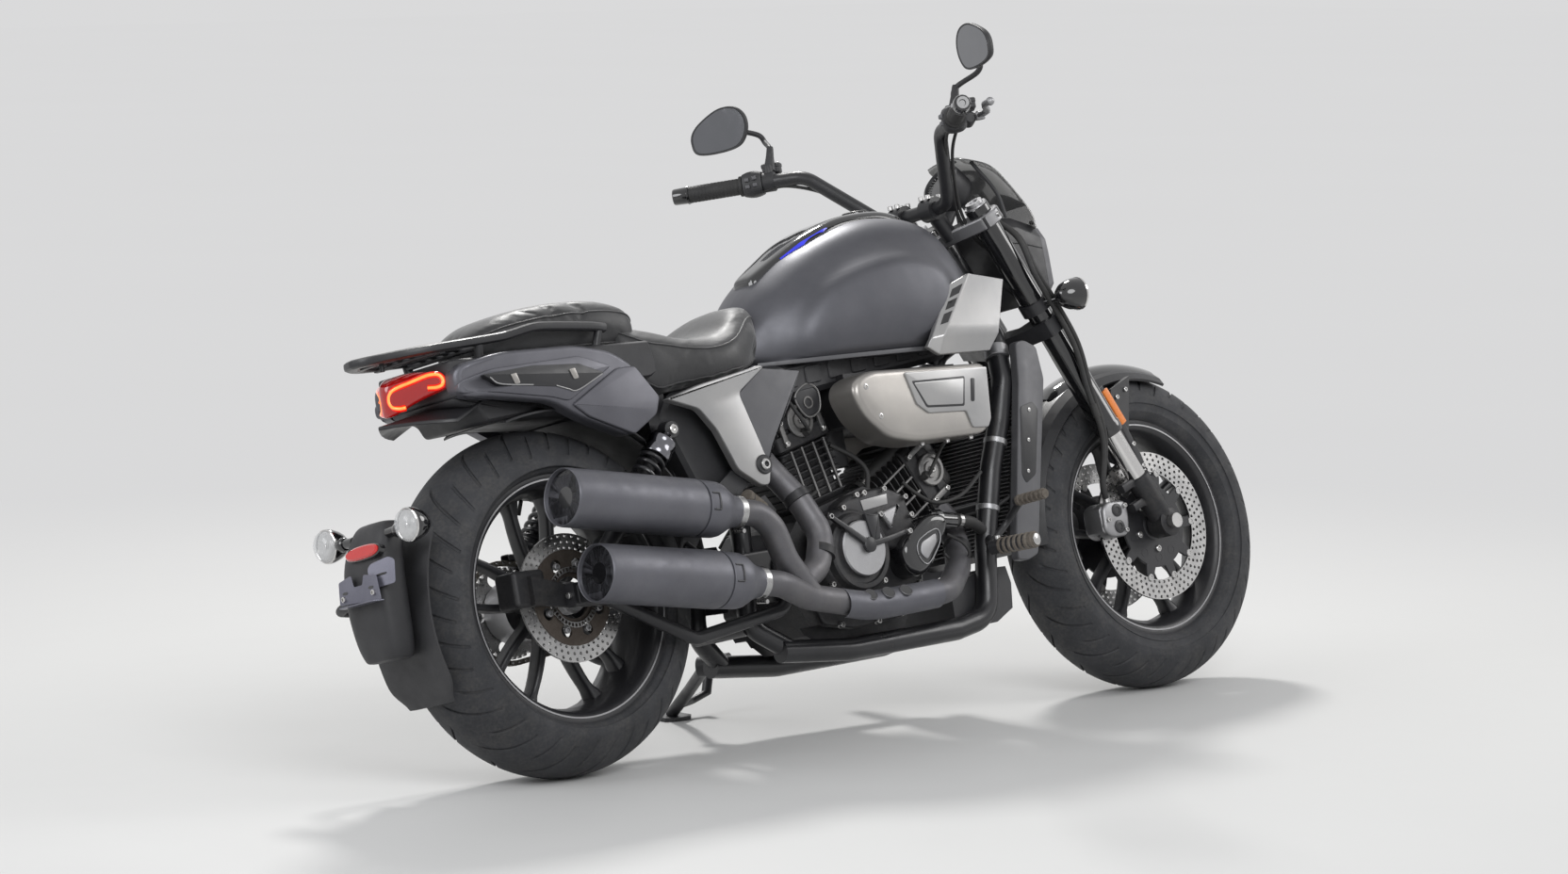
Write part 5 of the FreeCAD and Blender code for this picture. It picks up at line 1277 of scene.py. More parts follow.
    def scoops(self) -> None:
        """The folded covers in front of the tank: three facets of a straight-sided net, with three slots
        drawn as dark plates of painted shade.
        """
        rows = [[(1000, 184, 838), (1047, 201, 857), (1158, 182, 843)],
                [(926, 192, 736), (948, 206, 738), (1112, 190, 736)],
                [(918, 184, 720), (939, 193, 702), (1090, 178, 703)]]
        face = net(rows, 6, 6)
        self.shop.add("scoop_covers", both(slab(face, mm([0, -12, 0]))), "silver", Body.CHASSIS,
                      ["tank_scoops"], 25, "silver_trim", bevel=0.0018)
        backing = raised([(1008, 826), (1058, 842), (1134, 830), (1092, 720), (950, 712), (940, 726)], 146,
                         184, 3)
        self.shop.add("scoop_backs", both(backing), "plastic", Body.CHASSIS)
        p = mm(rows)
        # The slots are painted shade: black plates on the uncut cover where the openings would be in shadow.
        slots = []
        for low, high in ((0.14, 0.30), (0.37, 0.52), (0.59, 0.78)):
            corner = [p[0, 0] * (1 - t) * (1 - s) + p[0, 1] * (1 - t) * s + p[1, 0] * t * (1 - s)
                      + p[1, 1] * t * s + vec(0, 0.0006, 0) for t in (low, high) for s in (0.34, 0.86)]
            slots.append(slab(np.array(corner).reshape(2, 2, 3), mm([0, -3, 0])))
        self.shop.add("scoop_slot_shade", both(join(slots)), "black_gloss", Body.CHASSIS)

    def air_covers(self) -> None:
        """The air box's outer covers: a cushioned body, a raised band with a bare panel, a slot and bolts;
        the panel's gap and the slot are dark plates of painted shade.
        """
        outline = [(688, 640), (700, 668), (740, 683), (1056, 678), (1042, 560), (1020, 538), (840, 534),
                   (764, 548), (712, 592)]
        self.shop.add("air_cover_bodies", both(raised(outline, 122, 199, 13, 22, 5)), "champagne",
                      Body.CHASSIS, ["airbox_covers"], 35, "silver_trim")
        band = raised([(826, 672), (1049, 669), (1037, 566), (1026, 549), (984, 551), (974, 585), (873, 588),
                       (846, 607)], 190, 203, 2.5, 5)
        self.shop.add("air_cover_bands", both(band), "silver", Body.CHASSIS, smooth=30)
        # The black rim round the panel and the black slot plate are painted shade: dark plates where the gap
        # and the slot would be in shadow.
        rim = raised([(840, 654), (984, 654), (970, 595), (868, 599)], 199, 203.5, 0.4, 5)
        panel = raised([(845, 650), (980, 650), (966, 599), (871, 603)], 199, 204.6, 1.2, 4)
        slot = raised([(999, 649), (1010, 648), (999, 602), (989, 603)], 199, 203.7, 0.4, 4)
        self.shop.add("air_cover_gap_shade", both(join([rim, slot])), "black_satin", Body.CHASSIS)
        self.shop.add("air_cover_panels", both(panel), "silver", Body.CHASSIS)
        bolts = join([bolt(mm([x, 168, z]), (0, 0, -1), 0.0055, 0.005) for x,
                      z in ((872, 534), (940, 535), (1004, 537))])
        screws = join([bolt(mm([x, 197.5, z]), (0, 1, 0), 0.006, 0.0025) for x,
                       z in ((748, 592), (722, 652))])
        self.shop.add("air_cover_bolts", both(join([bolts, screws])), "steel", Body.CHASSIS)

    def side_covers(self) -> None:
        """The boomerang side covers with a dark inner panel and a large bolt."""
        silver = raised([(244, 668), (330, 690), (492, 717), (500, 712), (426, 667), (462, 556), (474, 520),
                         (464, 486), (444, 486), (392, 520), (356, 600), (320, 644)], 148, 166, 4, 10)
        self.shop.add("side_cover_bows", both(silver), "silver", Body.CHASSIS, ["side_covers"], 30,
                      "silver_trim")
        dark = raised([(428, 666), (496, 711), (596, 700), (556, 640), (494, 562), (472, 524), (464, 556)],
                      148, 160, 3, 6)
        self.shop.add("side_cover_panels", both(dark), "grey_plastic", Body.CHASSIS)
        at = mm([456, 166, 526])
        washer = turned(mm([(-4, 19), (2, 19), (4, 17), (4, 10)]), at)
        self.shop.add("side_cover_washers", both(washer), "black_satin", Body.CHASSIS)
        self.shop.add("side_cover_bolts", both(bolt(at, (0, 1, 0), 0.011, 0.009, 24)), "steel", Body.CHASSIS)

    def radiator(self) -> None:
        """The radiator's side panels, each with a dark vent strip and screws, and the core's cooling fins."""
        outline = [(1190, 718), (1214, 722), (1246, 706), (1252, 640), (1150, 292), (1120, 282), (1092, 286),
                   (1100, 340), (1180, 640)]
        self.shop.add("radiator_panels", both(raised(outline, 132, 152, 4, 8)), "grey_plastic", Body.CHASSIS,
                      ["radiator_shrouds"], 30, "grey_plastic")
        vent = raised([(1170, 588), (1206, 596), (1218, 580), (1180, 450), (1150, 434), (1142, 452)], 150,
                      153.2, 0.8, 6)
        self.shop.add("radiator_vents", both(vent), "black_satin", Body.CHASSIS)
        screws = [bolt(mm([x, 153, z]), (0, 1, 0), 0.004, 0.0015) for x,
                  z in ((1192, 580), (1176, 520), (1160, 458))]
        self.shop.add("radiator_screws", both(join(screws)), "steel", Body.CHASSIS)
        base, up = mm([1108, 0, 305]), mm([1233, 0, 668]) - mm([1108, 0, 305])
        out = unit(np.cross(up, SIDE))
        fins = [box_bar(np.array([base + up * t + out * 0.021 - SIDE * 0.122, base + up * t + out * 0.021
                                  + SIDE * 0.122]), 0.0008, 0.003, out) for t in np.linspace(0.03, 0.97, 44)]
        self.shop.add("radiator_fins", join(fins), "alloy", Body.CHASSIS)

    def tail(self) -> None:
        """The tail's side panels with a raised fold, a dark inset with clips and silver lines of painted
        highlight, the lip and the underside.
        """
        def narrowed(shell: Shell) -> Shell:
            """The tail narrows towards its lamp: y comes in by 24 mm at its rear end."""
            back = np.clip((-0.176 - shell.points[:, 0]) / 0.038, 0, 1)
            return Shell(shell.points - np.sign(shell.points[:, 1:2]) * back[:, None] * vec(0, 0.024, 0),
                         shell.faces)

        outline = [(-216, 770), (-120, 787), (60, 788), (142, 772), (194, 740), (242, 676), (226, 642),
                   (160, 606), (56, 646), (-17, 686), (-150, 703), (-214, 712)]
        fold = [(-214, 740), (-150, 756), (60, 766), (136, 742), (22, 683), (-20, 694), (-150, 712),
                (-214, 718)]
        wing = [(146, 737), (190, 738), (238, 675), (224, 643), (162, 609), (60, 650), (26, 676)]
        self.shop.add("tail_side_panels", both(narrowed(raised(outline, 118, 150, 9, 26, 4))), "tail_paint",
                      Body.CHASSIS, ["tail_panels"], 30, "grey_plastic")
        self.shop.add("tail_side_folds",
                      both(narrowed(join([raised(fold, 140, 153, 2.5, 12), raised(wing, 140, 156, 4, 8)]))),
                      "tail_paint", Body.CHASSIS)

        inset = raised([(-173, 746), (-55, 755), (57, 751), (114, 730), (45, 700), (-5, 712), (-136, 724)],
                       136, 154.2, 0.8, 4)
        self.shop.add("tail_insets", both(narrowed(inset)), "black_satin", Body.CHASSIS)
        # Silver tubes along the inset's lower edges are painted highlights: they stand in for light caught on
        # the recess's edges.
        line = smooth_line(mm([(-158, 154.4, 740), (-136, 154.4, 726), (-60, 154.4, 719)]), 12)
        highlight_line2 = smooth_line(mm([(-6, 154.4, 714), (20, 154.4, 706), (44, 154.4, 702), (108, 154.4, 728)]),
                            14)
        self.shop.add("tail_inset_highlights",
                      both(narrowed(join([tube(line, 0.0013, 8), tube(highlight_line2, 0.0013, 8)]))), "silver",
                      Body.CHASSIS)
        clips = [raised([(x, 742), (x + 14, 744), (x + 20, 724), (x + 8, 722)], 150, 156.5, 1, 3)
                 for x in (-110, 30)]
        self.shop.add("tail_clips", both(narrowed(join(clips))), "champagne", Body.CHASSIS)
        y, t = np.linspace(-100, 100, 21), np.linspace(0, 1, 7)[:, None]
        edge = np.interp(np.abs(y), (0, 25, 58, 85, 100), (-312, -292, -264, -234, -204))
        lip = np.stack([edge * (1 - t) - 140 * t, np.broadcast_to(y, (7, 21)),
                        686 + 32 * t - 0.0010 * y * y], -1) / 1000
        self.shop.add("tail_lip", slab(lip, mm([0, 0, -7])), "black_satin", Body.CHASSIS, bevel=0.002)
        keel = raised([(-210, 716), (-60, 708), (60, 668), (150, 626), (190, 640), (60, 720)], 96, 126, 5,
                      12)
        self.shop.add("tail_keels", both(keel), "plastic", Body.CHASSIS)

    def lamp(self) -> None:
        """The tail lamp: superellipse sections |y/w|^n + |z/h|^n = 1 along the bike, and hooked guides."""
        sections = [(-290, 730, 5, 20), (-288, 730, 11, 27), (-284, 732, 17, 31), (-272, 737, 31, 33),
                    (-253, 745, 54, 31), (-232, 749, 78, 26), (-216, 748, 92, 20), (-206, 746, 97, 14),
                    (-202, 745, 97, 10)]

        def loop(size: Array) -> Array:
            """A superellipse of half width w and half height h about z."""
            z, w, h = size
            t = np.linspace(0, TAU, 56, endpoint=False)
            c, s = np.cos(t), np.sin(t)
            k = (np.abs(c) ** 4 + np.abs(s) ** 4) ** (-1 / 4)
            return np.stack([w * c * k, z + h * s * k], -1)

        p = section_loft(sections, loop, 30)
        self.shop.add("tail_lamp_lens", grid(p, wrap_v=True, caps=True), "red_lens", Body.CHASSIS,
                      ["tail_lamp"], 50, "red_lens")
        seen = np.array([(-322, 704), (-336, 703), (-349, 706), (-354, 716), (-351, 730), (-338, 740),
                         (-300, 750), (-258, 760), (-234, 760), (-224, 752), (-226, 742), (-240, 737),
                         (-262, 737)], float)
        line = smooth_line(np.stack([np.interp(seen[:, 0], (-364, -329, -290, -250, -208),
                                               (-288, -272, -253, -232, -206)),
                                     np.interp(seen[:, 0], (-364, -329, -290, -250, -208),
                                               (0, 31, 54, 78, 97)), seen[:, 1]], -1), 90)
        line[:, 2] += 0.135 * (98 - line[:, 1])
        guide = (line + vec(-2.4, 2.6, 0)) / 1000
        self.shop.add("tail_lamp_guides", both(tube(guide, 0.0030, 12)), "red_core", Body.CHASSIS)
        self.shop.add("tail_lamp_halos", both(tube(guide + vec(0.0028, -0.0036, 0), 0.0062, 14)), "red_glow",
                      Body.CHASSIS)


@dataclass
class Seats:
    """Both seats: lofted pads swollen by a cloth simulation, with piping that is snapped on to them."""

    shop: Shop
    voxel: float = 0.0055
    pressure: float = 4.0
    frames: int = 20
    cap: float = 0.006

    def build(self) -> None:
        """Makes both seats."""
        rider = [(196, 776, 806, 84), (204, 764, 826, 108), (222, 722, 828, 128), (254, 692, 818, 144),
                 (300, 694, 804, 152), (340, 697, 791, 158), (380, 700, 784, 164), (420, 706, 786, 166),
                 (460, 712, 800, 160), (496, 719, 824, 142), (526, 727, 843, 118), (550, 733, 851, 96),
                 (570, 738, 853, 78), (580, 744, 846, 64)]
        pillion = [(-112, 790, 812, 40), (-104, 788, 836, 64), (-60, 787, 856, 90), (0, 787, 869, 102),
                   (60, 787, 876, 108), (120, 787, 878, 111), (180, 787, 876, 112), (232, 788, 866, 108),
                   (254, 792, 850, 98), (262, 800, 832, 84)]
        self.pad("rider_seat_pad", "rider_seat", rider)
        self.pad("pillion_seat_pad", "passenger_seat", pillion)

    def loop(self, size: Array) -> Array:
        """A seat's section: flat below, upright sides and a crowned top."""
        low, high, w = size
        h = high - low
        return mirrored_loop([(0, low), (w * 0.86, low), (w * 0.97, low + 0.06 * h), (w, low + 0.38 * h),
                              (w * 0.97, low + 0.66 * h), (w * 0.86, low + 0.86 * h),
                              (w * 0.55, low + 0.975 * h), (0, high)], 30)

    def pad(self, name: str, node: str, sections: Sequence) -> None:
        """A padded piece and its piping.

        Args:
            name: the pad's name.
            node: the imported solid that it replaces.
            sections: rows of (x, z_low, z_high, half width) in millimetres.
        """
        p = section_loft(sections, self.loop, 60)
        p[..., 1] *= 0.975
        obj = self.shop.add(name, grid(p, wrap_v=True, caps=True), "leather", Body.CHASSIS, [node], 80,
                            "seat_cover")
        self.swell(obj)
        made = obj.modifiers.new("subdivide", "SUBSURF")
        made.levels = made.render_levels = 1
        tree = _tree(obj)
        half = p.shape[1] // 2
        lines = []
        for share in (0.63, 0.235):
            column = int(round(share * half))
            for col in (column, p.shape[1] - column):
                lines.append(p[2:-2, col % p.shape[1]])
        piping = [tube(_snap(tree, self.shop.bike.place(smooth_line(line, 110)), 0.0004), 0.0019, 8)
                  for line in lines]
        self.shop.add(name + "_piping", join(piping), "leather", Body.CHASSIS, smooth=70, parked=True)

    def swell(self, obj: bpy.types.Object) -> None:
        """Remeshes a pad, blows it up a little as cloth, caps each point's way and smooths the join."""
        remesh = obj.modifiers.new("remesh", "REMESH")
        remesh.mode, remesh.voxel_size = "VOXEL", self.voxel
        graph = bpy.context.evaluated_depsgraph_get()
        mesh = bpy.data.meshes.new_from_object(obj.evaluated_get(graph))
        obj.modifiers.clear()
        obj.data = mesh
        start = np.empty(len(mesh.vertices) * 3, np.float32)
        mesh.vertices.foreach_get("co", start)
        start = start.reshape(-1, 3)
        cloth = obj.modifiers.new("cloth", "CLOTH")
        cloth.settings.use_pressure = True
        cloth.settings.uniform_pressure_force = self.pressure
        cloth.settings.effector_weights.gravity = 0
        cloth.settings.quality = 4
        cloth.point_cache.frame_end = self.frames
        scene = bpy.context.scene
        for f in range(1, self.frames + 1):
            scene.frame_set(f)
        graph = bpy.context.evaluated_depsgraph_get()
        swollen = bpy.data.meshes.new_from_object(obj.evaluated_get(graph))
        end = np.empty(len(swollen.vertices) * 3, np.float32)
        swollen.vertices.foreach_get("co", end)
        way = end.reshape(-1, 3) - start
        size = np.linalg.norm(way, axis=1, keepdims=True)
        way *= np.minimum(1, self.cap / np.maximum(size, 1e-9))
        obj.modifiers.clear()
        mesh.vertices.foreach_set("co", (start + way).astype(np.float32).ravel())
        mesh.polygons.foreach_set("use_smooth", np.ones(len(mesh.polygons), bool))
        mesh.update()
        scene.frame_set(1)


def _tree(obj: bpy.types.Object) -> BVHTree:
    """A search tree over a piece's finished mesh."""
    return BVHTree.FromObject(obj, bpy.context.evaluated_depsgraph_get())


def _snap(tree: BVHTree, points: Array, lift: float) -> Array:
    """Points moved to the nearest place on a mesh, lifted along its normal."""
    found = [tree.find_nearest(Vector(p)) for p in points]
    return np.array([np.array(at) + np.array(normal) * lift for at, normal, _, _ in found])


@dataclass
class Engine:
    """The V-twin: finned cylinders with their heads, the covers on both sides, their bolts and the hoses."""

    shop: Shop
    crank: tuple[float, float] = (704, 342)
    angles: tuple[float, float] = (-14.0, 60.0)
    tops: tuple[float, float] = (334.0, 350.0)
    deck: float = 112.0
    fins: int = 8

    def build(self) -> None:
        """Makes the whole engine."""
        for place, angle, top in zip(("rear", "front"), self.angles, self.tops):
            self.cylinder(place, angle, top)
        self.right_covers()
        self.left_covers()
        self.hoses()

    def on(self, angle: float, points: Sequence) -> Array:
        """Points (distance up a cylinder, aside, y) in millimetres, in the upright frame."""
        p, a = mm(points), math.radians(angle)
        up, side = vec(math.sin(a), 0, math.cos(a)), vec(math.cos(a), 0, -math.sin(a))
        return mm([self.crank[0], 0, self.crank[1]]) + p[...,
                                                         :1] * up + p[..., 1:2] * side + p[..., 2:] * SIDE

    def stack(self, angle: float, levels: Sequence, corner: float = 16.0) -> Shell:
        """Rounded rectangles up a cylinder: rows of (distance up, half size along, half size across)."""
        rings = []
        for s, a, b in levels:
            loop = rounded_loop([(-a, -b), (a, -b), (a, b), (-a, b)], corner, 4)
            rings.append(np.column_stack([np.full(len(loop), s), loop]))
        return grid(self.on(angle, np.array(rings)), wrap_v=True, caps=True)

    def cylinder(self, place: str, angle: float, top: float) -> None:
        """One cylinder: a barrel, fins, the head with its machined faces, bolts and the plug's lead."""
        low, high = self.deck, top - 102
        barrel = self.stack(angle, [(low, 60, 66), (high, 60, 66)])
        heights = np.linspace(low + 10, high - 8, self.fins)
        fins = [self.stack(angle, [(s, 68, 80), (s + 0.8, 70, 82), (s + 3.2, 70, 82), (s + 4, 68, 80)])
                for s in heights]
        ribs = [self.stack(angle, [(low, 62, 70), (low + 7, 66, 74), (low + 9, 66, 74)], 10)]
        head = self.stack(angle, [(high, 70, 82), (high + 3, 73, 85), (high + 30, 73, 85),
                                  (high + 33, 68, 80), (high + 38, 68, 80), (high + 41, 73, 85),
                                  (high + 62, 73, 85), (high + 70, 66, 79)])
        cap = self.stack(angle, [(top - 33, 60, 74), (top - 14, 60, 74), (top - 5, 55, 69), (top, 44, 58)])
        ridges = [self.stack(angle, [(top - 12, 3, 66), (top + 0.5, 2.4, 58)],
                             2).moved(lambda p, a=angle, d=d: p + self.on(a, [(0, d, 0)])
                                      - self.on(a, [(0, 0, 0)])) for d in (-30, -10, 10, 30)]
        self.shop.add(f"{place}_cylinder", join([barrel, head, cap] + ribs + fins + ridges), "black_cast",
                      Body.CHASSIS, ["cylinders"], 30, "black_metal")
        up, out = unit(self.on(angle, (1, 0, 0)) - self.on(angle, (0, 0, 0))), []
        for side in (1, -1):
            face = self.on(angle, (high + 46, 0, side * 85))
            ring = turned(mm([(0, 33), (5, 33), (7, 31), (7, 25), (2.5, 24), (2.5, 17), (6, 16), (6, 0.01)]),
                          face, (0, side, 0))
            bars = [box_bar(self.on(angle, [(low + 14, d, side * 82.5), (high - 3, d, side * 82.5)]), 0.0024,
                            0.003) for d in (-46, -16, 16, 46)]
            lug = [box_bar(self.on(angle, [(high + 8, d, side * 86), (high + 60, d, side * 86)]), 0.006,
                           0.004) for d in (-52, 52)]
            self.shop.add(f"{place}_head_face_{'left' if side > 0 else 'right'}", join([ring] + bars + lug),
                          "engine_grey", Body.CHASSIS)
            out += [bolt(self.on(angle, (s, d, side * 89)), (0, side, 0), 0.0055, 0.004)
                    for s in (high + 14, high + 56) for d in (-52, 52)]
            out += [bolt(self.on(angle, (top - 11, d, side * 60)), up, 0.005, 0.007) for d in (-46, 46)]
            out.append(bolt(self.on(angle, (high + 46, 0, side * 91)), (0, side, 0), 0.007, 0.005))
        self.shop.add(f"{place}_cylinder_bolts", join(out), "steel", Body.CHASSIS)
        plug = self.on(angle, [(high + 20, 0, -84), (high + 24, 0, -100), (high + 44, -14, -112),
                               (high + 92, -20, -98), (high + 128, -10, -70)])
        boot = turned(mm([(-4, 9), (9, 9), (12, 7), (18, 6), (18, 0.01)]), plug[0], (0, -1, 0.2))
        self.shop.add(f"{place}_plug_lead", join([tube(smooth_line(plug, 30), 0.0038, 10), boot]), "rubber",
                      Body.CHASSIS)

    def right_covers(self) -> None:
        """The clutch cover with its disc and strut, the upper cover with its plate, and the pump covers."""
        at = mm([664, 0, 338])
        ring = turned(mm([(112, 92), (138, 91), (148, 86), (152, 79), (158, 77), (165, 75), (168, 71),
                          (168, 62), (163, 60), (163, 0.01)]), at, (0, -1, 0), 72)
        upper = raised([(640, 404), (648, 436), (686, 454), (772, 462), (822, 442), (836, 380), (800, 332),
                        (700, 350)], -112, -146, 9, 10)
        low = raised([(560, 260), (580, 210), (660, 196), (800, 208), (842, 250), (846, 300), (780, 330),
                      (600, 330)], -100, -121, 6, 12)
        self.shop.add("clutch_cover", join([ring, upper, low]), "black_cast", Body.CHASSIS,
                      ["engine_covers"], 35, "alloy")
        disc = turned(mm([(160, 55), (170, 55), (172.5, 52.5), (172.5, 0.01)]), at + mm([6, 0, 6]),
                      (0, -1, 0), 64)
        gem = raised([(742, 410), (797, 424), (766, 374)], -146, -155, 6, 4)
        self.shop.add("clutch_disc", join([disc, gem]), "alloy", Body.CHASSIS)
        hub = mm([680, -176, 349])
        arms = [np.array([mm([589, -170, 417]), mm([628, -176, 386]), hub]),
                np.array([mm([793, -168, 368]), mm([730, -176, 356]), hub])]
        strut = [box_bar(smooth_line(a, 14), np.linspace(0.004, 0.0065, 14), 0.0045) for a in arms]
        strut += [raised([(681, 410), (718, 406), (712, 358), (692, 352)], -150, -178, 4, 4),
                  turned(mm([(-3, 15), (4, 15), (6, 12), (6, 0.01)]), hub, (0, -1, 0))]
        self.shop.add("clutch_strut", join(strut), "black_satin", Body.CHASSIS)
        plain = raised([(703, 438), (774, 446), (772, 426), (707, 418)], -145, -147.5, 0.5, 1.5)
        self.shop.add("engine_plain_plate", plain, "silver", Body.CHASSIS)
        body = raised([(768, 338), (830, 384), (864, 398), (900, 392), (906, 368), (838, 288), (806, 274),
                       (776, 290)], -112, -172, 15, 20, 5)
        neck = turned(mm([(0, 21), (14, 21), (16, 24), (30, 24), (32, 19), (78, 17)]), mm([872, -140, 386]),
                      (1, 0.1, -0.1))
        self.shop.add("pump_covers", join([body, neck]), "black_gloss", Body.CHASSIS)
        inset = raised([(812, 320), (818, 341), (861, 357), (859, 338), (826, 306)], -171, -174.5, 1.5, 7)
        bead = tube(smooth_line(mm([(806, -173, 318), (814, -173, 346), (864, -173, 364), (868, -173, 338),
                                    (828, -173, 299)]), 60, True), 0.0012, 8)
        self.shop.add("pump_inset", join([inset, bead]), "alloy", Body.CHASSIS)
        places = [(692, 450, 146), (712, 452, 146), (766, 456, 146), (818, 436, 146), (742, 407, 150),
                  (652, 428, 146), (617, 424, 112), (826, 400, 146), (593, 412, 172), (790, 366, 172),
                  (842, 268, 121), (575, 250, 121), (620, 206, 121), (716, 204, 121), (786, 214, 121),
                  (830, 316, 120)]
        around = [(664 + 88 * math.cos(a), 338 + 88 * math.sin(a), 143)
                  for a in np.radians([150, 185, 218, 250, 285, 318])]
        bolts = [bolt(mm([x, -y, z]), (0, -1, 0), 0.0062, 0.008) for x, z, y in places + around]
        self.shop.add("right_cover_bolts", join(bolts), "steel", Body.CHASSIS)

    def left_covers(self) -> None:
        """The generator's cover, the chain wheel's cover with its ribs, and their bolts."""
        at = mm([712, 0, 336])
        cover = turned(mm([(112, 98), (138, 97), (147, 91), (150, 84), (156, 80), (158, 68), (154, 64),
                           (154, 40), (160, 36), (160, 0.01)]), at, steps=72)
        box = raised([(508, 292), (506, 366), (530, 396), (588, 388), (608, 330), (590, 284), (530, 272)],
                     120, 148, 7, 10)
        ribs = [raised([(522 + d, 300), (526 + d, 300), (534 + d, 376), (530 + d, 376)], 146, 151, 1.2, 1.5)
                for d in (0, 16, 32, 48)]
        low = raised([(560, 260), (580, 210), (660, 196), (800, 208), (842, 250), (846, 300), (780, 330),
                      (600, 330)], 100, 121, 6, 12)
        top = raised([(690, 440), (760, 468), (830, 440), (842, 360), (770, 400)], 112, 140, 8, 10)
        self.shop.add("generator_cover", join([cover, box, low, top] + ribs), "black_cast", Body.CHASSIS, (),
                      35)
        disc = turned(mm([(154, 34), (161, 33), (162.5, 30), (162.5, 0.01)]), at)
        self.shop.add("generator_disc", disc, "alloy", Body.CHASSIS)
        around = [(712 + 91 * math.cos(a), 336 + 91 * math.sin(a), 142)
                  for a in np.radians(np.arange(20, 380, 45))]
        extra = [(516, 286, 146), (598, 330, 146), (532, 388, 146), (700, 444, 138), (826, 436, 138),
                 (842, 268, 121), (575, 250, 121), (716, 204, 121)]
        self.shop.add("left_cover_bolts", join([bolt(mm([x, y, z]), (0, 1, 0), 0.0058, 0.007) for x, z,
                                                y in around + extra]), "steel", Body.CHASSIS)

    def hoses(self) -> None:
        """Hoses and wires, each fixed at both ends on the chassis, and the boxes behind the shocks."""
        runs = [([(948, -138, 379), (1000, -130, 372), (1052, -112, 352), (1102, -96, 344)], 12),
                ([(800, -40, 470), (900, -60, 540), (1060, -64, 610), (1180, -70, 640)], 15),
                ([(913, -150, 352), (930, -172, 330), (945, -168, 306), (926, -150, 292), (905, -140, 316)],
                 3.2), ([(640, -96, 470), (600, -110, 452), (590, -112, 420), (606, -112, 396)], 4),
                ([(720, -70, 560), (764, -84, 530), (780, -96, 500), (770, -100, 462)], 5),
                ([(880, -84, 470), (905, -98, 440), (940, -110, 420), (1000, -120, 430), (1060, -122, 470)],
                 4), ([(1172, -112, 560), (1168, -132, 480), (1150, -132, 430), (1100, -112, 400)], 4),
                ([(640, 96, 470), (600, 112, 440), (560, 118, 400)], 5),
                ([(820, 90, 470), (900, 100, 430), (1010, 110, 420), (1100, 100, 460)], 6)]
        self.shop.add("engine_hoses", join([tube(smooth_line(mm(p), 36), r / 1000, 12) for p, r in runs]),
                      "rubber", Body.CHASSIS, smooth=60)
        clips = [turned(mm([(-5, r + 1.6), (5, r + 1.6), (5, r - 1), (-5, r - 1)]), mm(p), d, 24,
                        closed=True) for p, d, r in (((962, -137, 378), (1, 0.1, -0.1), 12),
                                                     ((1090, -100, 346), (1, 0.3, -0.2), 12),
                                                     ((812, -42, 478), (0.8, -0.1, 0.6), 15))]
        self.shop.add("hose_clips", join(clips), "steel", Body.CHASSIS)
        box = raised([(318, 470), (300, 560), (306, 690), (430, 700), (424, 560), (416, 470)], -78, 78, 8,
                     14)
        coil = raised([(622, 657), (660, 686), (692, 668), (688, 624), (648, 612)], -60, -97, 5, 6)
        self.shop.add("battery_box", join([box, both(coil)]), "plastic", Body.CHASSIS)
        rim = both(join([tube(smooth_line(mm([(626, 97.4, 655), (660, 97.4, 680), (688, 97.4, 666),
                                              (684, 97.4, 627), (650, 97.4, 617)]), 50, True), 0.0022, 8),
                         turned(mm([(94, 12), (99, 12), (99, 9), (96, 9), (96, 0.01)]), mm([658, 0, 644]))]))
        self.shop.add("coil_rims", rim, "engine_grey", Body.CHASSIS)


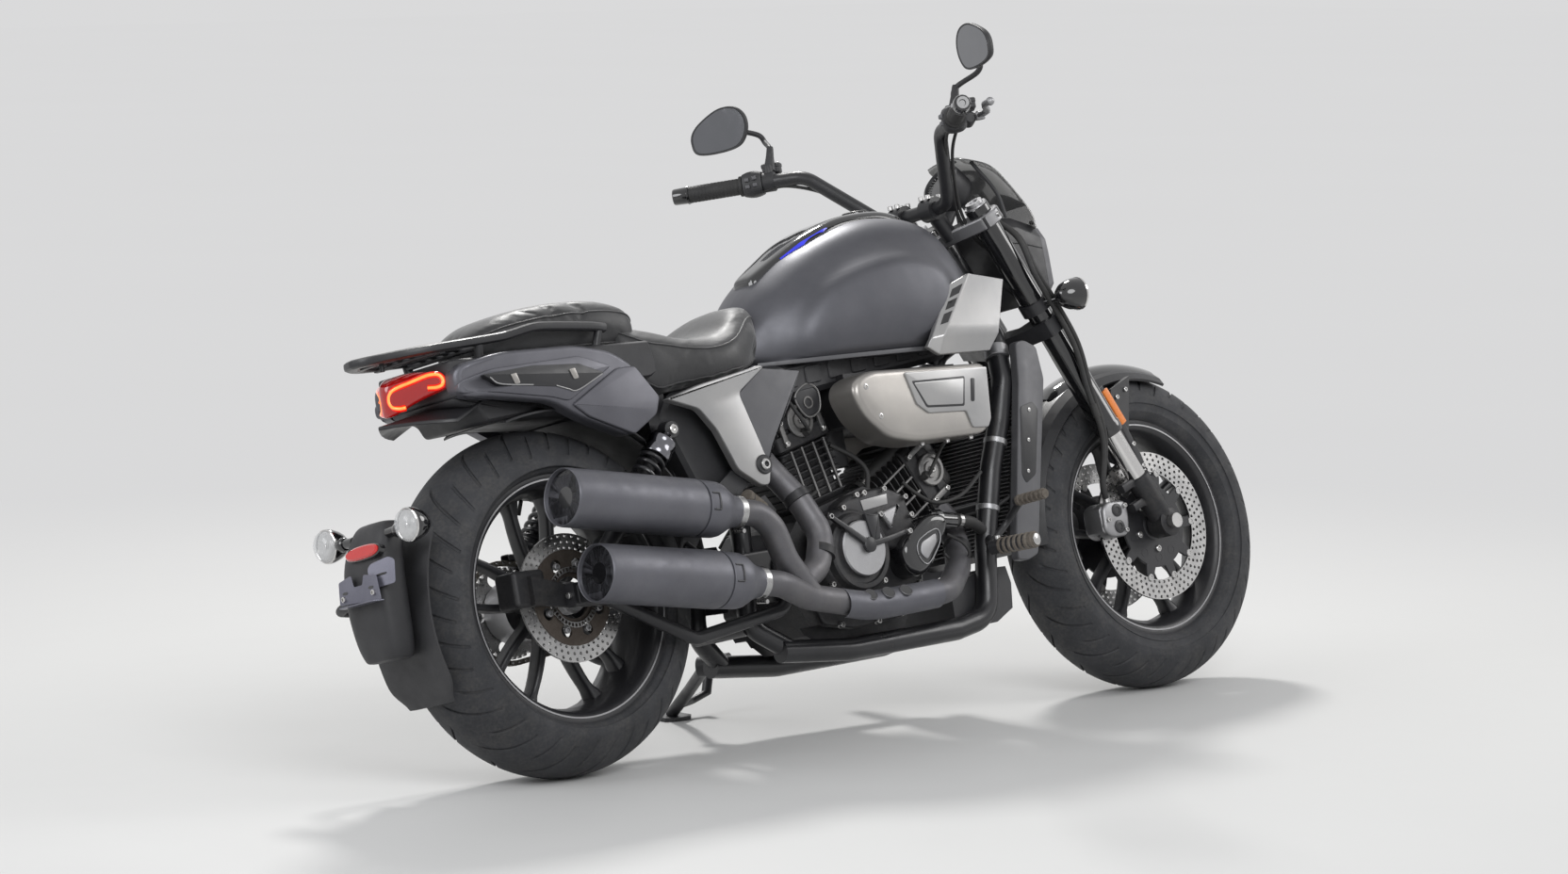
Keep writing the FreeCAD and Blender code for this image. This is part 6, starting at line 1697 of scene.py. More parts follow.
@dataclass
class Exhaust:
    """The mufflers with their seams, slots painted as dark lines of shade and open ends, the clamps, and the
    heat shield with its holes painted as dark discs of shade.
    """

    shop: Shop
    radius: float = 55.0
    shield_radius: float = 0.0285

    def build(self) -> None:
        """Makes the mufflers, clamps and shield."""
        shells, caps, bores, clamps = [], [], [], []
        for neck, end in (((310, -222, 438), (-95, -222, 500)), ((325, -235, 300), (-58, -235, 354))):
            neck, end = mm(neck), mm(end)
            along, n, r = unit(end - neck), float(np.linalg.norm(end - neck)) * 1000, self.radius
            shells.append(turned(mm([(0, 25), (0, 30), (10, 31.5), (24, 38), (38, 46), (46, 50.5), (56, 53),
                                     (95, 54.2), (96.5, 53.4), (97, 51), (101, 51), (101.5, 54), (104, r),
                                     (n - 8, r), (n - 2, r - 0.6), (n, r - 2), (n - 1, r - 3.4),
                                     (n - 9, r - 4.5), (n - 9, 20), (36, 20)]), neck, along, 72,
                                 closed=True))
            drop = unit(vec(along[2], 0, -along[0])) * 0.011 - SIDE * 0.006
            caps.append(turned(mm([(n - 9, 51), (n - 10, 48), (n - 20, 44), (n - 32, 38), (n - 38, 30),
                                   (n - 40, 0.01), (n - 44, 0.01), (n - 44, 51)]), neck, along, 60))
            bores.append(turned(mm([(n - 44, 24), (n - 14, 24), (n - 12, 23), (n - 14, 21), (n - 40, 21),
                                    (n - 40, 0.01), (n - 44, 0.01)]), neck + drop, along, 40))
            cross = unit(vec(along[2], 0, -along[0]))
            for a in (0.7, 2.6, 4.4):
                out = cross * math.cos(a) + SIDE * math.sin(a)
                clamps.append(bolt(neck + along * (n - 21) / 1000 + out * 0.043, along, 0.0045, 0.005))
            clamps.append(turned(mm([(-16, 28.5), (-14, 30.5), (-2, 30.5), (0, 28.5)]), neck, along, 40))
            clamps.append(bar(neck - along * 0.008 + vec(0, -0.012, -0.038), neck - along * 0.008
                              + vec(0, 0.016, -0.034), 0.0042, 12))
            # Each muffler's slot is painted shade: dark tubes along its outline on the uncut shell, where the
            # cut would be in shadow.
            t = np.linspace(1.15, 1.75, 16)
            slot = neck + along * 0.075 + (cross * np.cos(t)[:, None] - SIDE * np.sin(t)[:, None]) * 0.0540
            inner = [slot, slot[:1] + along * np.array([[0.0], [0.008], [0.016]]),
                     slot[-1:] + along * np.array([[0.0], [0.008], [0.016]])]
            bores += [tube(line, 0.0019, 8) for line in inner]
        self.shop.add("muffler_bodies", join(shells), "exhaust", Body.CHASSIS, ["mufflers"], 35, "exhaust")
        self.shop.add("muffler_dishes", join(caps), "black_gloss", Body.CHASSIS)
        self.shop.add("muffler_bores_and_slot_shade", join(bores), "black_satin", Body.CHASSIS)
        self.shop.add("muffler_clamps", join(clamps), "steel", Body.CHASSIS)
        self.shield()

    def shield(self) -> None:
        """A shell r = R over the outside of the lower header, with three holes drawn as dark discs of painted
        shade, and bands at the joints.
        """
        run = smooth_line(mm([(820, -186, 238), (740, -189, 234), (640, -191, 232), (560, -199, 243)]), 40)
        t = np.linspace(-1.5, 1.5, 20)
        rings = run[:, None] + np.stack([np.zeros(20), -np.cos(t), np.sin(t)], -1)[None] * self.shield_radius
        self.shop.add("heat_shield", slab(rings, (0, 0.0015, 0)), "exhaust", Body.CHASSIS)
        rims, holes = [], []
        for x in (718, 672, 626):
            at = mm([x, -190.5, 234]) + vec(0, -math.cos(0.62), math.sin(0.62)) * 0.0282
            out = vec(-0.10, -math.cos(0.62), math.sin(0.62))
            # The holes are painted shade: black gloss discs on the uncut shield where the openings would look
            # dark.
            holes.append(turned(mm([(-2, 11.5), (1.5, 11.5), (1.6, 0.01)]), at, out, 28))
            rims.append(turned(mm([(-1, 13.6), (1.6, 13.6), (2.6, 12.4), (1.2, 11.4)]), at, out, 28,
                               closed=True))
        self.shop.add("shield_hole_shade", join(holes), "black_gloss", Body.CHASSIS)
        self.shop.add("shield_rims", join(rims), "header", Body.CHASSIS)
        bands = [turned(mm([(-9, 26), (-8, 28), (8, 28), (9, 26)]), mm(p), d, 36) for p,
                 d in (((540, -148, 458), (0.15, -0.25, -0.6)), ((548, -181, 345), (-0.5, -0.15, -0.9)),
                       ((966, -114, 322), (-0.6, -0.45, -0.6)))]
        self.shop.add("header_bands", join(bands), "black_cast", Body.CHASSIS)


def sheet_loft(rings: Sequence, caps: bool = True) -> Shell:
    """Closed rings of points in millimetres, joined in order."""
    return grid(mm(rings), wrap_v=True, caps=caps)


@dataclass
class FrontEnd:
    """What turns with the bar: fork, clamps, headlight, screen, dial, controls, mirrors and brakes."""

    shop: Shop
    grip_in: tuple[float, float, float] = (990, 292, 1147)
    grip_out: tuple[float, float, float] = (890, 424, 1153)
    mirror_at: tuple[float, float, float] = (985, 385, 1278)
    mirror_turn: float = math.radians(18)

    def build(self) -> None:
        """Makes the whole front end."""
        self.fork()
        self.clamps()
        self.headlight()
        self.screen()
        self.dial()
        self.controls()
        self.mirrors()
        self.indicators()
        self.brakes()
        self.fender()

    def put(self, name: str, shell: Shell, finish: str, replaces: Sequence[str] = (), smooth: float = 35.0,
            slot: str | None = None, bevel: float = 0.0) -> bpy.types.Object:
        """Adds a piece on the steering body, on both sides of the bike."""
        return self.shop.add(name, both(shell), finish, Body.STEERING, replaces, smooth, slot, bevel)

    def fork(self) -> None:
        """Upside-down legs: a gloss outer tube, a bright inner tube, a seal and the foot with its lug."""
        foot = on_leg(0)
        outer = turned(mm([(222, 21), (223, 27), (228, 28.6), (243, 28.6), (247, 26.6), (420, 26.6),
                           (440, 26), (774, 26), (777, 24), (777, 21)]), foot, STEER_UP, 56)
        self.put("fork_outers", outer, "black_gloss", ["fork_legs"], 30, "black_metal")
        self.put("fork_inners", turned(mm([(104, 20.5), (224, 20.5)]), foot, STEER_UP, 56), "chrome")
        shoe = turned(mm([(6, 20), (20, 24), (60, 25), (108, 26.4), (114, 25.6), (117, 22), (117, 20.6)]),
                      foot, STEER_UP, 40)
        lug = turned(mm([(-22, 24), (-20, 29), (20, 29), (22, 26), (22, 13), (-22, 13)]), foot, closed=True)
        arm = [box_bar(np.array([on_leg(s, ahead=-0.004), on_leg(s + 0.018, ahead=-0.030),
                                 on_leg(s + 0.022, ahead=-0.058)]), 0.009, 0.010) for s in (0.052, 0.098)]
        self.put("fork_feet", join([shoe, lug] + arm), "black_cast")
        cap = turned(mm([(776, 25), (779, 24), (779, 19), (786, 18), (786, 10), (782, 9), (782, 0.01)]),
                     foot, STEER_UP, 40)
        self.put("fork_caps", cap, "alloy")
        run = np.array([on_leg(s, 0.116, 0.036) for s in (0.222, 0.304)])
        stay = np.array([on_leg(s, 0.113, a) for s, a in ((0.118, 0.022), (0.15, 0.028), (0.21, 0.033),
                                                          (0.312, 0.033))])
        self.put("fork_reflectors", box_bar(run, 0.0085, 0.0036), "amber", bevel=0.001)
        self.put("reflector_stays", box_bar(stay, 0.0075, 0.0016), "plastic")
        self.put("reflector_bolts", join([bolt(on_leg(s, 0.1145, a), SIDE, 0.005, 0.004) for s,
                                          a in ((0.126, 0.024), (0.175, 0.030))]), "steel")

    def clamps(self) -> None:
        """A cover over the upper clamp, pinch bolts on both clamps, the stem's nut and the bar's bolts."""
        def lie(q: Array, depth: Array) -> Array:
            """Points across the steering axis, at a depth along it."""
            return STEER_FOOT + depth[:, None] * STEER_UP + q[:, :1] * STEER_AHEAD + q[:, 1:] * SIDE

        right = [(-23, 24), (17, 138), (61, 144), (80, 122), (80, 82), (22, 50)]
        loop = rounded_loop(mm(right + [(a, -y) for a, y in reversed(right)]), 0.014, 4)
        top = plate(loop, 0.7295, 0.7575, 0.003, lie)
        self.shop.add("upper_clamp_cover", top, "alloy", Body.STEERING, smooth=30)
        bolts = [bolt(STEER_FOOT + STEER_UP * s + STEER_AHEAD * a + SIDE * 0.139, unit(vec(0.5, 1, 0.2)),
                      0.006, 0.006) for s, a in ((0.480, 0.056), (0.496, 0.056), (0.743, 0.052))]
        self.put("clamp_bolts", join(bolts), "steel")
        nut = turned(mm([(757, 21), (768, 21), (771, 18), (771, 11), (766, 10), (766, 0.01)]), STEER_FOOT,
                     STEER_UP, 6)
        self.shop.add("stem_nut", nut, "steel", Body.STEERING)
        caps = [bolt(mm([1128 + dx, y, 1037]), (0, 0, 1), 0.0052, 0.006) for dx in (-15, 15)
                for y in (36, 56)]
        self.put("bar_clamp_bolts", join(caps), "steel")

    def headlight(self) -> None:
        """The nacelle: chamfered rings with a fold along its flank, a bezel, a clear front and two lamps."""
        def ring(x: float, low: float, high: float, half: float, cut: float, fold: float = 0.0) -> list:
            """A chamfered ring of the nacelle, with its fold pushed outwards."""
            right = [(half - cut, low), (half, low + cut), (half + fold, high - cut - 34),
                     (half + fold - 2, high - cut - 8), (half - cut, high)]
            return [(x, y, z) for y, z in right] + [(x, -y, z) for y, z in reversed(right)]

        body = sheet_loft([ring(1268, 850, 985, 68, 14), ring(1272, 848, 986, 71, 14, 2),
                           ring(1330, 802, 985, 74, 16, 3), ring(1392, 816, 966, 75, 18, 1)])
        self.shop.add("headlight_nacelle", body, "black_satin", Body.STEERING, ["headlight_shell"], 20,
                      "black_plastic", bevel=0.003)
        bezel = sheet_loft([ring(1391, 818, 965, 74, 18), ring(1407, 824, 960, 73.5, 18),
                            ring(1409, 834, 951, 65, 16), ring(1398, 836, 949, 64, 16)])
        self.shop.add("headlight_bezel", bezel, "grey_plastic", Body.STEERING, smooth=20, bevel=0.0012)
        front = sheet_loft([ring(1404, 834, 951, 64, 16), ring(1420, 842, 944, 60, 18),
                            ring(1428, 852, 934, 48, 20)])
        self.shop.add("headlight_front", front, "clear_lens", Body.STEERING, ["headlight_lens"], 20,
                      "clear_lens", bevel=0.003)
        lamps = [turned(mm([(-12, 27), (4, 26), (6, 22), (2, 20), (10, 12), (12, 0.01)]), mm([1401, y, 892]),
                        (1, 0, 0), 40) for y in (-30, 30)]
        self.shop.add("headlight_lamps", join(lamps), "chrome", Body.STEERING, smooth=50)
        seam = smooth_line(mm([(1276, 73.6, 932), (1330, 77.4, 928), (1388, 76.2, 916)]), 16)
        self.put("nacelle_seams", tube(seam, 0.0014, 8), "black_gloss")
        ear = raised([(1262, 930), (1316, 905), (1330, 870), (1300, 842), (1262, 862)], 66, 78, 2, 8)
        arm = bar(mm([1272, 70, 890]), mm([1260, 88, 893]), 0.009)
        self.put("headlight_ears", join([ear, arm, bolt(mm([1296, 77.5, 880]), (0, 1, 0), 0.006, 0.005)]),
                 "plastic")

    def screen(self) -> None:
        """The fly screen: a side profile swept across, x falling by k u^2, its width narrowing to the top."""
        side = smooth_line(mm([(1247, 1123), (1262, 1117), (1302, 1096), (1348, 1048), (1388, 994),
                               (1396, 958)]), 40)
        v = np.linspace(0, 1, 40)[:, None]
        u = np.linspace(-1, 1, 25)[None]
        w = 0.050 + 0.030 * softstep(v, 0.0, 0.48)
        p = np.stack(np.broadcast_arrays(side[:, :1] - 0.016 * u**2, w * u,
                                         side[:, 1:] - 0.010 * np.abs(u) ** 3 * (1 - v)), -1)
        upper, lower = p[:30], p[29:]
        self.shop.add("screen_upper", slab(upper, mm([-3, 0, -2])), "smoked", Body.STEERING, ["fly_screen"],
                      40, "smoked_screen", bevel=0.0008)
        self.shop.add("screen_lower", slab(lower, mm([-3, 0, -2])), "smoked_pale", Body.STEERING, smooth=40)
        bolts = [bolt(p[i, j] + mm([1, 0, 0.5]), unit(vec(0.8, 0, 0.5)), 0.005, 0.003) for i in (25, 36)
                 for j in (3, 21)]
        self.shop.add("screen_bolts", join(bolts), "black_satin", Body.STEERING)
        frame = [tube(smooth_line(mm([(1262, 44, 1108), (1300, 62, 1040), (1310, 68, 985)]), 16), 0.004, 10)]
        self.put("screen_stays", join(frame), "plastic")

    def dial(self) -> None:
        """The round dial: a housing, a bezel, a dark glass with fine marks, and its foot."""
        at, axis = mm([1214, 0, 1072]), unit(vec(34, 0, -28))
        case = turned(mm([(2, 41), (-4, 43), (-5, 45), (0, 46), (36, 45), (48, 39), (58, 24), (60, 0.01)]),
                      at, axis, 56)
        foot = tube(smooth_line(mm([(1180, 0, 968), (1208, 0, 992), (1236, 0, 1030)]), 16), 0.012)
        self.shop.add("dial_case", join([case, foot]), "plastic", Body.STEERING, ["instrument"], 40,
                      "black_plastic")
        self.shop.add("dial_glass", turned(mm([(3, 42), (1.5, 41.5), (0, 0.01)]), at, axis, 56),
                      "black_gloss", Body.STEERING)
        across, up = SIDE, np.cross(axis, SIDE)
        marks = [box_bar(np.array([at - axis * 0.0012 + (across * math.cos(a) + up * math.sin(a)) * r
                                   for r in (0.031, 0.036)]), 0.0007, 0.0005)
                 for a in np.linspace(-0.6, math.pi + 0.6, 23)]
        self.shop.add("dial_marks", join(marks), "silver", Body.STEERING)

    def controls(self) -> None:
        """Ribbed grips with end weights, switch pods with keys, reservoirs, lever blades and the wires."""
        a, b = mm(self.grip_in), mm(self.grip_out)
        along, length = unit(b - a), float(np.linalg.norm(b - a))
        ahead, up = unit(np.cross(along, vec(0, 0, 1))), vec(0, 0, 1)
        s, t = np.linspace(0.043, length - 0.016, 90)[:, None], np.linspace(0, TAU, 48, endpoint=False)[None]
        r = 0.0166 + 0.0006 * (np.abs(np.sin(s * 420)) > 0.35) * (np.abs(np.sin(t * 3)) > 0.25)
        x, y = unit(np.cross(along, ahead)), ahead
        skin = a + s[..., None] * along + r[..., None] * (np.cos(t)[..., None] * x
                                                          + np.sin(t)[..., None] * y)
        flange = turned(mm([(35, 17), (36, 21), (42, 21), (44, 17)]), a, along, 40)
        self.put("grip_rubbers", join([grid(skin, wrap_v=True, caps=True), flange]), "rubber", ["grips"], 25,
                 "rubber")
        end = turned(mm([(-17, 17), (-16, 19), (-13, 19.4), (-12, 17.6), (-9, 17.6), (14, 17), (17, 15.5),
                         (18, 12), (18, 7), (14, 6), (14, 0.01)]), b, along, 40)
        self.put("bar_weights", end, "black_gloss")
        pod = box_bar(np.array([a + along * d for d in np.linspace(-0.006, 0.034, 5)]),
                      mm([23, 26, 27, 26, 23]), mm([21, 24, 25, 24, 21]), ahead, 3.2, 28)
        bracket = turned(mm([(-32, 19), (-30, 20.5), (-8, 20.5), (-6, 19)]), a, along, 36)
        pump = turned(mm([(-44, 9), (-42, 12), (4, 12), (7, 9)]), a + ahead * 0.034, along, 28)
        neck = bar(a - along * 0.022 + ahead * 0.010, a - along * 0.022 + ahead * 0.036, 0.011)
        boss = turned(mm([(8, 11), (30, 9.5), (34, 8), (34, 0.01)]), a - along * 0.020, up, 24)
        box = [(-19, -15), (19, -15), (19, 15), (-19, 15)]
        rings = []
        for z, k in ((20, 0.8), (24, 1.0), (34, 1.0), (35, 1.06), (41, 1.06), (43, 0.94)):
            loop = rounded_loop(np.array(box, float) * k, 8.0, 4) / 1000
            rings.append(a - along * 0.022 + ahead * 0.036 + loop[:, :1] * along + loop[:, 1:] * ahead
                         + up * (z - 2) / 1000)
        cup = grid(np.array(rings), wrap_v=True, caps=True)
        self.put("switch_pods", join([pod, bracket, pump, neck, boss, cup]), "plastic", ["bar_controls"], 35,
                 "black_plastic")
        keys = [box_bar(np.array([a + along * d - ahead * 0.0235 + up * z, a + along * (d + 0.009)
                                  - ahead * 0.0235 + up * z]), 0.004, 0.0045) for d,
                z in ((0.002, 0.010), (0.002, -0.004), (0.018, 0.008), (0.018, -0.006))]
        lids = [bolt(a - along * (0.022 + e) + ahead * 0.036 + up * 0.041, up, 0.0032, 0.002)
                for e in (-0.014, 0.014)]
        self.put("switch_keys", join(keys), "grey_plastic")
        pivot = a + along * 0.004 + ahead * 0.052
        self.put("control_screws", join(lids + [bolt(pivot + up * 0.006, up, 0.006, 0.004)]), "steel")
        run = smooth_line([pivot, a + along * 0.050 + ahead * 0.062, a + along * 0.120 + ahead * 0.050,
                           a + along * 0.150 + ahead * 0.058], 40)
        blade = box_bar(run, np.linspace(0.0075, 0.0045, 40), np.linspace(0.0042, 0.0062, 40), up)
        knob = turned(0.0085 * np.stack([-np.cos(np.linspace(0.02, 3.12, 16)),
                                         np.sin(np.linspace(0.02, 3.12, 16))], -1), run[-1], along, 24)
        root = turned(mm([(-7, 10), (-6, 11), (6, 11), (7, 10)]), pivot, up, 28)
        self.put("lever_blades", join([blade, knob, root]), "alloy", (), 45)
        wires = [mm([(984, 286, 1128), (1014, 244, 1130), (1056, 190, 1104), (1093, 150, 1061),
                     (1146, 98, 1004), (1182, 76, 968), (1238, 60, 930)]),
                 mm([(1010, 300, 1142), (1042, 246, 1138), (1072, 192, 1106), (1108, 146, 1056),
                     (1158, 98, 994), (1202, 80, 950), (1262, 60, 912)])]
        self.put("bar_wires", join([tube(smooth_line(w, 60), 0.0034, 10) for w in wires]), "rubber",
                 smooth=60)

    def mirrors(self) -> None:
        """The mirrors: an outline shrunk and set back in steps, a glass in its rim, and a bent stem."""
        toward = vec(-math.cos(self.mirror_turn), -math.sin(self.mirror_turn), 0)
        side = vec(toward[1], -toward[0], 0)
        corners = smooth_line(mm([(-70, -14), (-60, -38), (-12, -46), (42, -41), (66, -14), (67, 18),
                                  (46, 41), (6, 45), (-40, 27), (-64, 8)]), 60, True)
        rings = [mm(self.mirror_at) - toward * back / 1000
                 + (side * -corners[:, :1] + vec(0, 0, 1) * corners[:, 1:]) * k for back,
                 k in ((1.5, 0.90), (0, 0.93), (0, 0.985), (3, 1.0), (8, 0.985), (14, 0.90), (19, 0.74),
                       (22, 0.5), (23, 0.2))]
        self.put("mirror_shells", grid(np.array(rings), wrap_v=True, caps=True), "plastic", ["mirrors"], 45,
                 "black_plastic")
        glass = [mm(self.mirror_at) - toward * back
                 + (side * -corners[:, :1] + vec(0, 0, 1) * corners[:, 1:]) * k for back,
                 k in ((0.0012, 0.915), (0.0004, 0.91), (0.0002, 0.5), (0.0001, 0.1))]
        self.put("mirror_glasses", grid(np.array(glass), wrap_v=True, caps=True), "mirror_glass", smooth=60)
        base = mm(self.grip_in) + mm([22, -12, 30])
        stem = smooth_line([base, base + mm([10, 1, 36]), mm([1050, 322, 1236]), mm([1046, 336, 1256]),
                            mm(self.mirror_at) + mm([16, -30, -6])], 60)
        boot = turned(mm([(-8, 12), (2, 11), (24, 8), (40, 7), (44, 6), (44, 5)]), base,
                      unit(vec(0.28, 0.03, 1)), 28)
        self.put("mirror_stems", join([tube(stem, 0.0055, 14), boot]), "plastic", smooth=50)

    def indicators(self) -> None:
        """The bullet indicators: collar, stalk, teardrop shell, bright ring, clear lens and an amber bulb."""
        at, axis = mm([1336, 190, 800]), unit(vec(1, 0.1, 0))
        shell = turned(mm([(-42, 0.01), (-41, 6), (-36, 15), (-26, 23.5), (-12, 30), (2, 32.8), (11, 33),
                           (11, 30)]), at, axis, 44)
        collar = turned(mm([(522, 27), (523, 32), (547, 32), (548, 27)]), on_leg(0), STEER_UP, 44)
        self.put("indicator_shells", join([shell, bar(on_leg(0.535, 0.130), mm([1326, 172, 797]), 0.008)]),
                 "black_gloss", ["front_indicators"], 45, "clear_lens")
        self.put("indicator_collars", collar, "black_satin")
        self.put("indicator_rings", turned(mm([(10, 33.6), (14, 33.6), (15, 31), (10, 31)]), at, axis, 44,
                                           closed=True), "chrome")
        self.put("indicator_lenses", turned(mm([(13, 32), (17, 31), (20, 27), (22, 18), (22.5, 0.01)]), at,
                                            axis, 44), "clear_lens", smooth=50)
        self.put("indicator_bulbs", turned(mm([(4, 12), (12, 12), (17, 8), (18, 0.01)]), at, axis, 28),
                 "amber", smooth=50)

    def brakes(self) -> None:
        """The calipers: two halves over the disc with piston caps and bolts, and the hoses from above."""
        c = vec(WHEELBASE, 0, FRONT_R) * 1000
        outline = [(c[0] + x, c[2] + z) for x, z in ((-166, 44), (-150, 58), (-100, 58), (-92, 40), (-96, 4),
                                                     (-106, -16), (-150, -16), (-168, 0))]
        halves = [raised(outline, 75.5, 104, 8, 12), raised(outline, 66.5, 42, 6, 12)]
        bridge = raised([(c[0] - 170, c[2] + 44), (c[0] - 160, c[2] + 52), (c[0] - 158, c[2] - 8),
                         (c[0] - 168, c[2] - 2)], 50, 96, 3, 4)
        self.put("caliper_bodies", join(halves + [bridge]), "alloy", ["front_calipers"], 35, "alloy")
        caps = [turned(mm([(-1, 13.5), (2, 13.5), (3, 12), (3, 7), (1.5, 6), (1.5, 0.01)]),
                       mm([c[0] - 128, 103.6, c[2] + z]), steps=36) for z in (4, 38)]
        self.put("caliper_caps", join(caps), "black_satin")
        bolts = [bolt(mm([c[0] + x, 103.5, c[2] + z]), SIDE, 0.0052, 0.005) for x,
                 z in ((-156, 20), (-104, 46), (-110, -4))]
        banjo = turned(mm([(-2, 8), (6, 8), (8, 6), (12, 5), (12, 0.01)]), mm([c[0] - 140, 92, c[2] + 58]),
                       (0, 0, 1), 20)
        self.put("caliper_bolts", join(bolts + [banjo]), "steel")
        run = smooth_line([mm([c[0] - 140, 92, c[2] + 64]), mm([1400, 114, 420]),
                           on_leg(0.24, 0.134, -0.052), on_leg(0.34, 0.140, -0.026),
                           on_leg(0.43, 0.146, 0.0), on_leg(0.53, 0.148, 0.004), on_leg(0.60, 0.147, 0.006),
                           on_leg(0.67, 0.134, 0.030), on_leg(0.72, 0.104, 0.034)], 70)
        self.put("brake_hoses",
                 join([tube(run, 0.0058, 14),
                       tube(run + STEER_AHEAD * 0.013 * np.sin(np.linspace(0, math.pi, 70))[:, None], 0.0050,
                            14), turned(mm([(-14, 7.4), (14, 7.4)]), run[22], unit(run[23] - run[21]), 20)]),
                 "rubber", smooth=60)

    def fender(self) -> None:
        """A raised visor along the mudguard's crown: r = R + 18 + 5 (1 - u^4), fading out at both ends."""
        t, u = np.radians(np.linspace(-19, 34, 40))[:, None], np.linspace(-1, 1, 25)[None]
        half = 0.058 * (1 - 0.35 * np.clip(t / 0.6, 0, 1) ** 2)
        ease = np.minimum(1, (np.radians(34) - t) / 0.12)
        r = FRONT_R + 0.0175 + 0.0065 * ease * (1 - u**4) - 0.055 * np.abs(half * u / 0.082) ** 2.4
        p = np.stack(np.broadcast_arrays(WHEELBASE - r * np.sin(t), half * u, FRONT_R + r * np.cos(t)), -1)
        self.shop.add("fender_visor", slab(p, (0, 0, -0.004)), "black_gloss", Body.STEERING, smooth=50)
        bolts = [bolt(vec(WHEELBASE, 0, FRONT_R) + mm([x, 87, z]), SIDE, 0.005, 0.004) for x,
                 z in ((-52, 270), (-24, 284), (-78, 190), (-92, 160))]
        self.put("fender_bolts", join(bolts), "steel")


def oval(width: float, height: float, count: int = 28, power: float = 2.6) -> Array:
    """The outline |a / width|^n + |b / height|^n = 1."""
    t = np.linspace(0, TAU, count, endpoint=False)
    k = (np.abs(np.cos(t)) ** power + np.abs(np.sin(t)) ** power) ** (-1 / power)
    return np.stack([width * k * np.cos(t), height * k * np.sin(t)], -1)


def facing(origin: Sequence[float], right: Sequence[float],
           up: Sequence[float]) -> Callable[[Array, Array], Array]:
    """A place function for plates that stand in a plane: origin + a right + b up + depth normal."""
    at, a, b = mm(origin), unit(vec(*right)), unit(vec(*up))
    n = np.cross(a, b)
    return lambda q, depth: at + q[:, :1] * a + q[:, 1:] * b + depth[:, None] * n


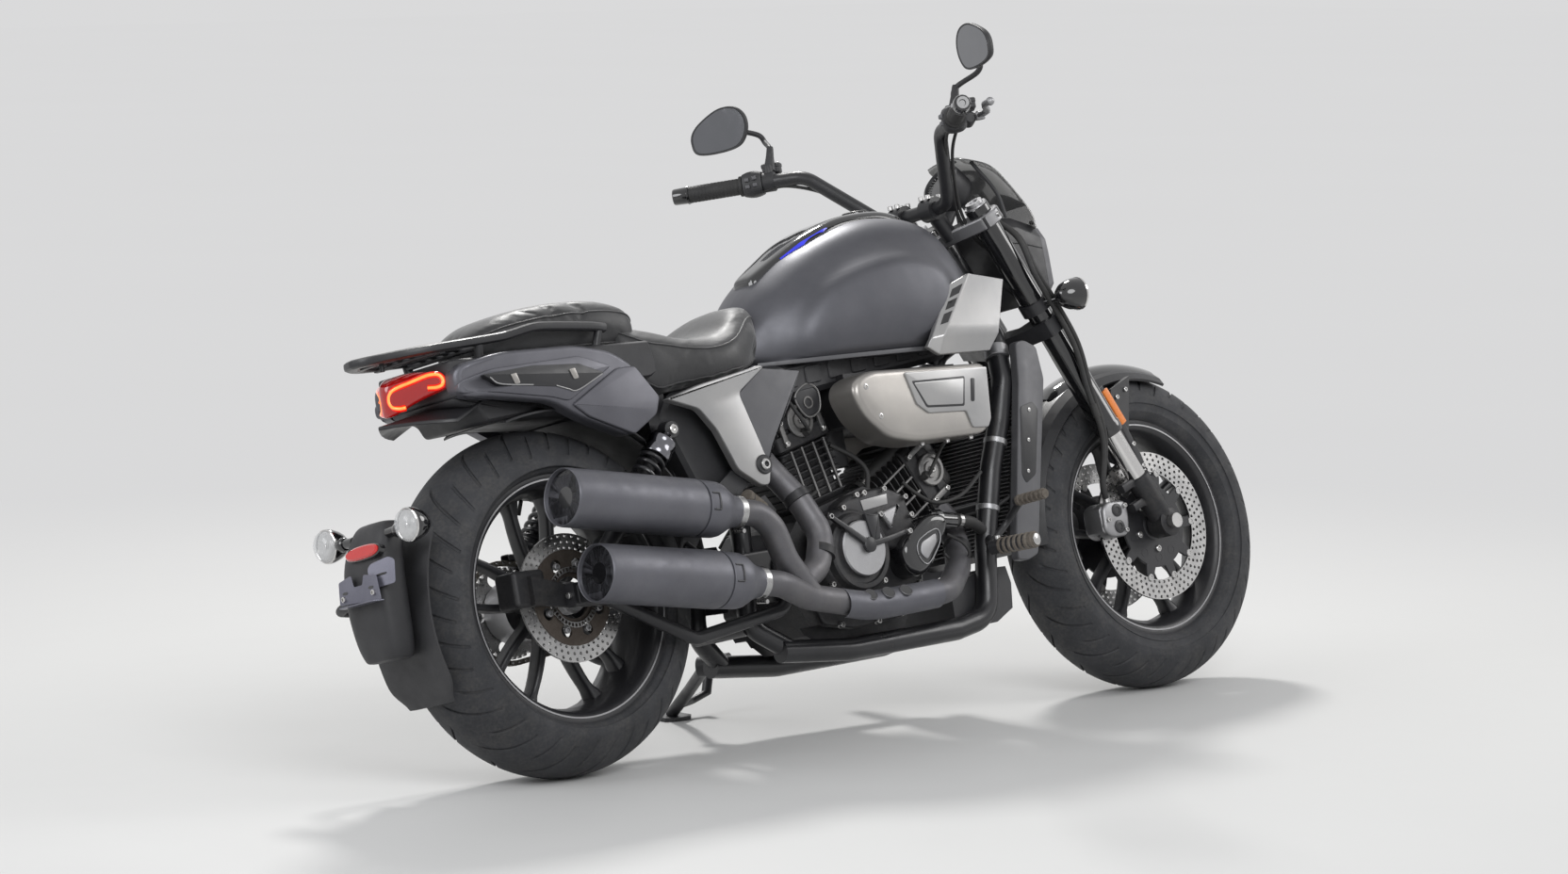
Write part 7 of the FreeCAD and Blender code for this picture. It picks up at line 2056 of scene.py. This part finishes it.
@dataclass
class RearEnd:
    """The shock absorbers, chain, rack rail, plate bracket, rear lamps, foot controls and frame fittings."""

    shop: Shop
    shock_low: tuple[float, float, float] = (50, 138, 394)
    shock_top: tuple[float, float, float] = (258, 138, 612)
    coil_turns: float = 8.5
    chain_links: int = 96
    rear_sprocket: tuple[float, float, float] = (0, 326, 95)
    front_sprocket: tuple[float, float, float] = (550, 334, 34)
    chain_y: float = 112.0
    spring_radius: float = 0.0236
    spring_wire: float = 0.0044
    mudguard_gap: float = 0.030
    plate_guard_gap: float = 0.0150
    inner_guard_gap: float = 0.020
    arm_face: float = 0.152
    rib_slope: float = 0.11

    def build(self) -> None:
        """Makes every piece."""
        self.shocks()
        self.chain()
        self.rack()
        self.tail_deck()
        self.plate_carrier()
        self.plate_bracket()
        self.indicators()
        self.pegs()
        self.swingarm()
        self.inner_guard()
        self.frame_fittings()

    def put(self, name: str, shell: Shell, finish: str, replaces: Sequence[str] = (),
            **more: Any) -> bpy.types.Object:
        """Adds a piece to the chassis."""
        return self.shop.add(name, shell, finish, Body.CHASSIS, replaces, **more)

    def shocks(self) -> None:
        """Two shock absorbers: turned bodies, and coils r (cos a, sin a) that climb the rod as a grows."""
        low, top = mm(self.shock_low), mm(self.shock_top)
        k = unit(top - low)
        length = float(np.linalg.norm(top - low))
        e = unit(np.cross(k, vec(0, 1, 0)))
        f = np.cross(k, e)
        t = np.linspace(0, 1, 230)
        rise = 0.084 + (length - 0.150) * (0.82 * t + 0.18 * t * t * (3 - 2 * t))
        turn = TAU * self.coil_turns * t
        around = np.cos(turn)[:, None] * e + np.sin(turn)[:, None] * f
        path = low + k * rise[:, None] + self.spring_radius * around
        self.put("shock_springs", both(tube(path, self.spring_wire, 10)), "black_frame")
        cup = [(0.010, 0.011), (0.016, 0.0175), (0.060, 0.0178), (0.064, 0.0265), (0.067, 0.0282),
               (0.078, 0.0282), (0.081, 0.0265), (0.081, 0.0190)]
        ring = [(0.066, 0.0284), (0.0675, 0.0292), (0.071, 0.0292), (0.0725, 0.0284)]
        bodies = [turned(cup, low, k, 36), turned(ring, low, k, 36),
                  bar(low + k * 0.078, low + k * (length - 0.060), 0.0115, 20)]
        for at, r in ((low, 0.0145), (top, 0.0172)):
            bodies.append(turned([(-0.013, 0.0062), (-0.013, r - 0.0015), (-0.0115, r), (0.0115, r),
                                  (0.013, r - 0.0015), (0.013, 0.0062)], at, (0, 1, 0), 28))
        self.put("shock_bodies", both(join(bodies)), "black_satin", ["shocks"], slot="black_metal")
        cap = [(length - 0.067, 0.0225), (length - 0.067, 0.0272), (length - 0.064, 0.0288),
               (length - 0.050, 0.0288), (length - 0.047, 0.0274), (length - 0.036, 0.0274),
               (length - 0.033, 0.0286), (length - 0.028, 0.0280), (length - 0.021, 0.0190),
               (length - 0.013, 0.0150)]
        self.put("shock_caps", both(turned(cap, low, k, 40)), "dark_chrome")
        out = vec(0, 1, 0)
        bolts = [bolt(top + out * 0.0135, out, 0.0095, 0.006), bolt(low + out * 0.0145, out, 0.0085, 0.006)]
        self.put("shock_bolts", both(join(bolts)), "chrome")

    def chain(self) -> None:
        """A roller chain: its loop runs round both wheels and along their outer tangents, stepped evenly."""
        (x0, z0, r0), (x1, z1, r1) = (mm(v) for v in (self.rear_sprocket, self.front_sprocket))
        span = math.hypot(x1 - x0, z1 - z0)
        lean, open_angle = math.atan2(z1 - z0, x1 - x0), math.acos((r0 - r1) / span)
        rear = np.linspace(lean + open_angle, lean + TAU - open_angle, 200)
        front = np.linspace(lean - open_angle, lean + open_angle, 80)
        loop = np.concatenate([np.stack([x0 + r0 * np.cos(rear), z0 + r0 * np.sin(rear)], -1),
                               np.stack([x1 + r1 * np.cos(front), z1 + r1 * np.sin(front)], -1)])
        loop = np.concatenate([loop, loop[:1]])
        walk = np.concatenate([[0], np.cumsum(np.linalg.norm(np.diff(loop, axis=0), axis=1))])
        stops = np.linspace(0, walk[-1], self.chain_links + 1)
        pins = np.stack([np.interp(stops, walk, loop[:, 0]), np.interp(stops, walk, loop[:, 1])], -1)
        pitch = walk[-1] / self.chain_links
        t = np.linspace(0, TAU, 20, endpoint=False)
        r = 0.0066 - 0.0016 * np.abs(np.sin(t)) ** 3
        eight = np.stack([np.sign(np.cos(t)) * pitch / 2 * (np.abs(np.cos(t)) > 0.3) + r * np.cos(t),
                          r * np.sin(t)], -1)
        y = self.chain_y / 1000
        plates, rollers = [], []
        for i in range(self.chain_links):
            a, b = pins[i], pins[i + 1]
            on = unit(b - a)
            turned_eight = eight[:, :1] * on + eight[:, 1:] * vec(-on[1], on[0]) + (a + b) / 2
            inner, outer = (0.0048, 0.0062) if i % 2 else (0.0033, 0.0047)
            plates += [plate(turned_eight, y + side * inner, y + side * outer, 0.0003) for side in (-1, 1)]
            at = vec(a[0], y, a[1])
            rollers.append(turned([(-0.0068, 0.0022), (-0.0064, 0.0027), (-0.0032, 0.0027),
                                   (-0.0032, 0.0048), (0.0032, 0.0048), (0.0032, 0.0027), (0.0064, 0.0027),
                                   (0.0068, 0.0022)], at, (0, 1, 0), 12))
        self.put("chain_plates", join(plates), "chain", ["drive_chain"], slot="bare_steel")
        self.put("chain_rollers", join(rollers), "steel")

    def rack(self) -> None:
        """The rack: a flat rail that steps up over the seat and closes round the tail, slats and posts."""
        half = [(152, 128, 817), (120, 128.5, 822), (20, 127, 829), (-20, 126, 829), (-60, 122, 822),
                (-95, 117, 817), (-200, 103, 811), (-258, 86, 808), (-299, 58, 806), (-328, 28, 805),
                (-338, 0, 805)]
        left = smooth_line(mm(half), 64)
        whole = np.concatenate([left, left[:-1][::-1] * vec(1, -1, 1)])
        high = 0.010 + 0.004 * softstep(-whole[:, 0], 0.05, 0.28)
        pieces = [box_bar(whole, high, 0.0085, (0, 0, 1), 4.0, 16)]
        for y, end in ((18, -318), (52, -292)):
            slat = box_bar(mm([(-118, y, 809), (-200, y, 809.5), (end, y, 808)]), 0.0085, 0.0034, (0, 0, 1),
                           4.0, 12)
            pieces += [slat, slat.mirrored()]
        for x, y in ((-136, 112), (-215, 100), (-286, 66)):
            pieces.append(box_bar(mm([(x, -y, 803), (x, 0, 804), (x, y, 803)]), 0.008, 0.0045, (0, 0, 1),
                                  4.0, 12))
        for side in (-1, 1):
            pieces.append(bar(mm((140, side * 128, 816)), mm((128, side * 124, 780)), 0.008))
            pieces.append(bar(mm((-136, side * 110, 808)), mm((-136, side * 104, 780)), 0.009))
        pieces.append(bar(mm((-296, -20, 802)), mm((-296, -20, 784)), 0.0045))
        self.put("rack_body", join(pieces), "black_satin", ["luggage_rack"], slot="black_metal")
        bolts = [bolt(mm((x, s, 812)), (0, 0, 1), 0.0045, 0.0028) for x in (-136, -215)
                 for s in (-52, -18, 18, 52)]
        self.put("rack_bolts", join(bolts), "steel")

    def tail_deck(self) -> None:
        """The deck below both seats, the underside, and the mudguard's arc r = R + 30 mm over the tyre."""
        deck = plate(rounded_loop(mm([(-210, 714), (-210, 785), (250, 786), (262, 726), (240, 714)]), 0.008),
                     -0.112, 0.112, 0.004)
        wide = plate(rounded_loop(mm([(-120, 716), (-120, 785), (250, 786), (262, 726), (240, 716)]), 0.008),
                     -0.137, 0.137, 0.004)
        under = plate(rounded_loop(mm([(-206, 718), (-200, 704), (-150, 690), (-136, 664), (-40, 672),
                                       (90, 664), (150, 640), (200, 640), (200, 718)]), 0.010), -0.098,
                      0.098, 0.006)
        a, u = np.radians(np.linspace(52, 105, 44))[:, None], np.linspace(-1, 1, 27)[None]
        r = REAR_R + self.mudguard_gap - 0.006 * np.abs(u) ** 8
        half = 0.117 - 0.022 * softstep(a, 1.55, 1.83)
        guard = np.stack(np.broadcast_arrays(r * np.cos(a), half * u, REAR_R + r * np.sin(a)), -1)
        pieces = [deck, wide, under, slab(guard, (0, 0, -0.004))]
        self.put("tail_deck_body", join(pieces), "plastic", ["tail_deck"], slot="black_plastic", smooth=45)

    def plate_carrier(self) -> None:
        """The plate's carrier: superellipse sections up a spine, an arm, and a guard round the tyre."""
        sections = [(258, -372, 24, 34), (264, -373, 31, 46), (300, -377, 35, 56), (360, -380, 37, 61),
                    (410, -378, 36, 62), (446, -372, 34, 61), (474, -362, 31, 58), (496, -354, 27, 52),
                    (508, -350, 20, 42), (512, -348, 10, 26)]
        t = np.linspace(0, TAU, 40, endpoint=False)
        k = (np.abs(np.cos(t)) ** 4 + np.abs(np.sin(t)) ** 4) ** (-1 / 4)
        rows = smooth_line(sections, 46)
        spine = np.stack([rows[:, 1:2] + rows[:, 2:3] * k * np.cos(t), rows[:, 3:4] * k * np.sin(t),
                          np.broadcast_to(rows[:, :1], (len(rows), len(t)))], -1) / 1000
        a, u = np.radians(np.linspace(152, 208, 40))[:, None], np.linspace(-1, 1, 31)[None]
        end = softstep(a, math.radians(197), math.radians(208)) ** 2
        r = REAR_R + self.plate_guard_gap - 0.0035 * np.abs(u) ** 6
        half = 0.092 * (1 - 0.28 * end)
        guard = np.stack(np.broadcast_arrays(r * np.cos(a), half * u, REAR_R + r * np.sin(a)), -1)
        arm = smooth_line(mm([(-352, 40, 376), (-354, 120, 375), (-345, 158, 372), (-320, 172, 369),
                              (-200, 176, 357), (-60, 176, 343), (-24, 176, 332), (0, 176, 326)]), 60)
        foot = turned(mm([(-8, 9), (-8, 17), (8, 17), (8, 9)]), vec(0, 0.172, 0.326), (0, 1, 0), 32)
        pieces = [grid(spine, wrap_v=True, caps=True), slab(guard, (0.004, 0, 0)), tube(arm, 0.0095, 16),
                  foot]
        self.put("plate_carrier_body", join(pieces), "plastic", ["plate_carrier"], slot="black_plastic",
                 smooth=45)

    def plate_bracket(self) -> None:
        """The steel bracket for the number plate: folded plates whose slots are dark ovals of painted shade,
        bolts and an oval reflector.
        """
        lens = oval(0.048, 0.0125)
        at = facing((-408, -20, 458), (0, -1, 0.02), (0.22, 0, 1))
        self.put("rear_reflector", plate(lens, 0.0, 0.008, 0.003, at), "red_plain")
        self.put("rear_reflector_frame", plate(lens * 1.09, -0.012, 0.003, 0.002, at), "black_gloss")
        outline = np.array([(-0.026, -0.022), (0.026, -0.022), (0.030, 0.020), (0.018, 0.028),
                            (-0.020, 0.024), (-0.028, 0.016)])
        tab = facing((-410, -66, 412), (0.45, -1, 0.10), (0.05, 0.02, 1))
        pieces = [plate(rounded_loop(outline, 0.005), 0.0, 0.0022, 0.0006, tab)]
        fold = facing((-424, -12, 392), (0, -1, 0), (0.08, 0, 1))
        wing = rounded_loop(np.array([(-0.062, -0.020), (0.062, -0.026), (0.054, 0.020), (0.016, 0.026),
                                      (0.010, 0.008), (-0.016, 0.008), (-0.022, 0.030), (-0.060, 0.022)]),
                            0.004)
        pieces.append(plate(wing, 0.0, 0.0022, 0.0006, fold))
        shelf = facing((-423, -12, 367), (0, -1, 0), (-1, 0, 0.05))
        pieces.append(plate(rounded_loop(np.array([(-0.062, -0.004), (0.062, -0.004), (0.050, 0.018),
                                                   (-0.050, 0.018)]), 0.004), 0.0, 0.0022, 0.0006, shelf))
        self.put("plate_bracket", join(pieces), "zinc")
        # The slots are painted shade: black ovals on the uncut plates where the openings would be in shadow.
        slots = [plate(oval(0.0115, 0.0022, 20), 0.0016, 0.0028, 0.0, tab)]
        slots += [plate(oval(0.0075, 0.0026, 20) + vec(s, 0.0), 0.0016, 0.0028, 0.0, fold)
                  for s in (-0.042, 0.036)]
        self.put("plate_slot_shade", join(slots), "black_gloss")
        bolts = [bolt(mm((-427, y, 382)), (-1, 0, 0), 0.0055, 0.005) for y in (-56, 34)]
        self.put("plate_bolts", join(bolts), "chrome")

    def indicators(self) -> None:
        """Bullet indicators: (along, r) profiles turned about the line of travel, lenses to the rear."""
        at, ahead = mm((-366, 125, 490)), vec(1, 0, 0)
        shell = [(-0.012, 0.0295), (-0.013, 0.0315), (-0.010, 0.0322), (-0.002, 0.0312), (0.010, 0.0275),
                 (0.020, 0.0225), (0.029, 0.0150), (0.034, 0.0080), (0.036, 0.0015)]
        stalk = bar(mm((-370, 52, 486)), mm((-370, 106, 487)), 0.0095, 24)
        sleeve = turned([(0, 0.0115), (0.003, 0.0135), (0.016, 0.0135), (0.019, 0.0105)],
                        mm((-370, 78, 486.5)), (0, 1, 0), 28)
        self.put("rear_indicator_shells", both(join([turned(shell, at, ahead, 44), stalk, sleeve])),
                 "black_gloss", ["rear_indicators"], slot="black_plastic", smooth=50)
        rim = [(-0.0145, 0.0285), (-0.0155, 0.0300), (-0.0145, 0.0318), (-0.012, 0.0318), (-0.011, 0.0290)]
        self.put("rear_indicator_rims", both(turned(rim, at, ahead, 44, closed=True)), "chrome")
        lens = [(-0.0325, 0.0010), (-0.0318, 0.0110), (-0.0290, 0.0200), (-0.0235, 0.0270),
                (-0.0150, 0.0292), (-0.0130, 0.0292)]
        self.put("rear_indicator_lenses", both(turned(lens, at, ahead, 44)), "clear_lens", smooth=60)
        dish = [(-0.0135, 0.0280), (-0.0100, 0.0240), (-0.0060, 0.0140), (-0.0055, 0.0050),
                (-0.0170, 0.0046), (-0.0190, 0.0010)]
        self.put("rear_indicator_dishes", both(turned(dish, at, ahead, 32)), "chrome")

    def pegs(self) -> None:
        """Rubber sleeves with raised rings on pegs and pedals: r is full between even grooves."""
        def sleeve(p: Sequence[float], q: Sequence[float], r: float, rings: int) -> Shell:
            """A ringed sleeve from p to q."""
            p, q = mm(p), mm(q)
            length = float(np.linalg.norm(q - p))
            s = np.linspace(0, 1, rings * 6 + 1)
            radius = r - 0.0018 * (np.cos(TAU * rings * s) > 0.35)
            profile = [(0, r * 0.5)] + list(zip(s * length, radius)) + [(length, r * 0.5)]
            return turned(profile, p, q - p, 28)

        pads = [sleeve((994, -206, 312.5), (1010, -293, 311), 0.0168, 7),
                sleeve((1050.4, -220, 396), (1052, -298, 398), 0.0112, 6),
                sleeve((453, -145, 443.5), (396, -169, 471), 0.0134, 5)]
        self.put("peg_rubbers", both(join(pads)), "dusty_rubber")
        ends = [turned([(0, 0.012), (0.003, 0.012), (0.005, 0.009)], mm((1010, -292, 311)), (0.17, -1, 0),
                       24), bolt(mm((1062, -206, 394)), (0, -1, 0), 0.008, 0.005),
                bolt(mm((1000, -196, 330)), (0, 0, 1), 0.007, 0.005)]
        self.put("peg_bolts", both(join(ends)), "steel")

    def swingarm(self) -> None:
        """Axle adjusters, collars and bolts on the swingarm, and the chain guard above its left arm."""
        marks, heads = [], []
        for side in (-1, 1):
            face = side * self.arm_face
            block = rounded_loop(mm([(-40, 308), (34, 308), (40, 326), (34, 344), (-40, 344)]), 0.005)
            marks.append(plate(block, face - side * 0.004, face + side * 0.0045, 0.0012))
            heads.append(bolt(vec(-0.046, side * 0.138, 0.326), (-1, 0, 0), 0.006, 0.006))
            heads.append(turned([(0, 0.019), (0.010, 0.019), (0.012, 0.017), (0.012, 0.010), (0.018, 0.009),
                                 (0.018, 0.001)], vec(0, side * 0.156, 0.326), (0, side, 0), 6))
            marks.append(turned([(0, 0.028), (0.004, 0.028), (0.006, 0.025), (0.006, 0.014)],
                                vec(0.470, face, 0.329), (0, side, 0), 32))
            heads.append(bolt(vec(0.470, side * 0.157, 0.329), (0, side, 0), 0.011, 0.006))
        self.put("axle_adjusters", join(marks), "black_satin")
        self.put("axle_nuts", join(heads), "steel")
        x = np.linspace(0.405, 0.02, 26)
        top = 0.372 + 0.064 * softstep(0.42 - x, 0.05, 0.36)
        cross = np.array([(0.100, -0.012), (0.101, -0.002), (0.104, 0.0), (0.122, 0.0), (0.125, -0.002),
                          (0.126, -0.014), (0.1245, -0.014), (0.1235, -0.0032), (0.1215, -0.0016),
                          (0.1045, -0.0016), (0.1025, -0.0032), (0.1015, -0.012)])
        guard = np.stack([np.broadcast_to(x[:, None], (len(x), len(cross))),
                          np.broadcast_to(cross[:, 0], (len(x), len(cross))), top[:, None] + cross[:, 1]],
                         -1)
        self.put("chain_guard", grid(guard, wrap_v=True, caps=True), "plastic")

    def inner_guard(self) -> None:
        """The guard between tyre and engine: an arc r = R + 20 mm, narrower below, with a rolled edge."""
        a, u = np.radians(np.linspace(8, 74, 40))[:, None], np.linspace(-1, 1, 25)[None]
        r = REAR_R + self.inner_guard_gap - 0.004 * np.abs(u) ** 8
        half = 0.104 - 0.018 * softstep(-a, -0.5, -0.14)
        sheet = np.stack(np.broadcast_arrays(r * np.cos(a), half * u, REAR_R + r * np.sin(a)), -1)
        self.put("rear_inner_guard", slab(sheet, (0.004, 0, 0)), "plastic", smooth=50)
        box = rounded_loop(mm([(352, 430), (420, 430), (474, 560), (500, 690), (300, 690), (262, 640)]),
                           0.02)
        self.put("rear_inner_box", plate(box, -0.118, 0.118, 0.008), "plastic")

    def frame_fittings(self) -> None:
        """Clamps round the down tubes, and the dark air box side below the tank with its ribs."""
        clamps = []
        for p, q, r in (((1188, -95, 717), (1180, -103, 694), 0.0248),
                        ((1128, -110, 532), (1123, -110, 520), 0.0240),
                        ((1075, -110, 402), (1071, -110, 390), 0.0240)):
            length = float(np.linalg.norm(mm(q) - mm(p)))
            clamps.append(turned([(0, r - 0.002), (0.0015, r), (length - 0.0015, r), (length, r - 0.002)],
                                 mm(p), mm(q) - mm(p), 32))
        self.put("down_tube_clamps", both(join(clamps)), "alloy")
        wall = rounded_loop(mm([(548, 648), (1048, 706), (1072, 752), (1010, 764), (560, 716), (540, 690)]),
                            0.012)
        rows = [plate(wall, -0.098, 0.098, 0.010)]
        for i in range(7):
            x = 0.60 + 0.062 * i
            rise = self.rib_slope * (x - 0.6)
            rib = np.array([(x, 0.672 + rise), (x + 0.04, 0.676 + rise), (x + 0.04, 0.712 + rise),
                            (x, 0.708 + rise)])
            rows.append(plate(rounded_loop(rib, 0.006), -0.1015, 0.1015, 0.002))
        self.put("airbox_ribs", join(rows), "plastic")


SUBASSEMBLIES: list[type] = [Wheels, Bodywork, Seats, Engine, Exhaust, FrontEnd, RearEnd]


NODE_FINISH = {"airbox": "plastic", "airbox_covers": "champagne", "bar_controls": "plastic",
               "belly_pan": "plastic", "crankcase": "black_cast", "cylinders": "black_cast",
               "drive_chain": "chain", "engine_covers": "black_cast", "exhaust_pipes": "header",
               "fly_screen": "smoked", "foot_pegs": "black_satin", "fork_legs": "black_satin",
               "frame": "black_frame", "front_axle": "steel", "front_calipers": "alloy",
               "front_discs": "steel", "front_fender": "black_satin", "front_indicators": "black_gloss",
               "front_rim": "black_satin", "front_tyre": "tyre", "fuel_cap": "black_gloss",
               "fuel_tank": "tank_paint", "grips": "rubber", "handlebar": "black_satin",
               "headlight_lens": "clear_lens", "headlight_shell": "black_satin", "instrument": "plastic",
               "luggage_rack": "black_satin", "mirrors": "plastic", "muffler_hanger": "black_frame",
               "mufflers": "exhaust", "passenger_seat": "leather", "plate_carrier": "plastic",
               "radiator_core": "black_cast", "radiator_shrouds": "grey_plastic", "rear_axle": "steel",
               "rear_caliper": "black_cast", "rear_disc": "steel", "rear_indicators": "black_gloss",
               "rear_rim": "black_satin", "rear_sprocket": "steel", "rear_tyre": "tyre",
               "rider_seat": "leather", "shocks": "black_satin", "side_covers": "silver",
               "side_stand": "black_satin", "steering_clamps": "black_satin", "swingarm": "black_satin",
               "tail_deck": "plastic", "tail_lamp": "red_lens", "tail_panels": "tail_paint",
               "tank_console": "black_gloss", "tank_scoops": "silver"}


def main() -> None:
    """Builds the whole scene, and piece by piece."""
    logging.basicConfig(level=logging.INFO, format="%(name)s: %(message)s")
    bpy.ops.wm.read_factory_settings(use_empty=True)
    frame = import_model()
    bpy.context.scene.view_settings.view_transform = "Standard"
    shop = Shop(Bike(frame["record"]), finishes(), frame)
    Studio().build()
    for node in frame["nodes"]:
        shop.dress(node, NODE_FINISH[node])
    for kind in SUBASSEMBLIES:
        kind(shop).build()
        LOG.info("built %s", kind.__name__)


if __name__ == "__main__":
    main()
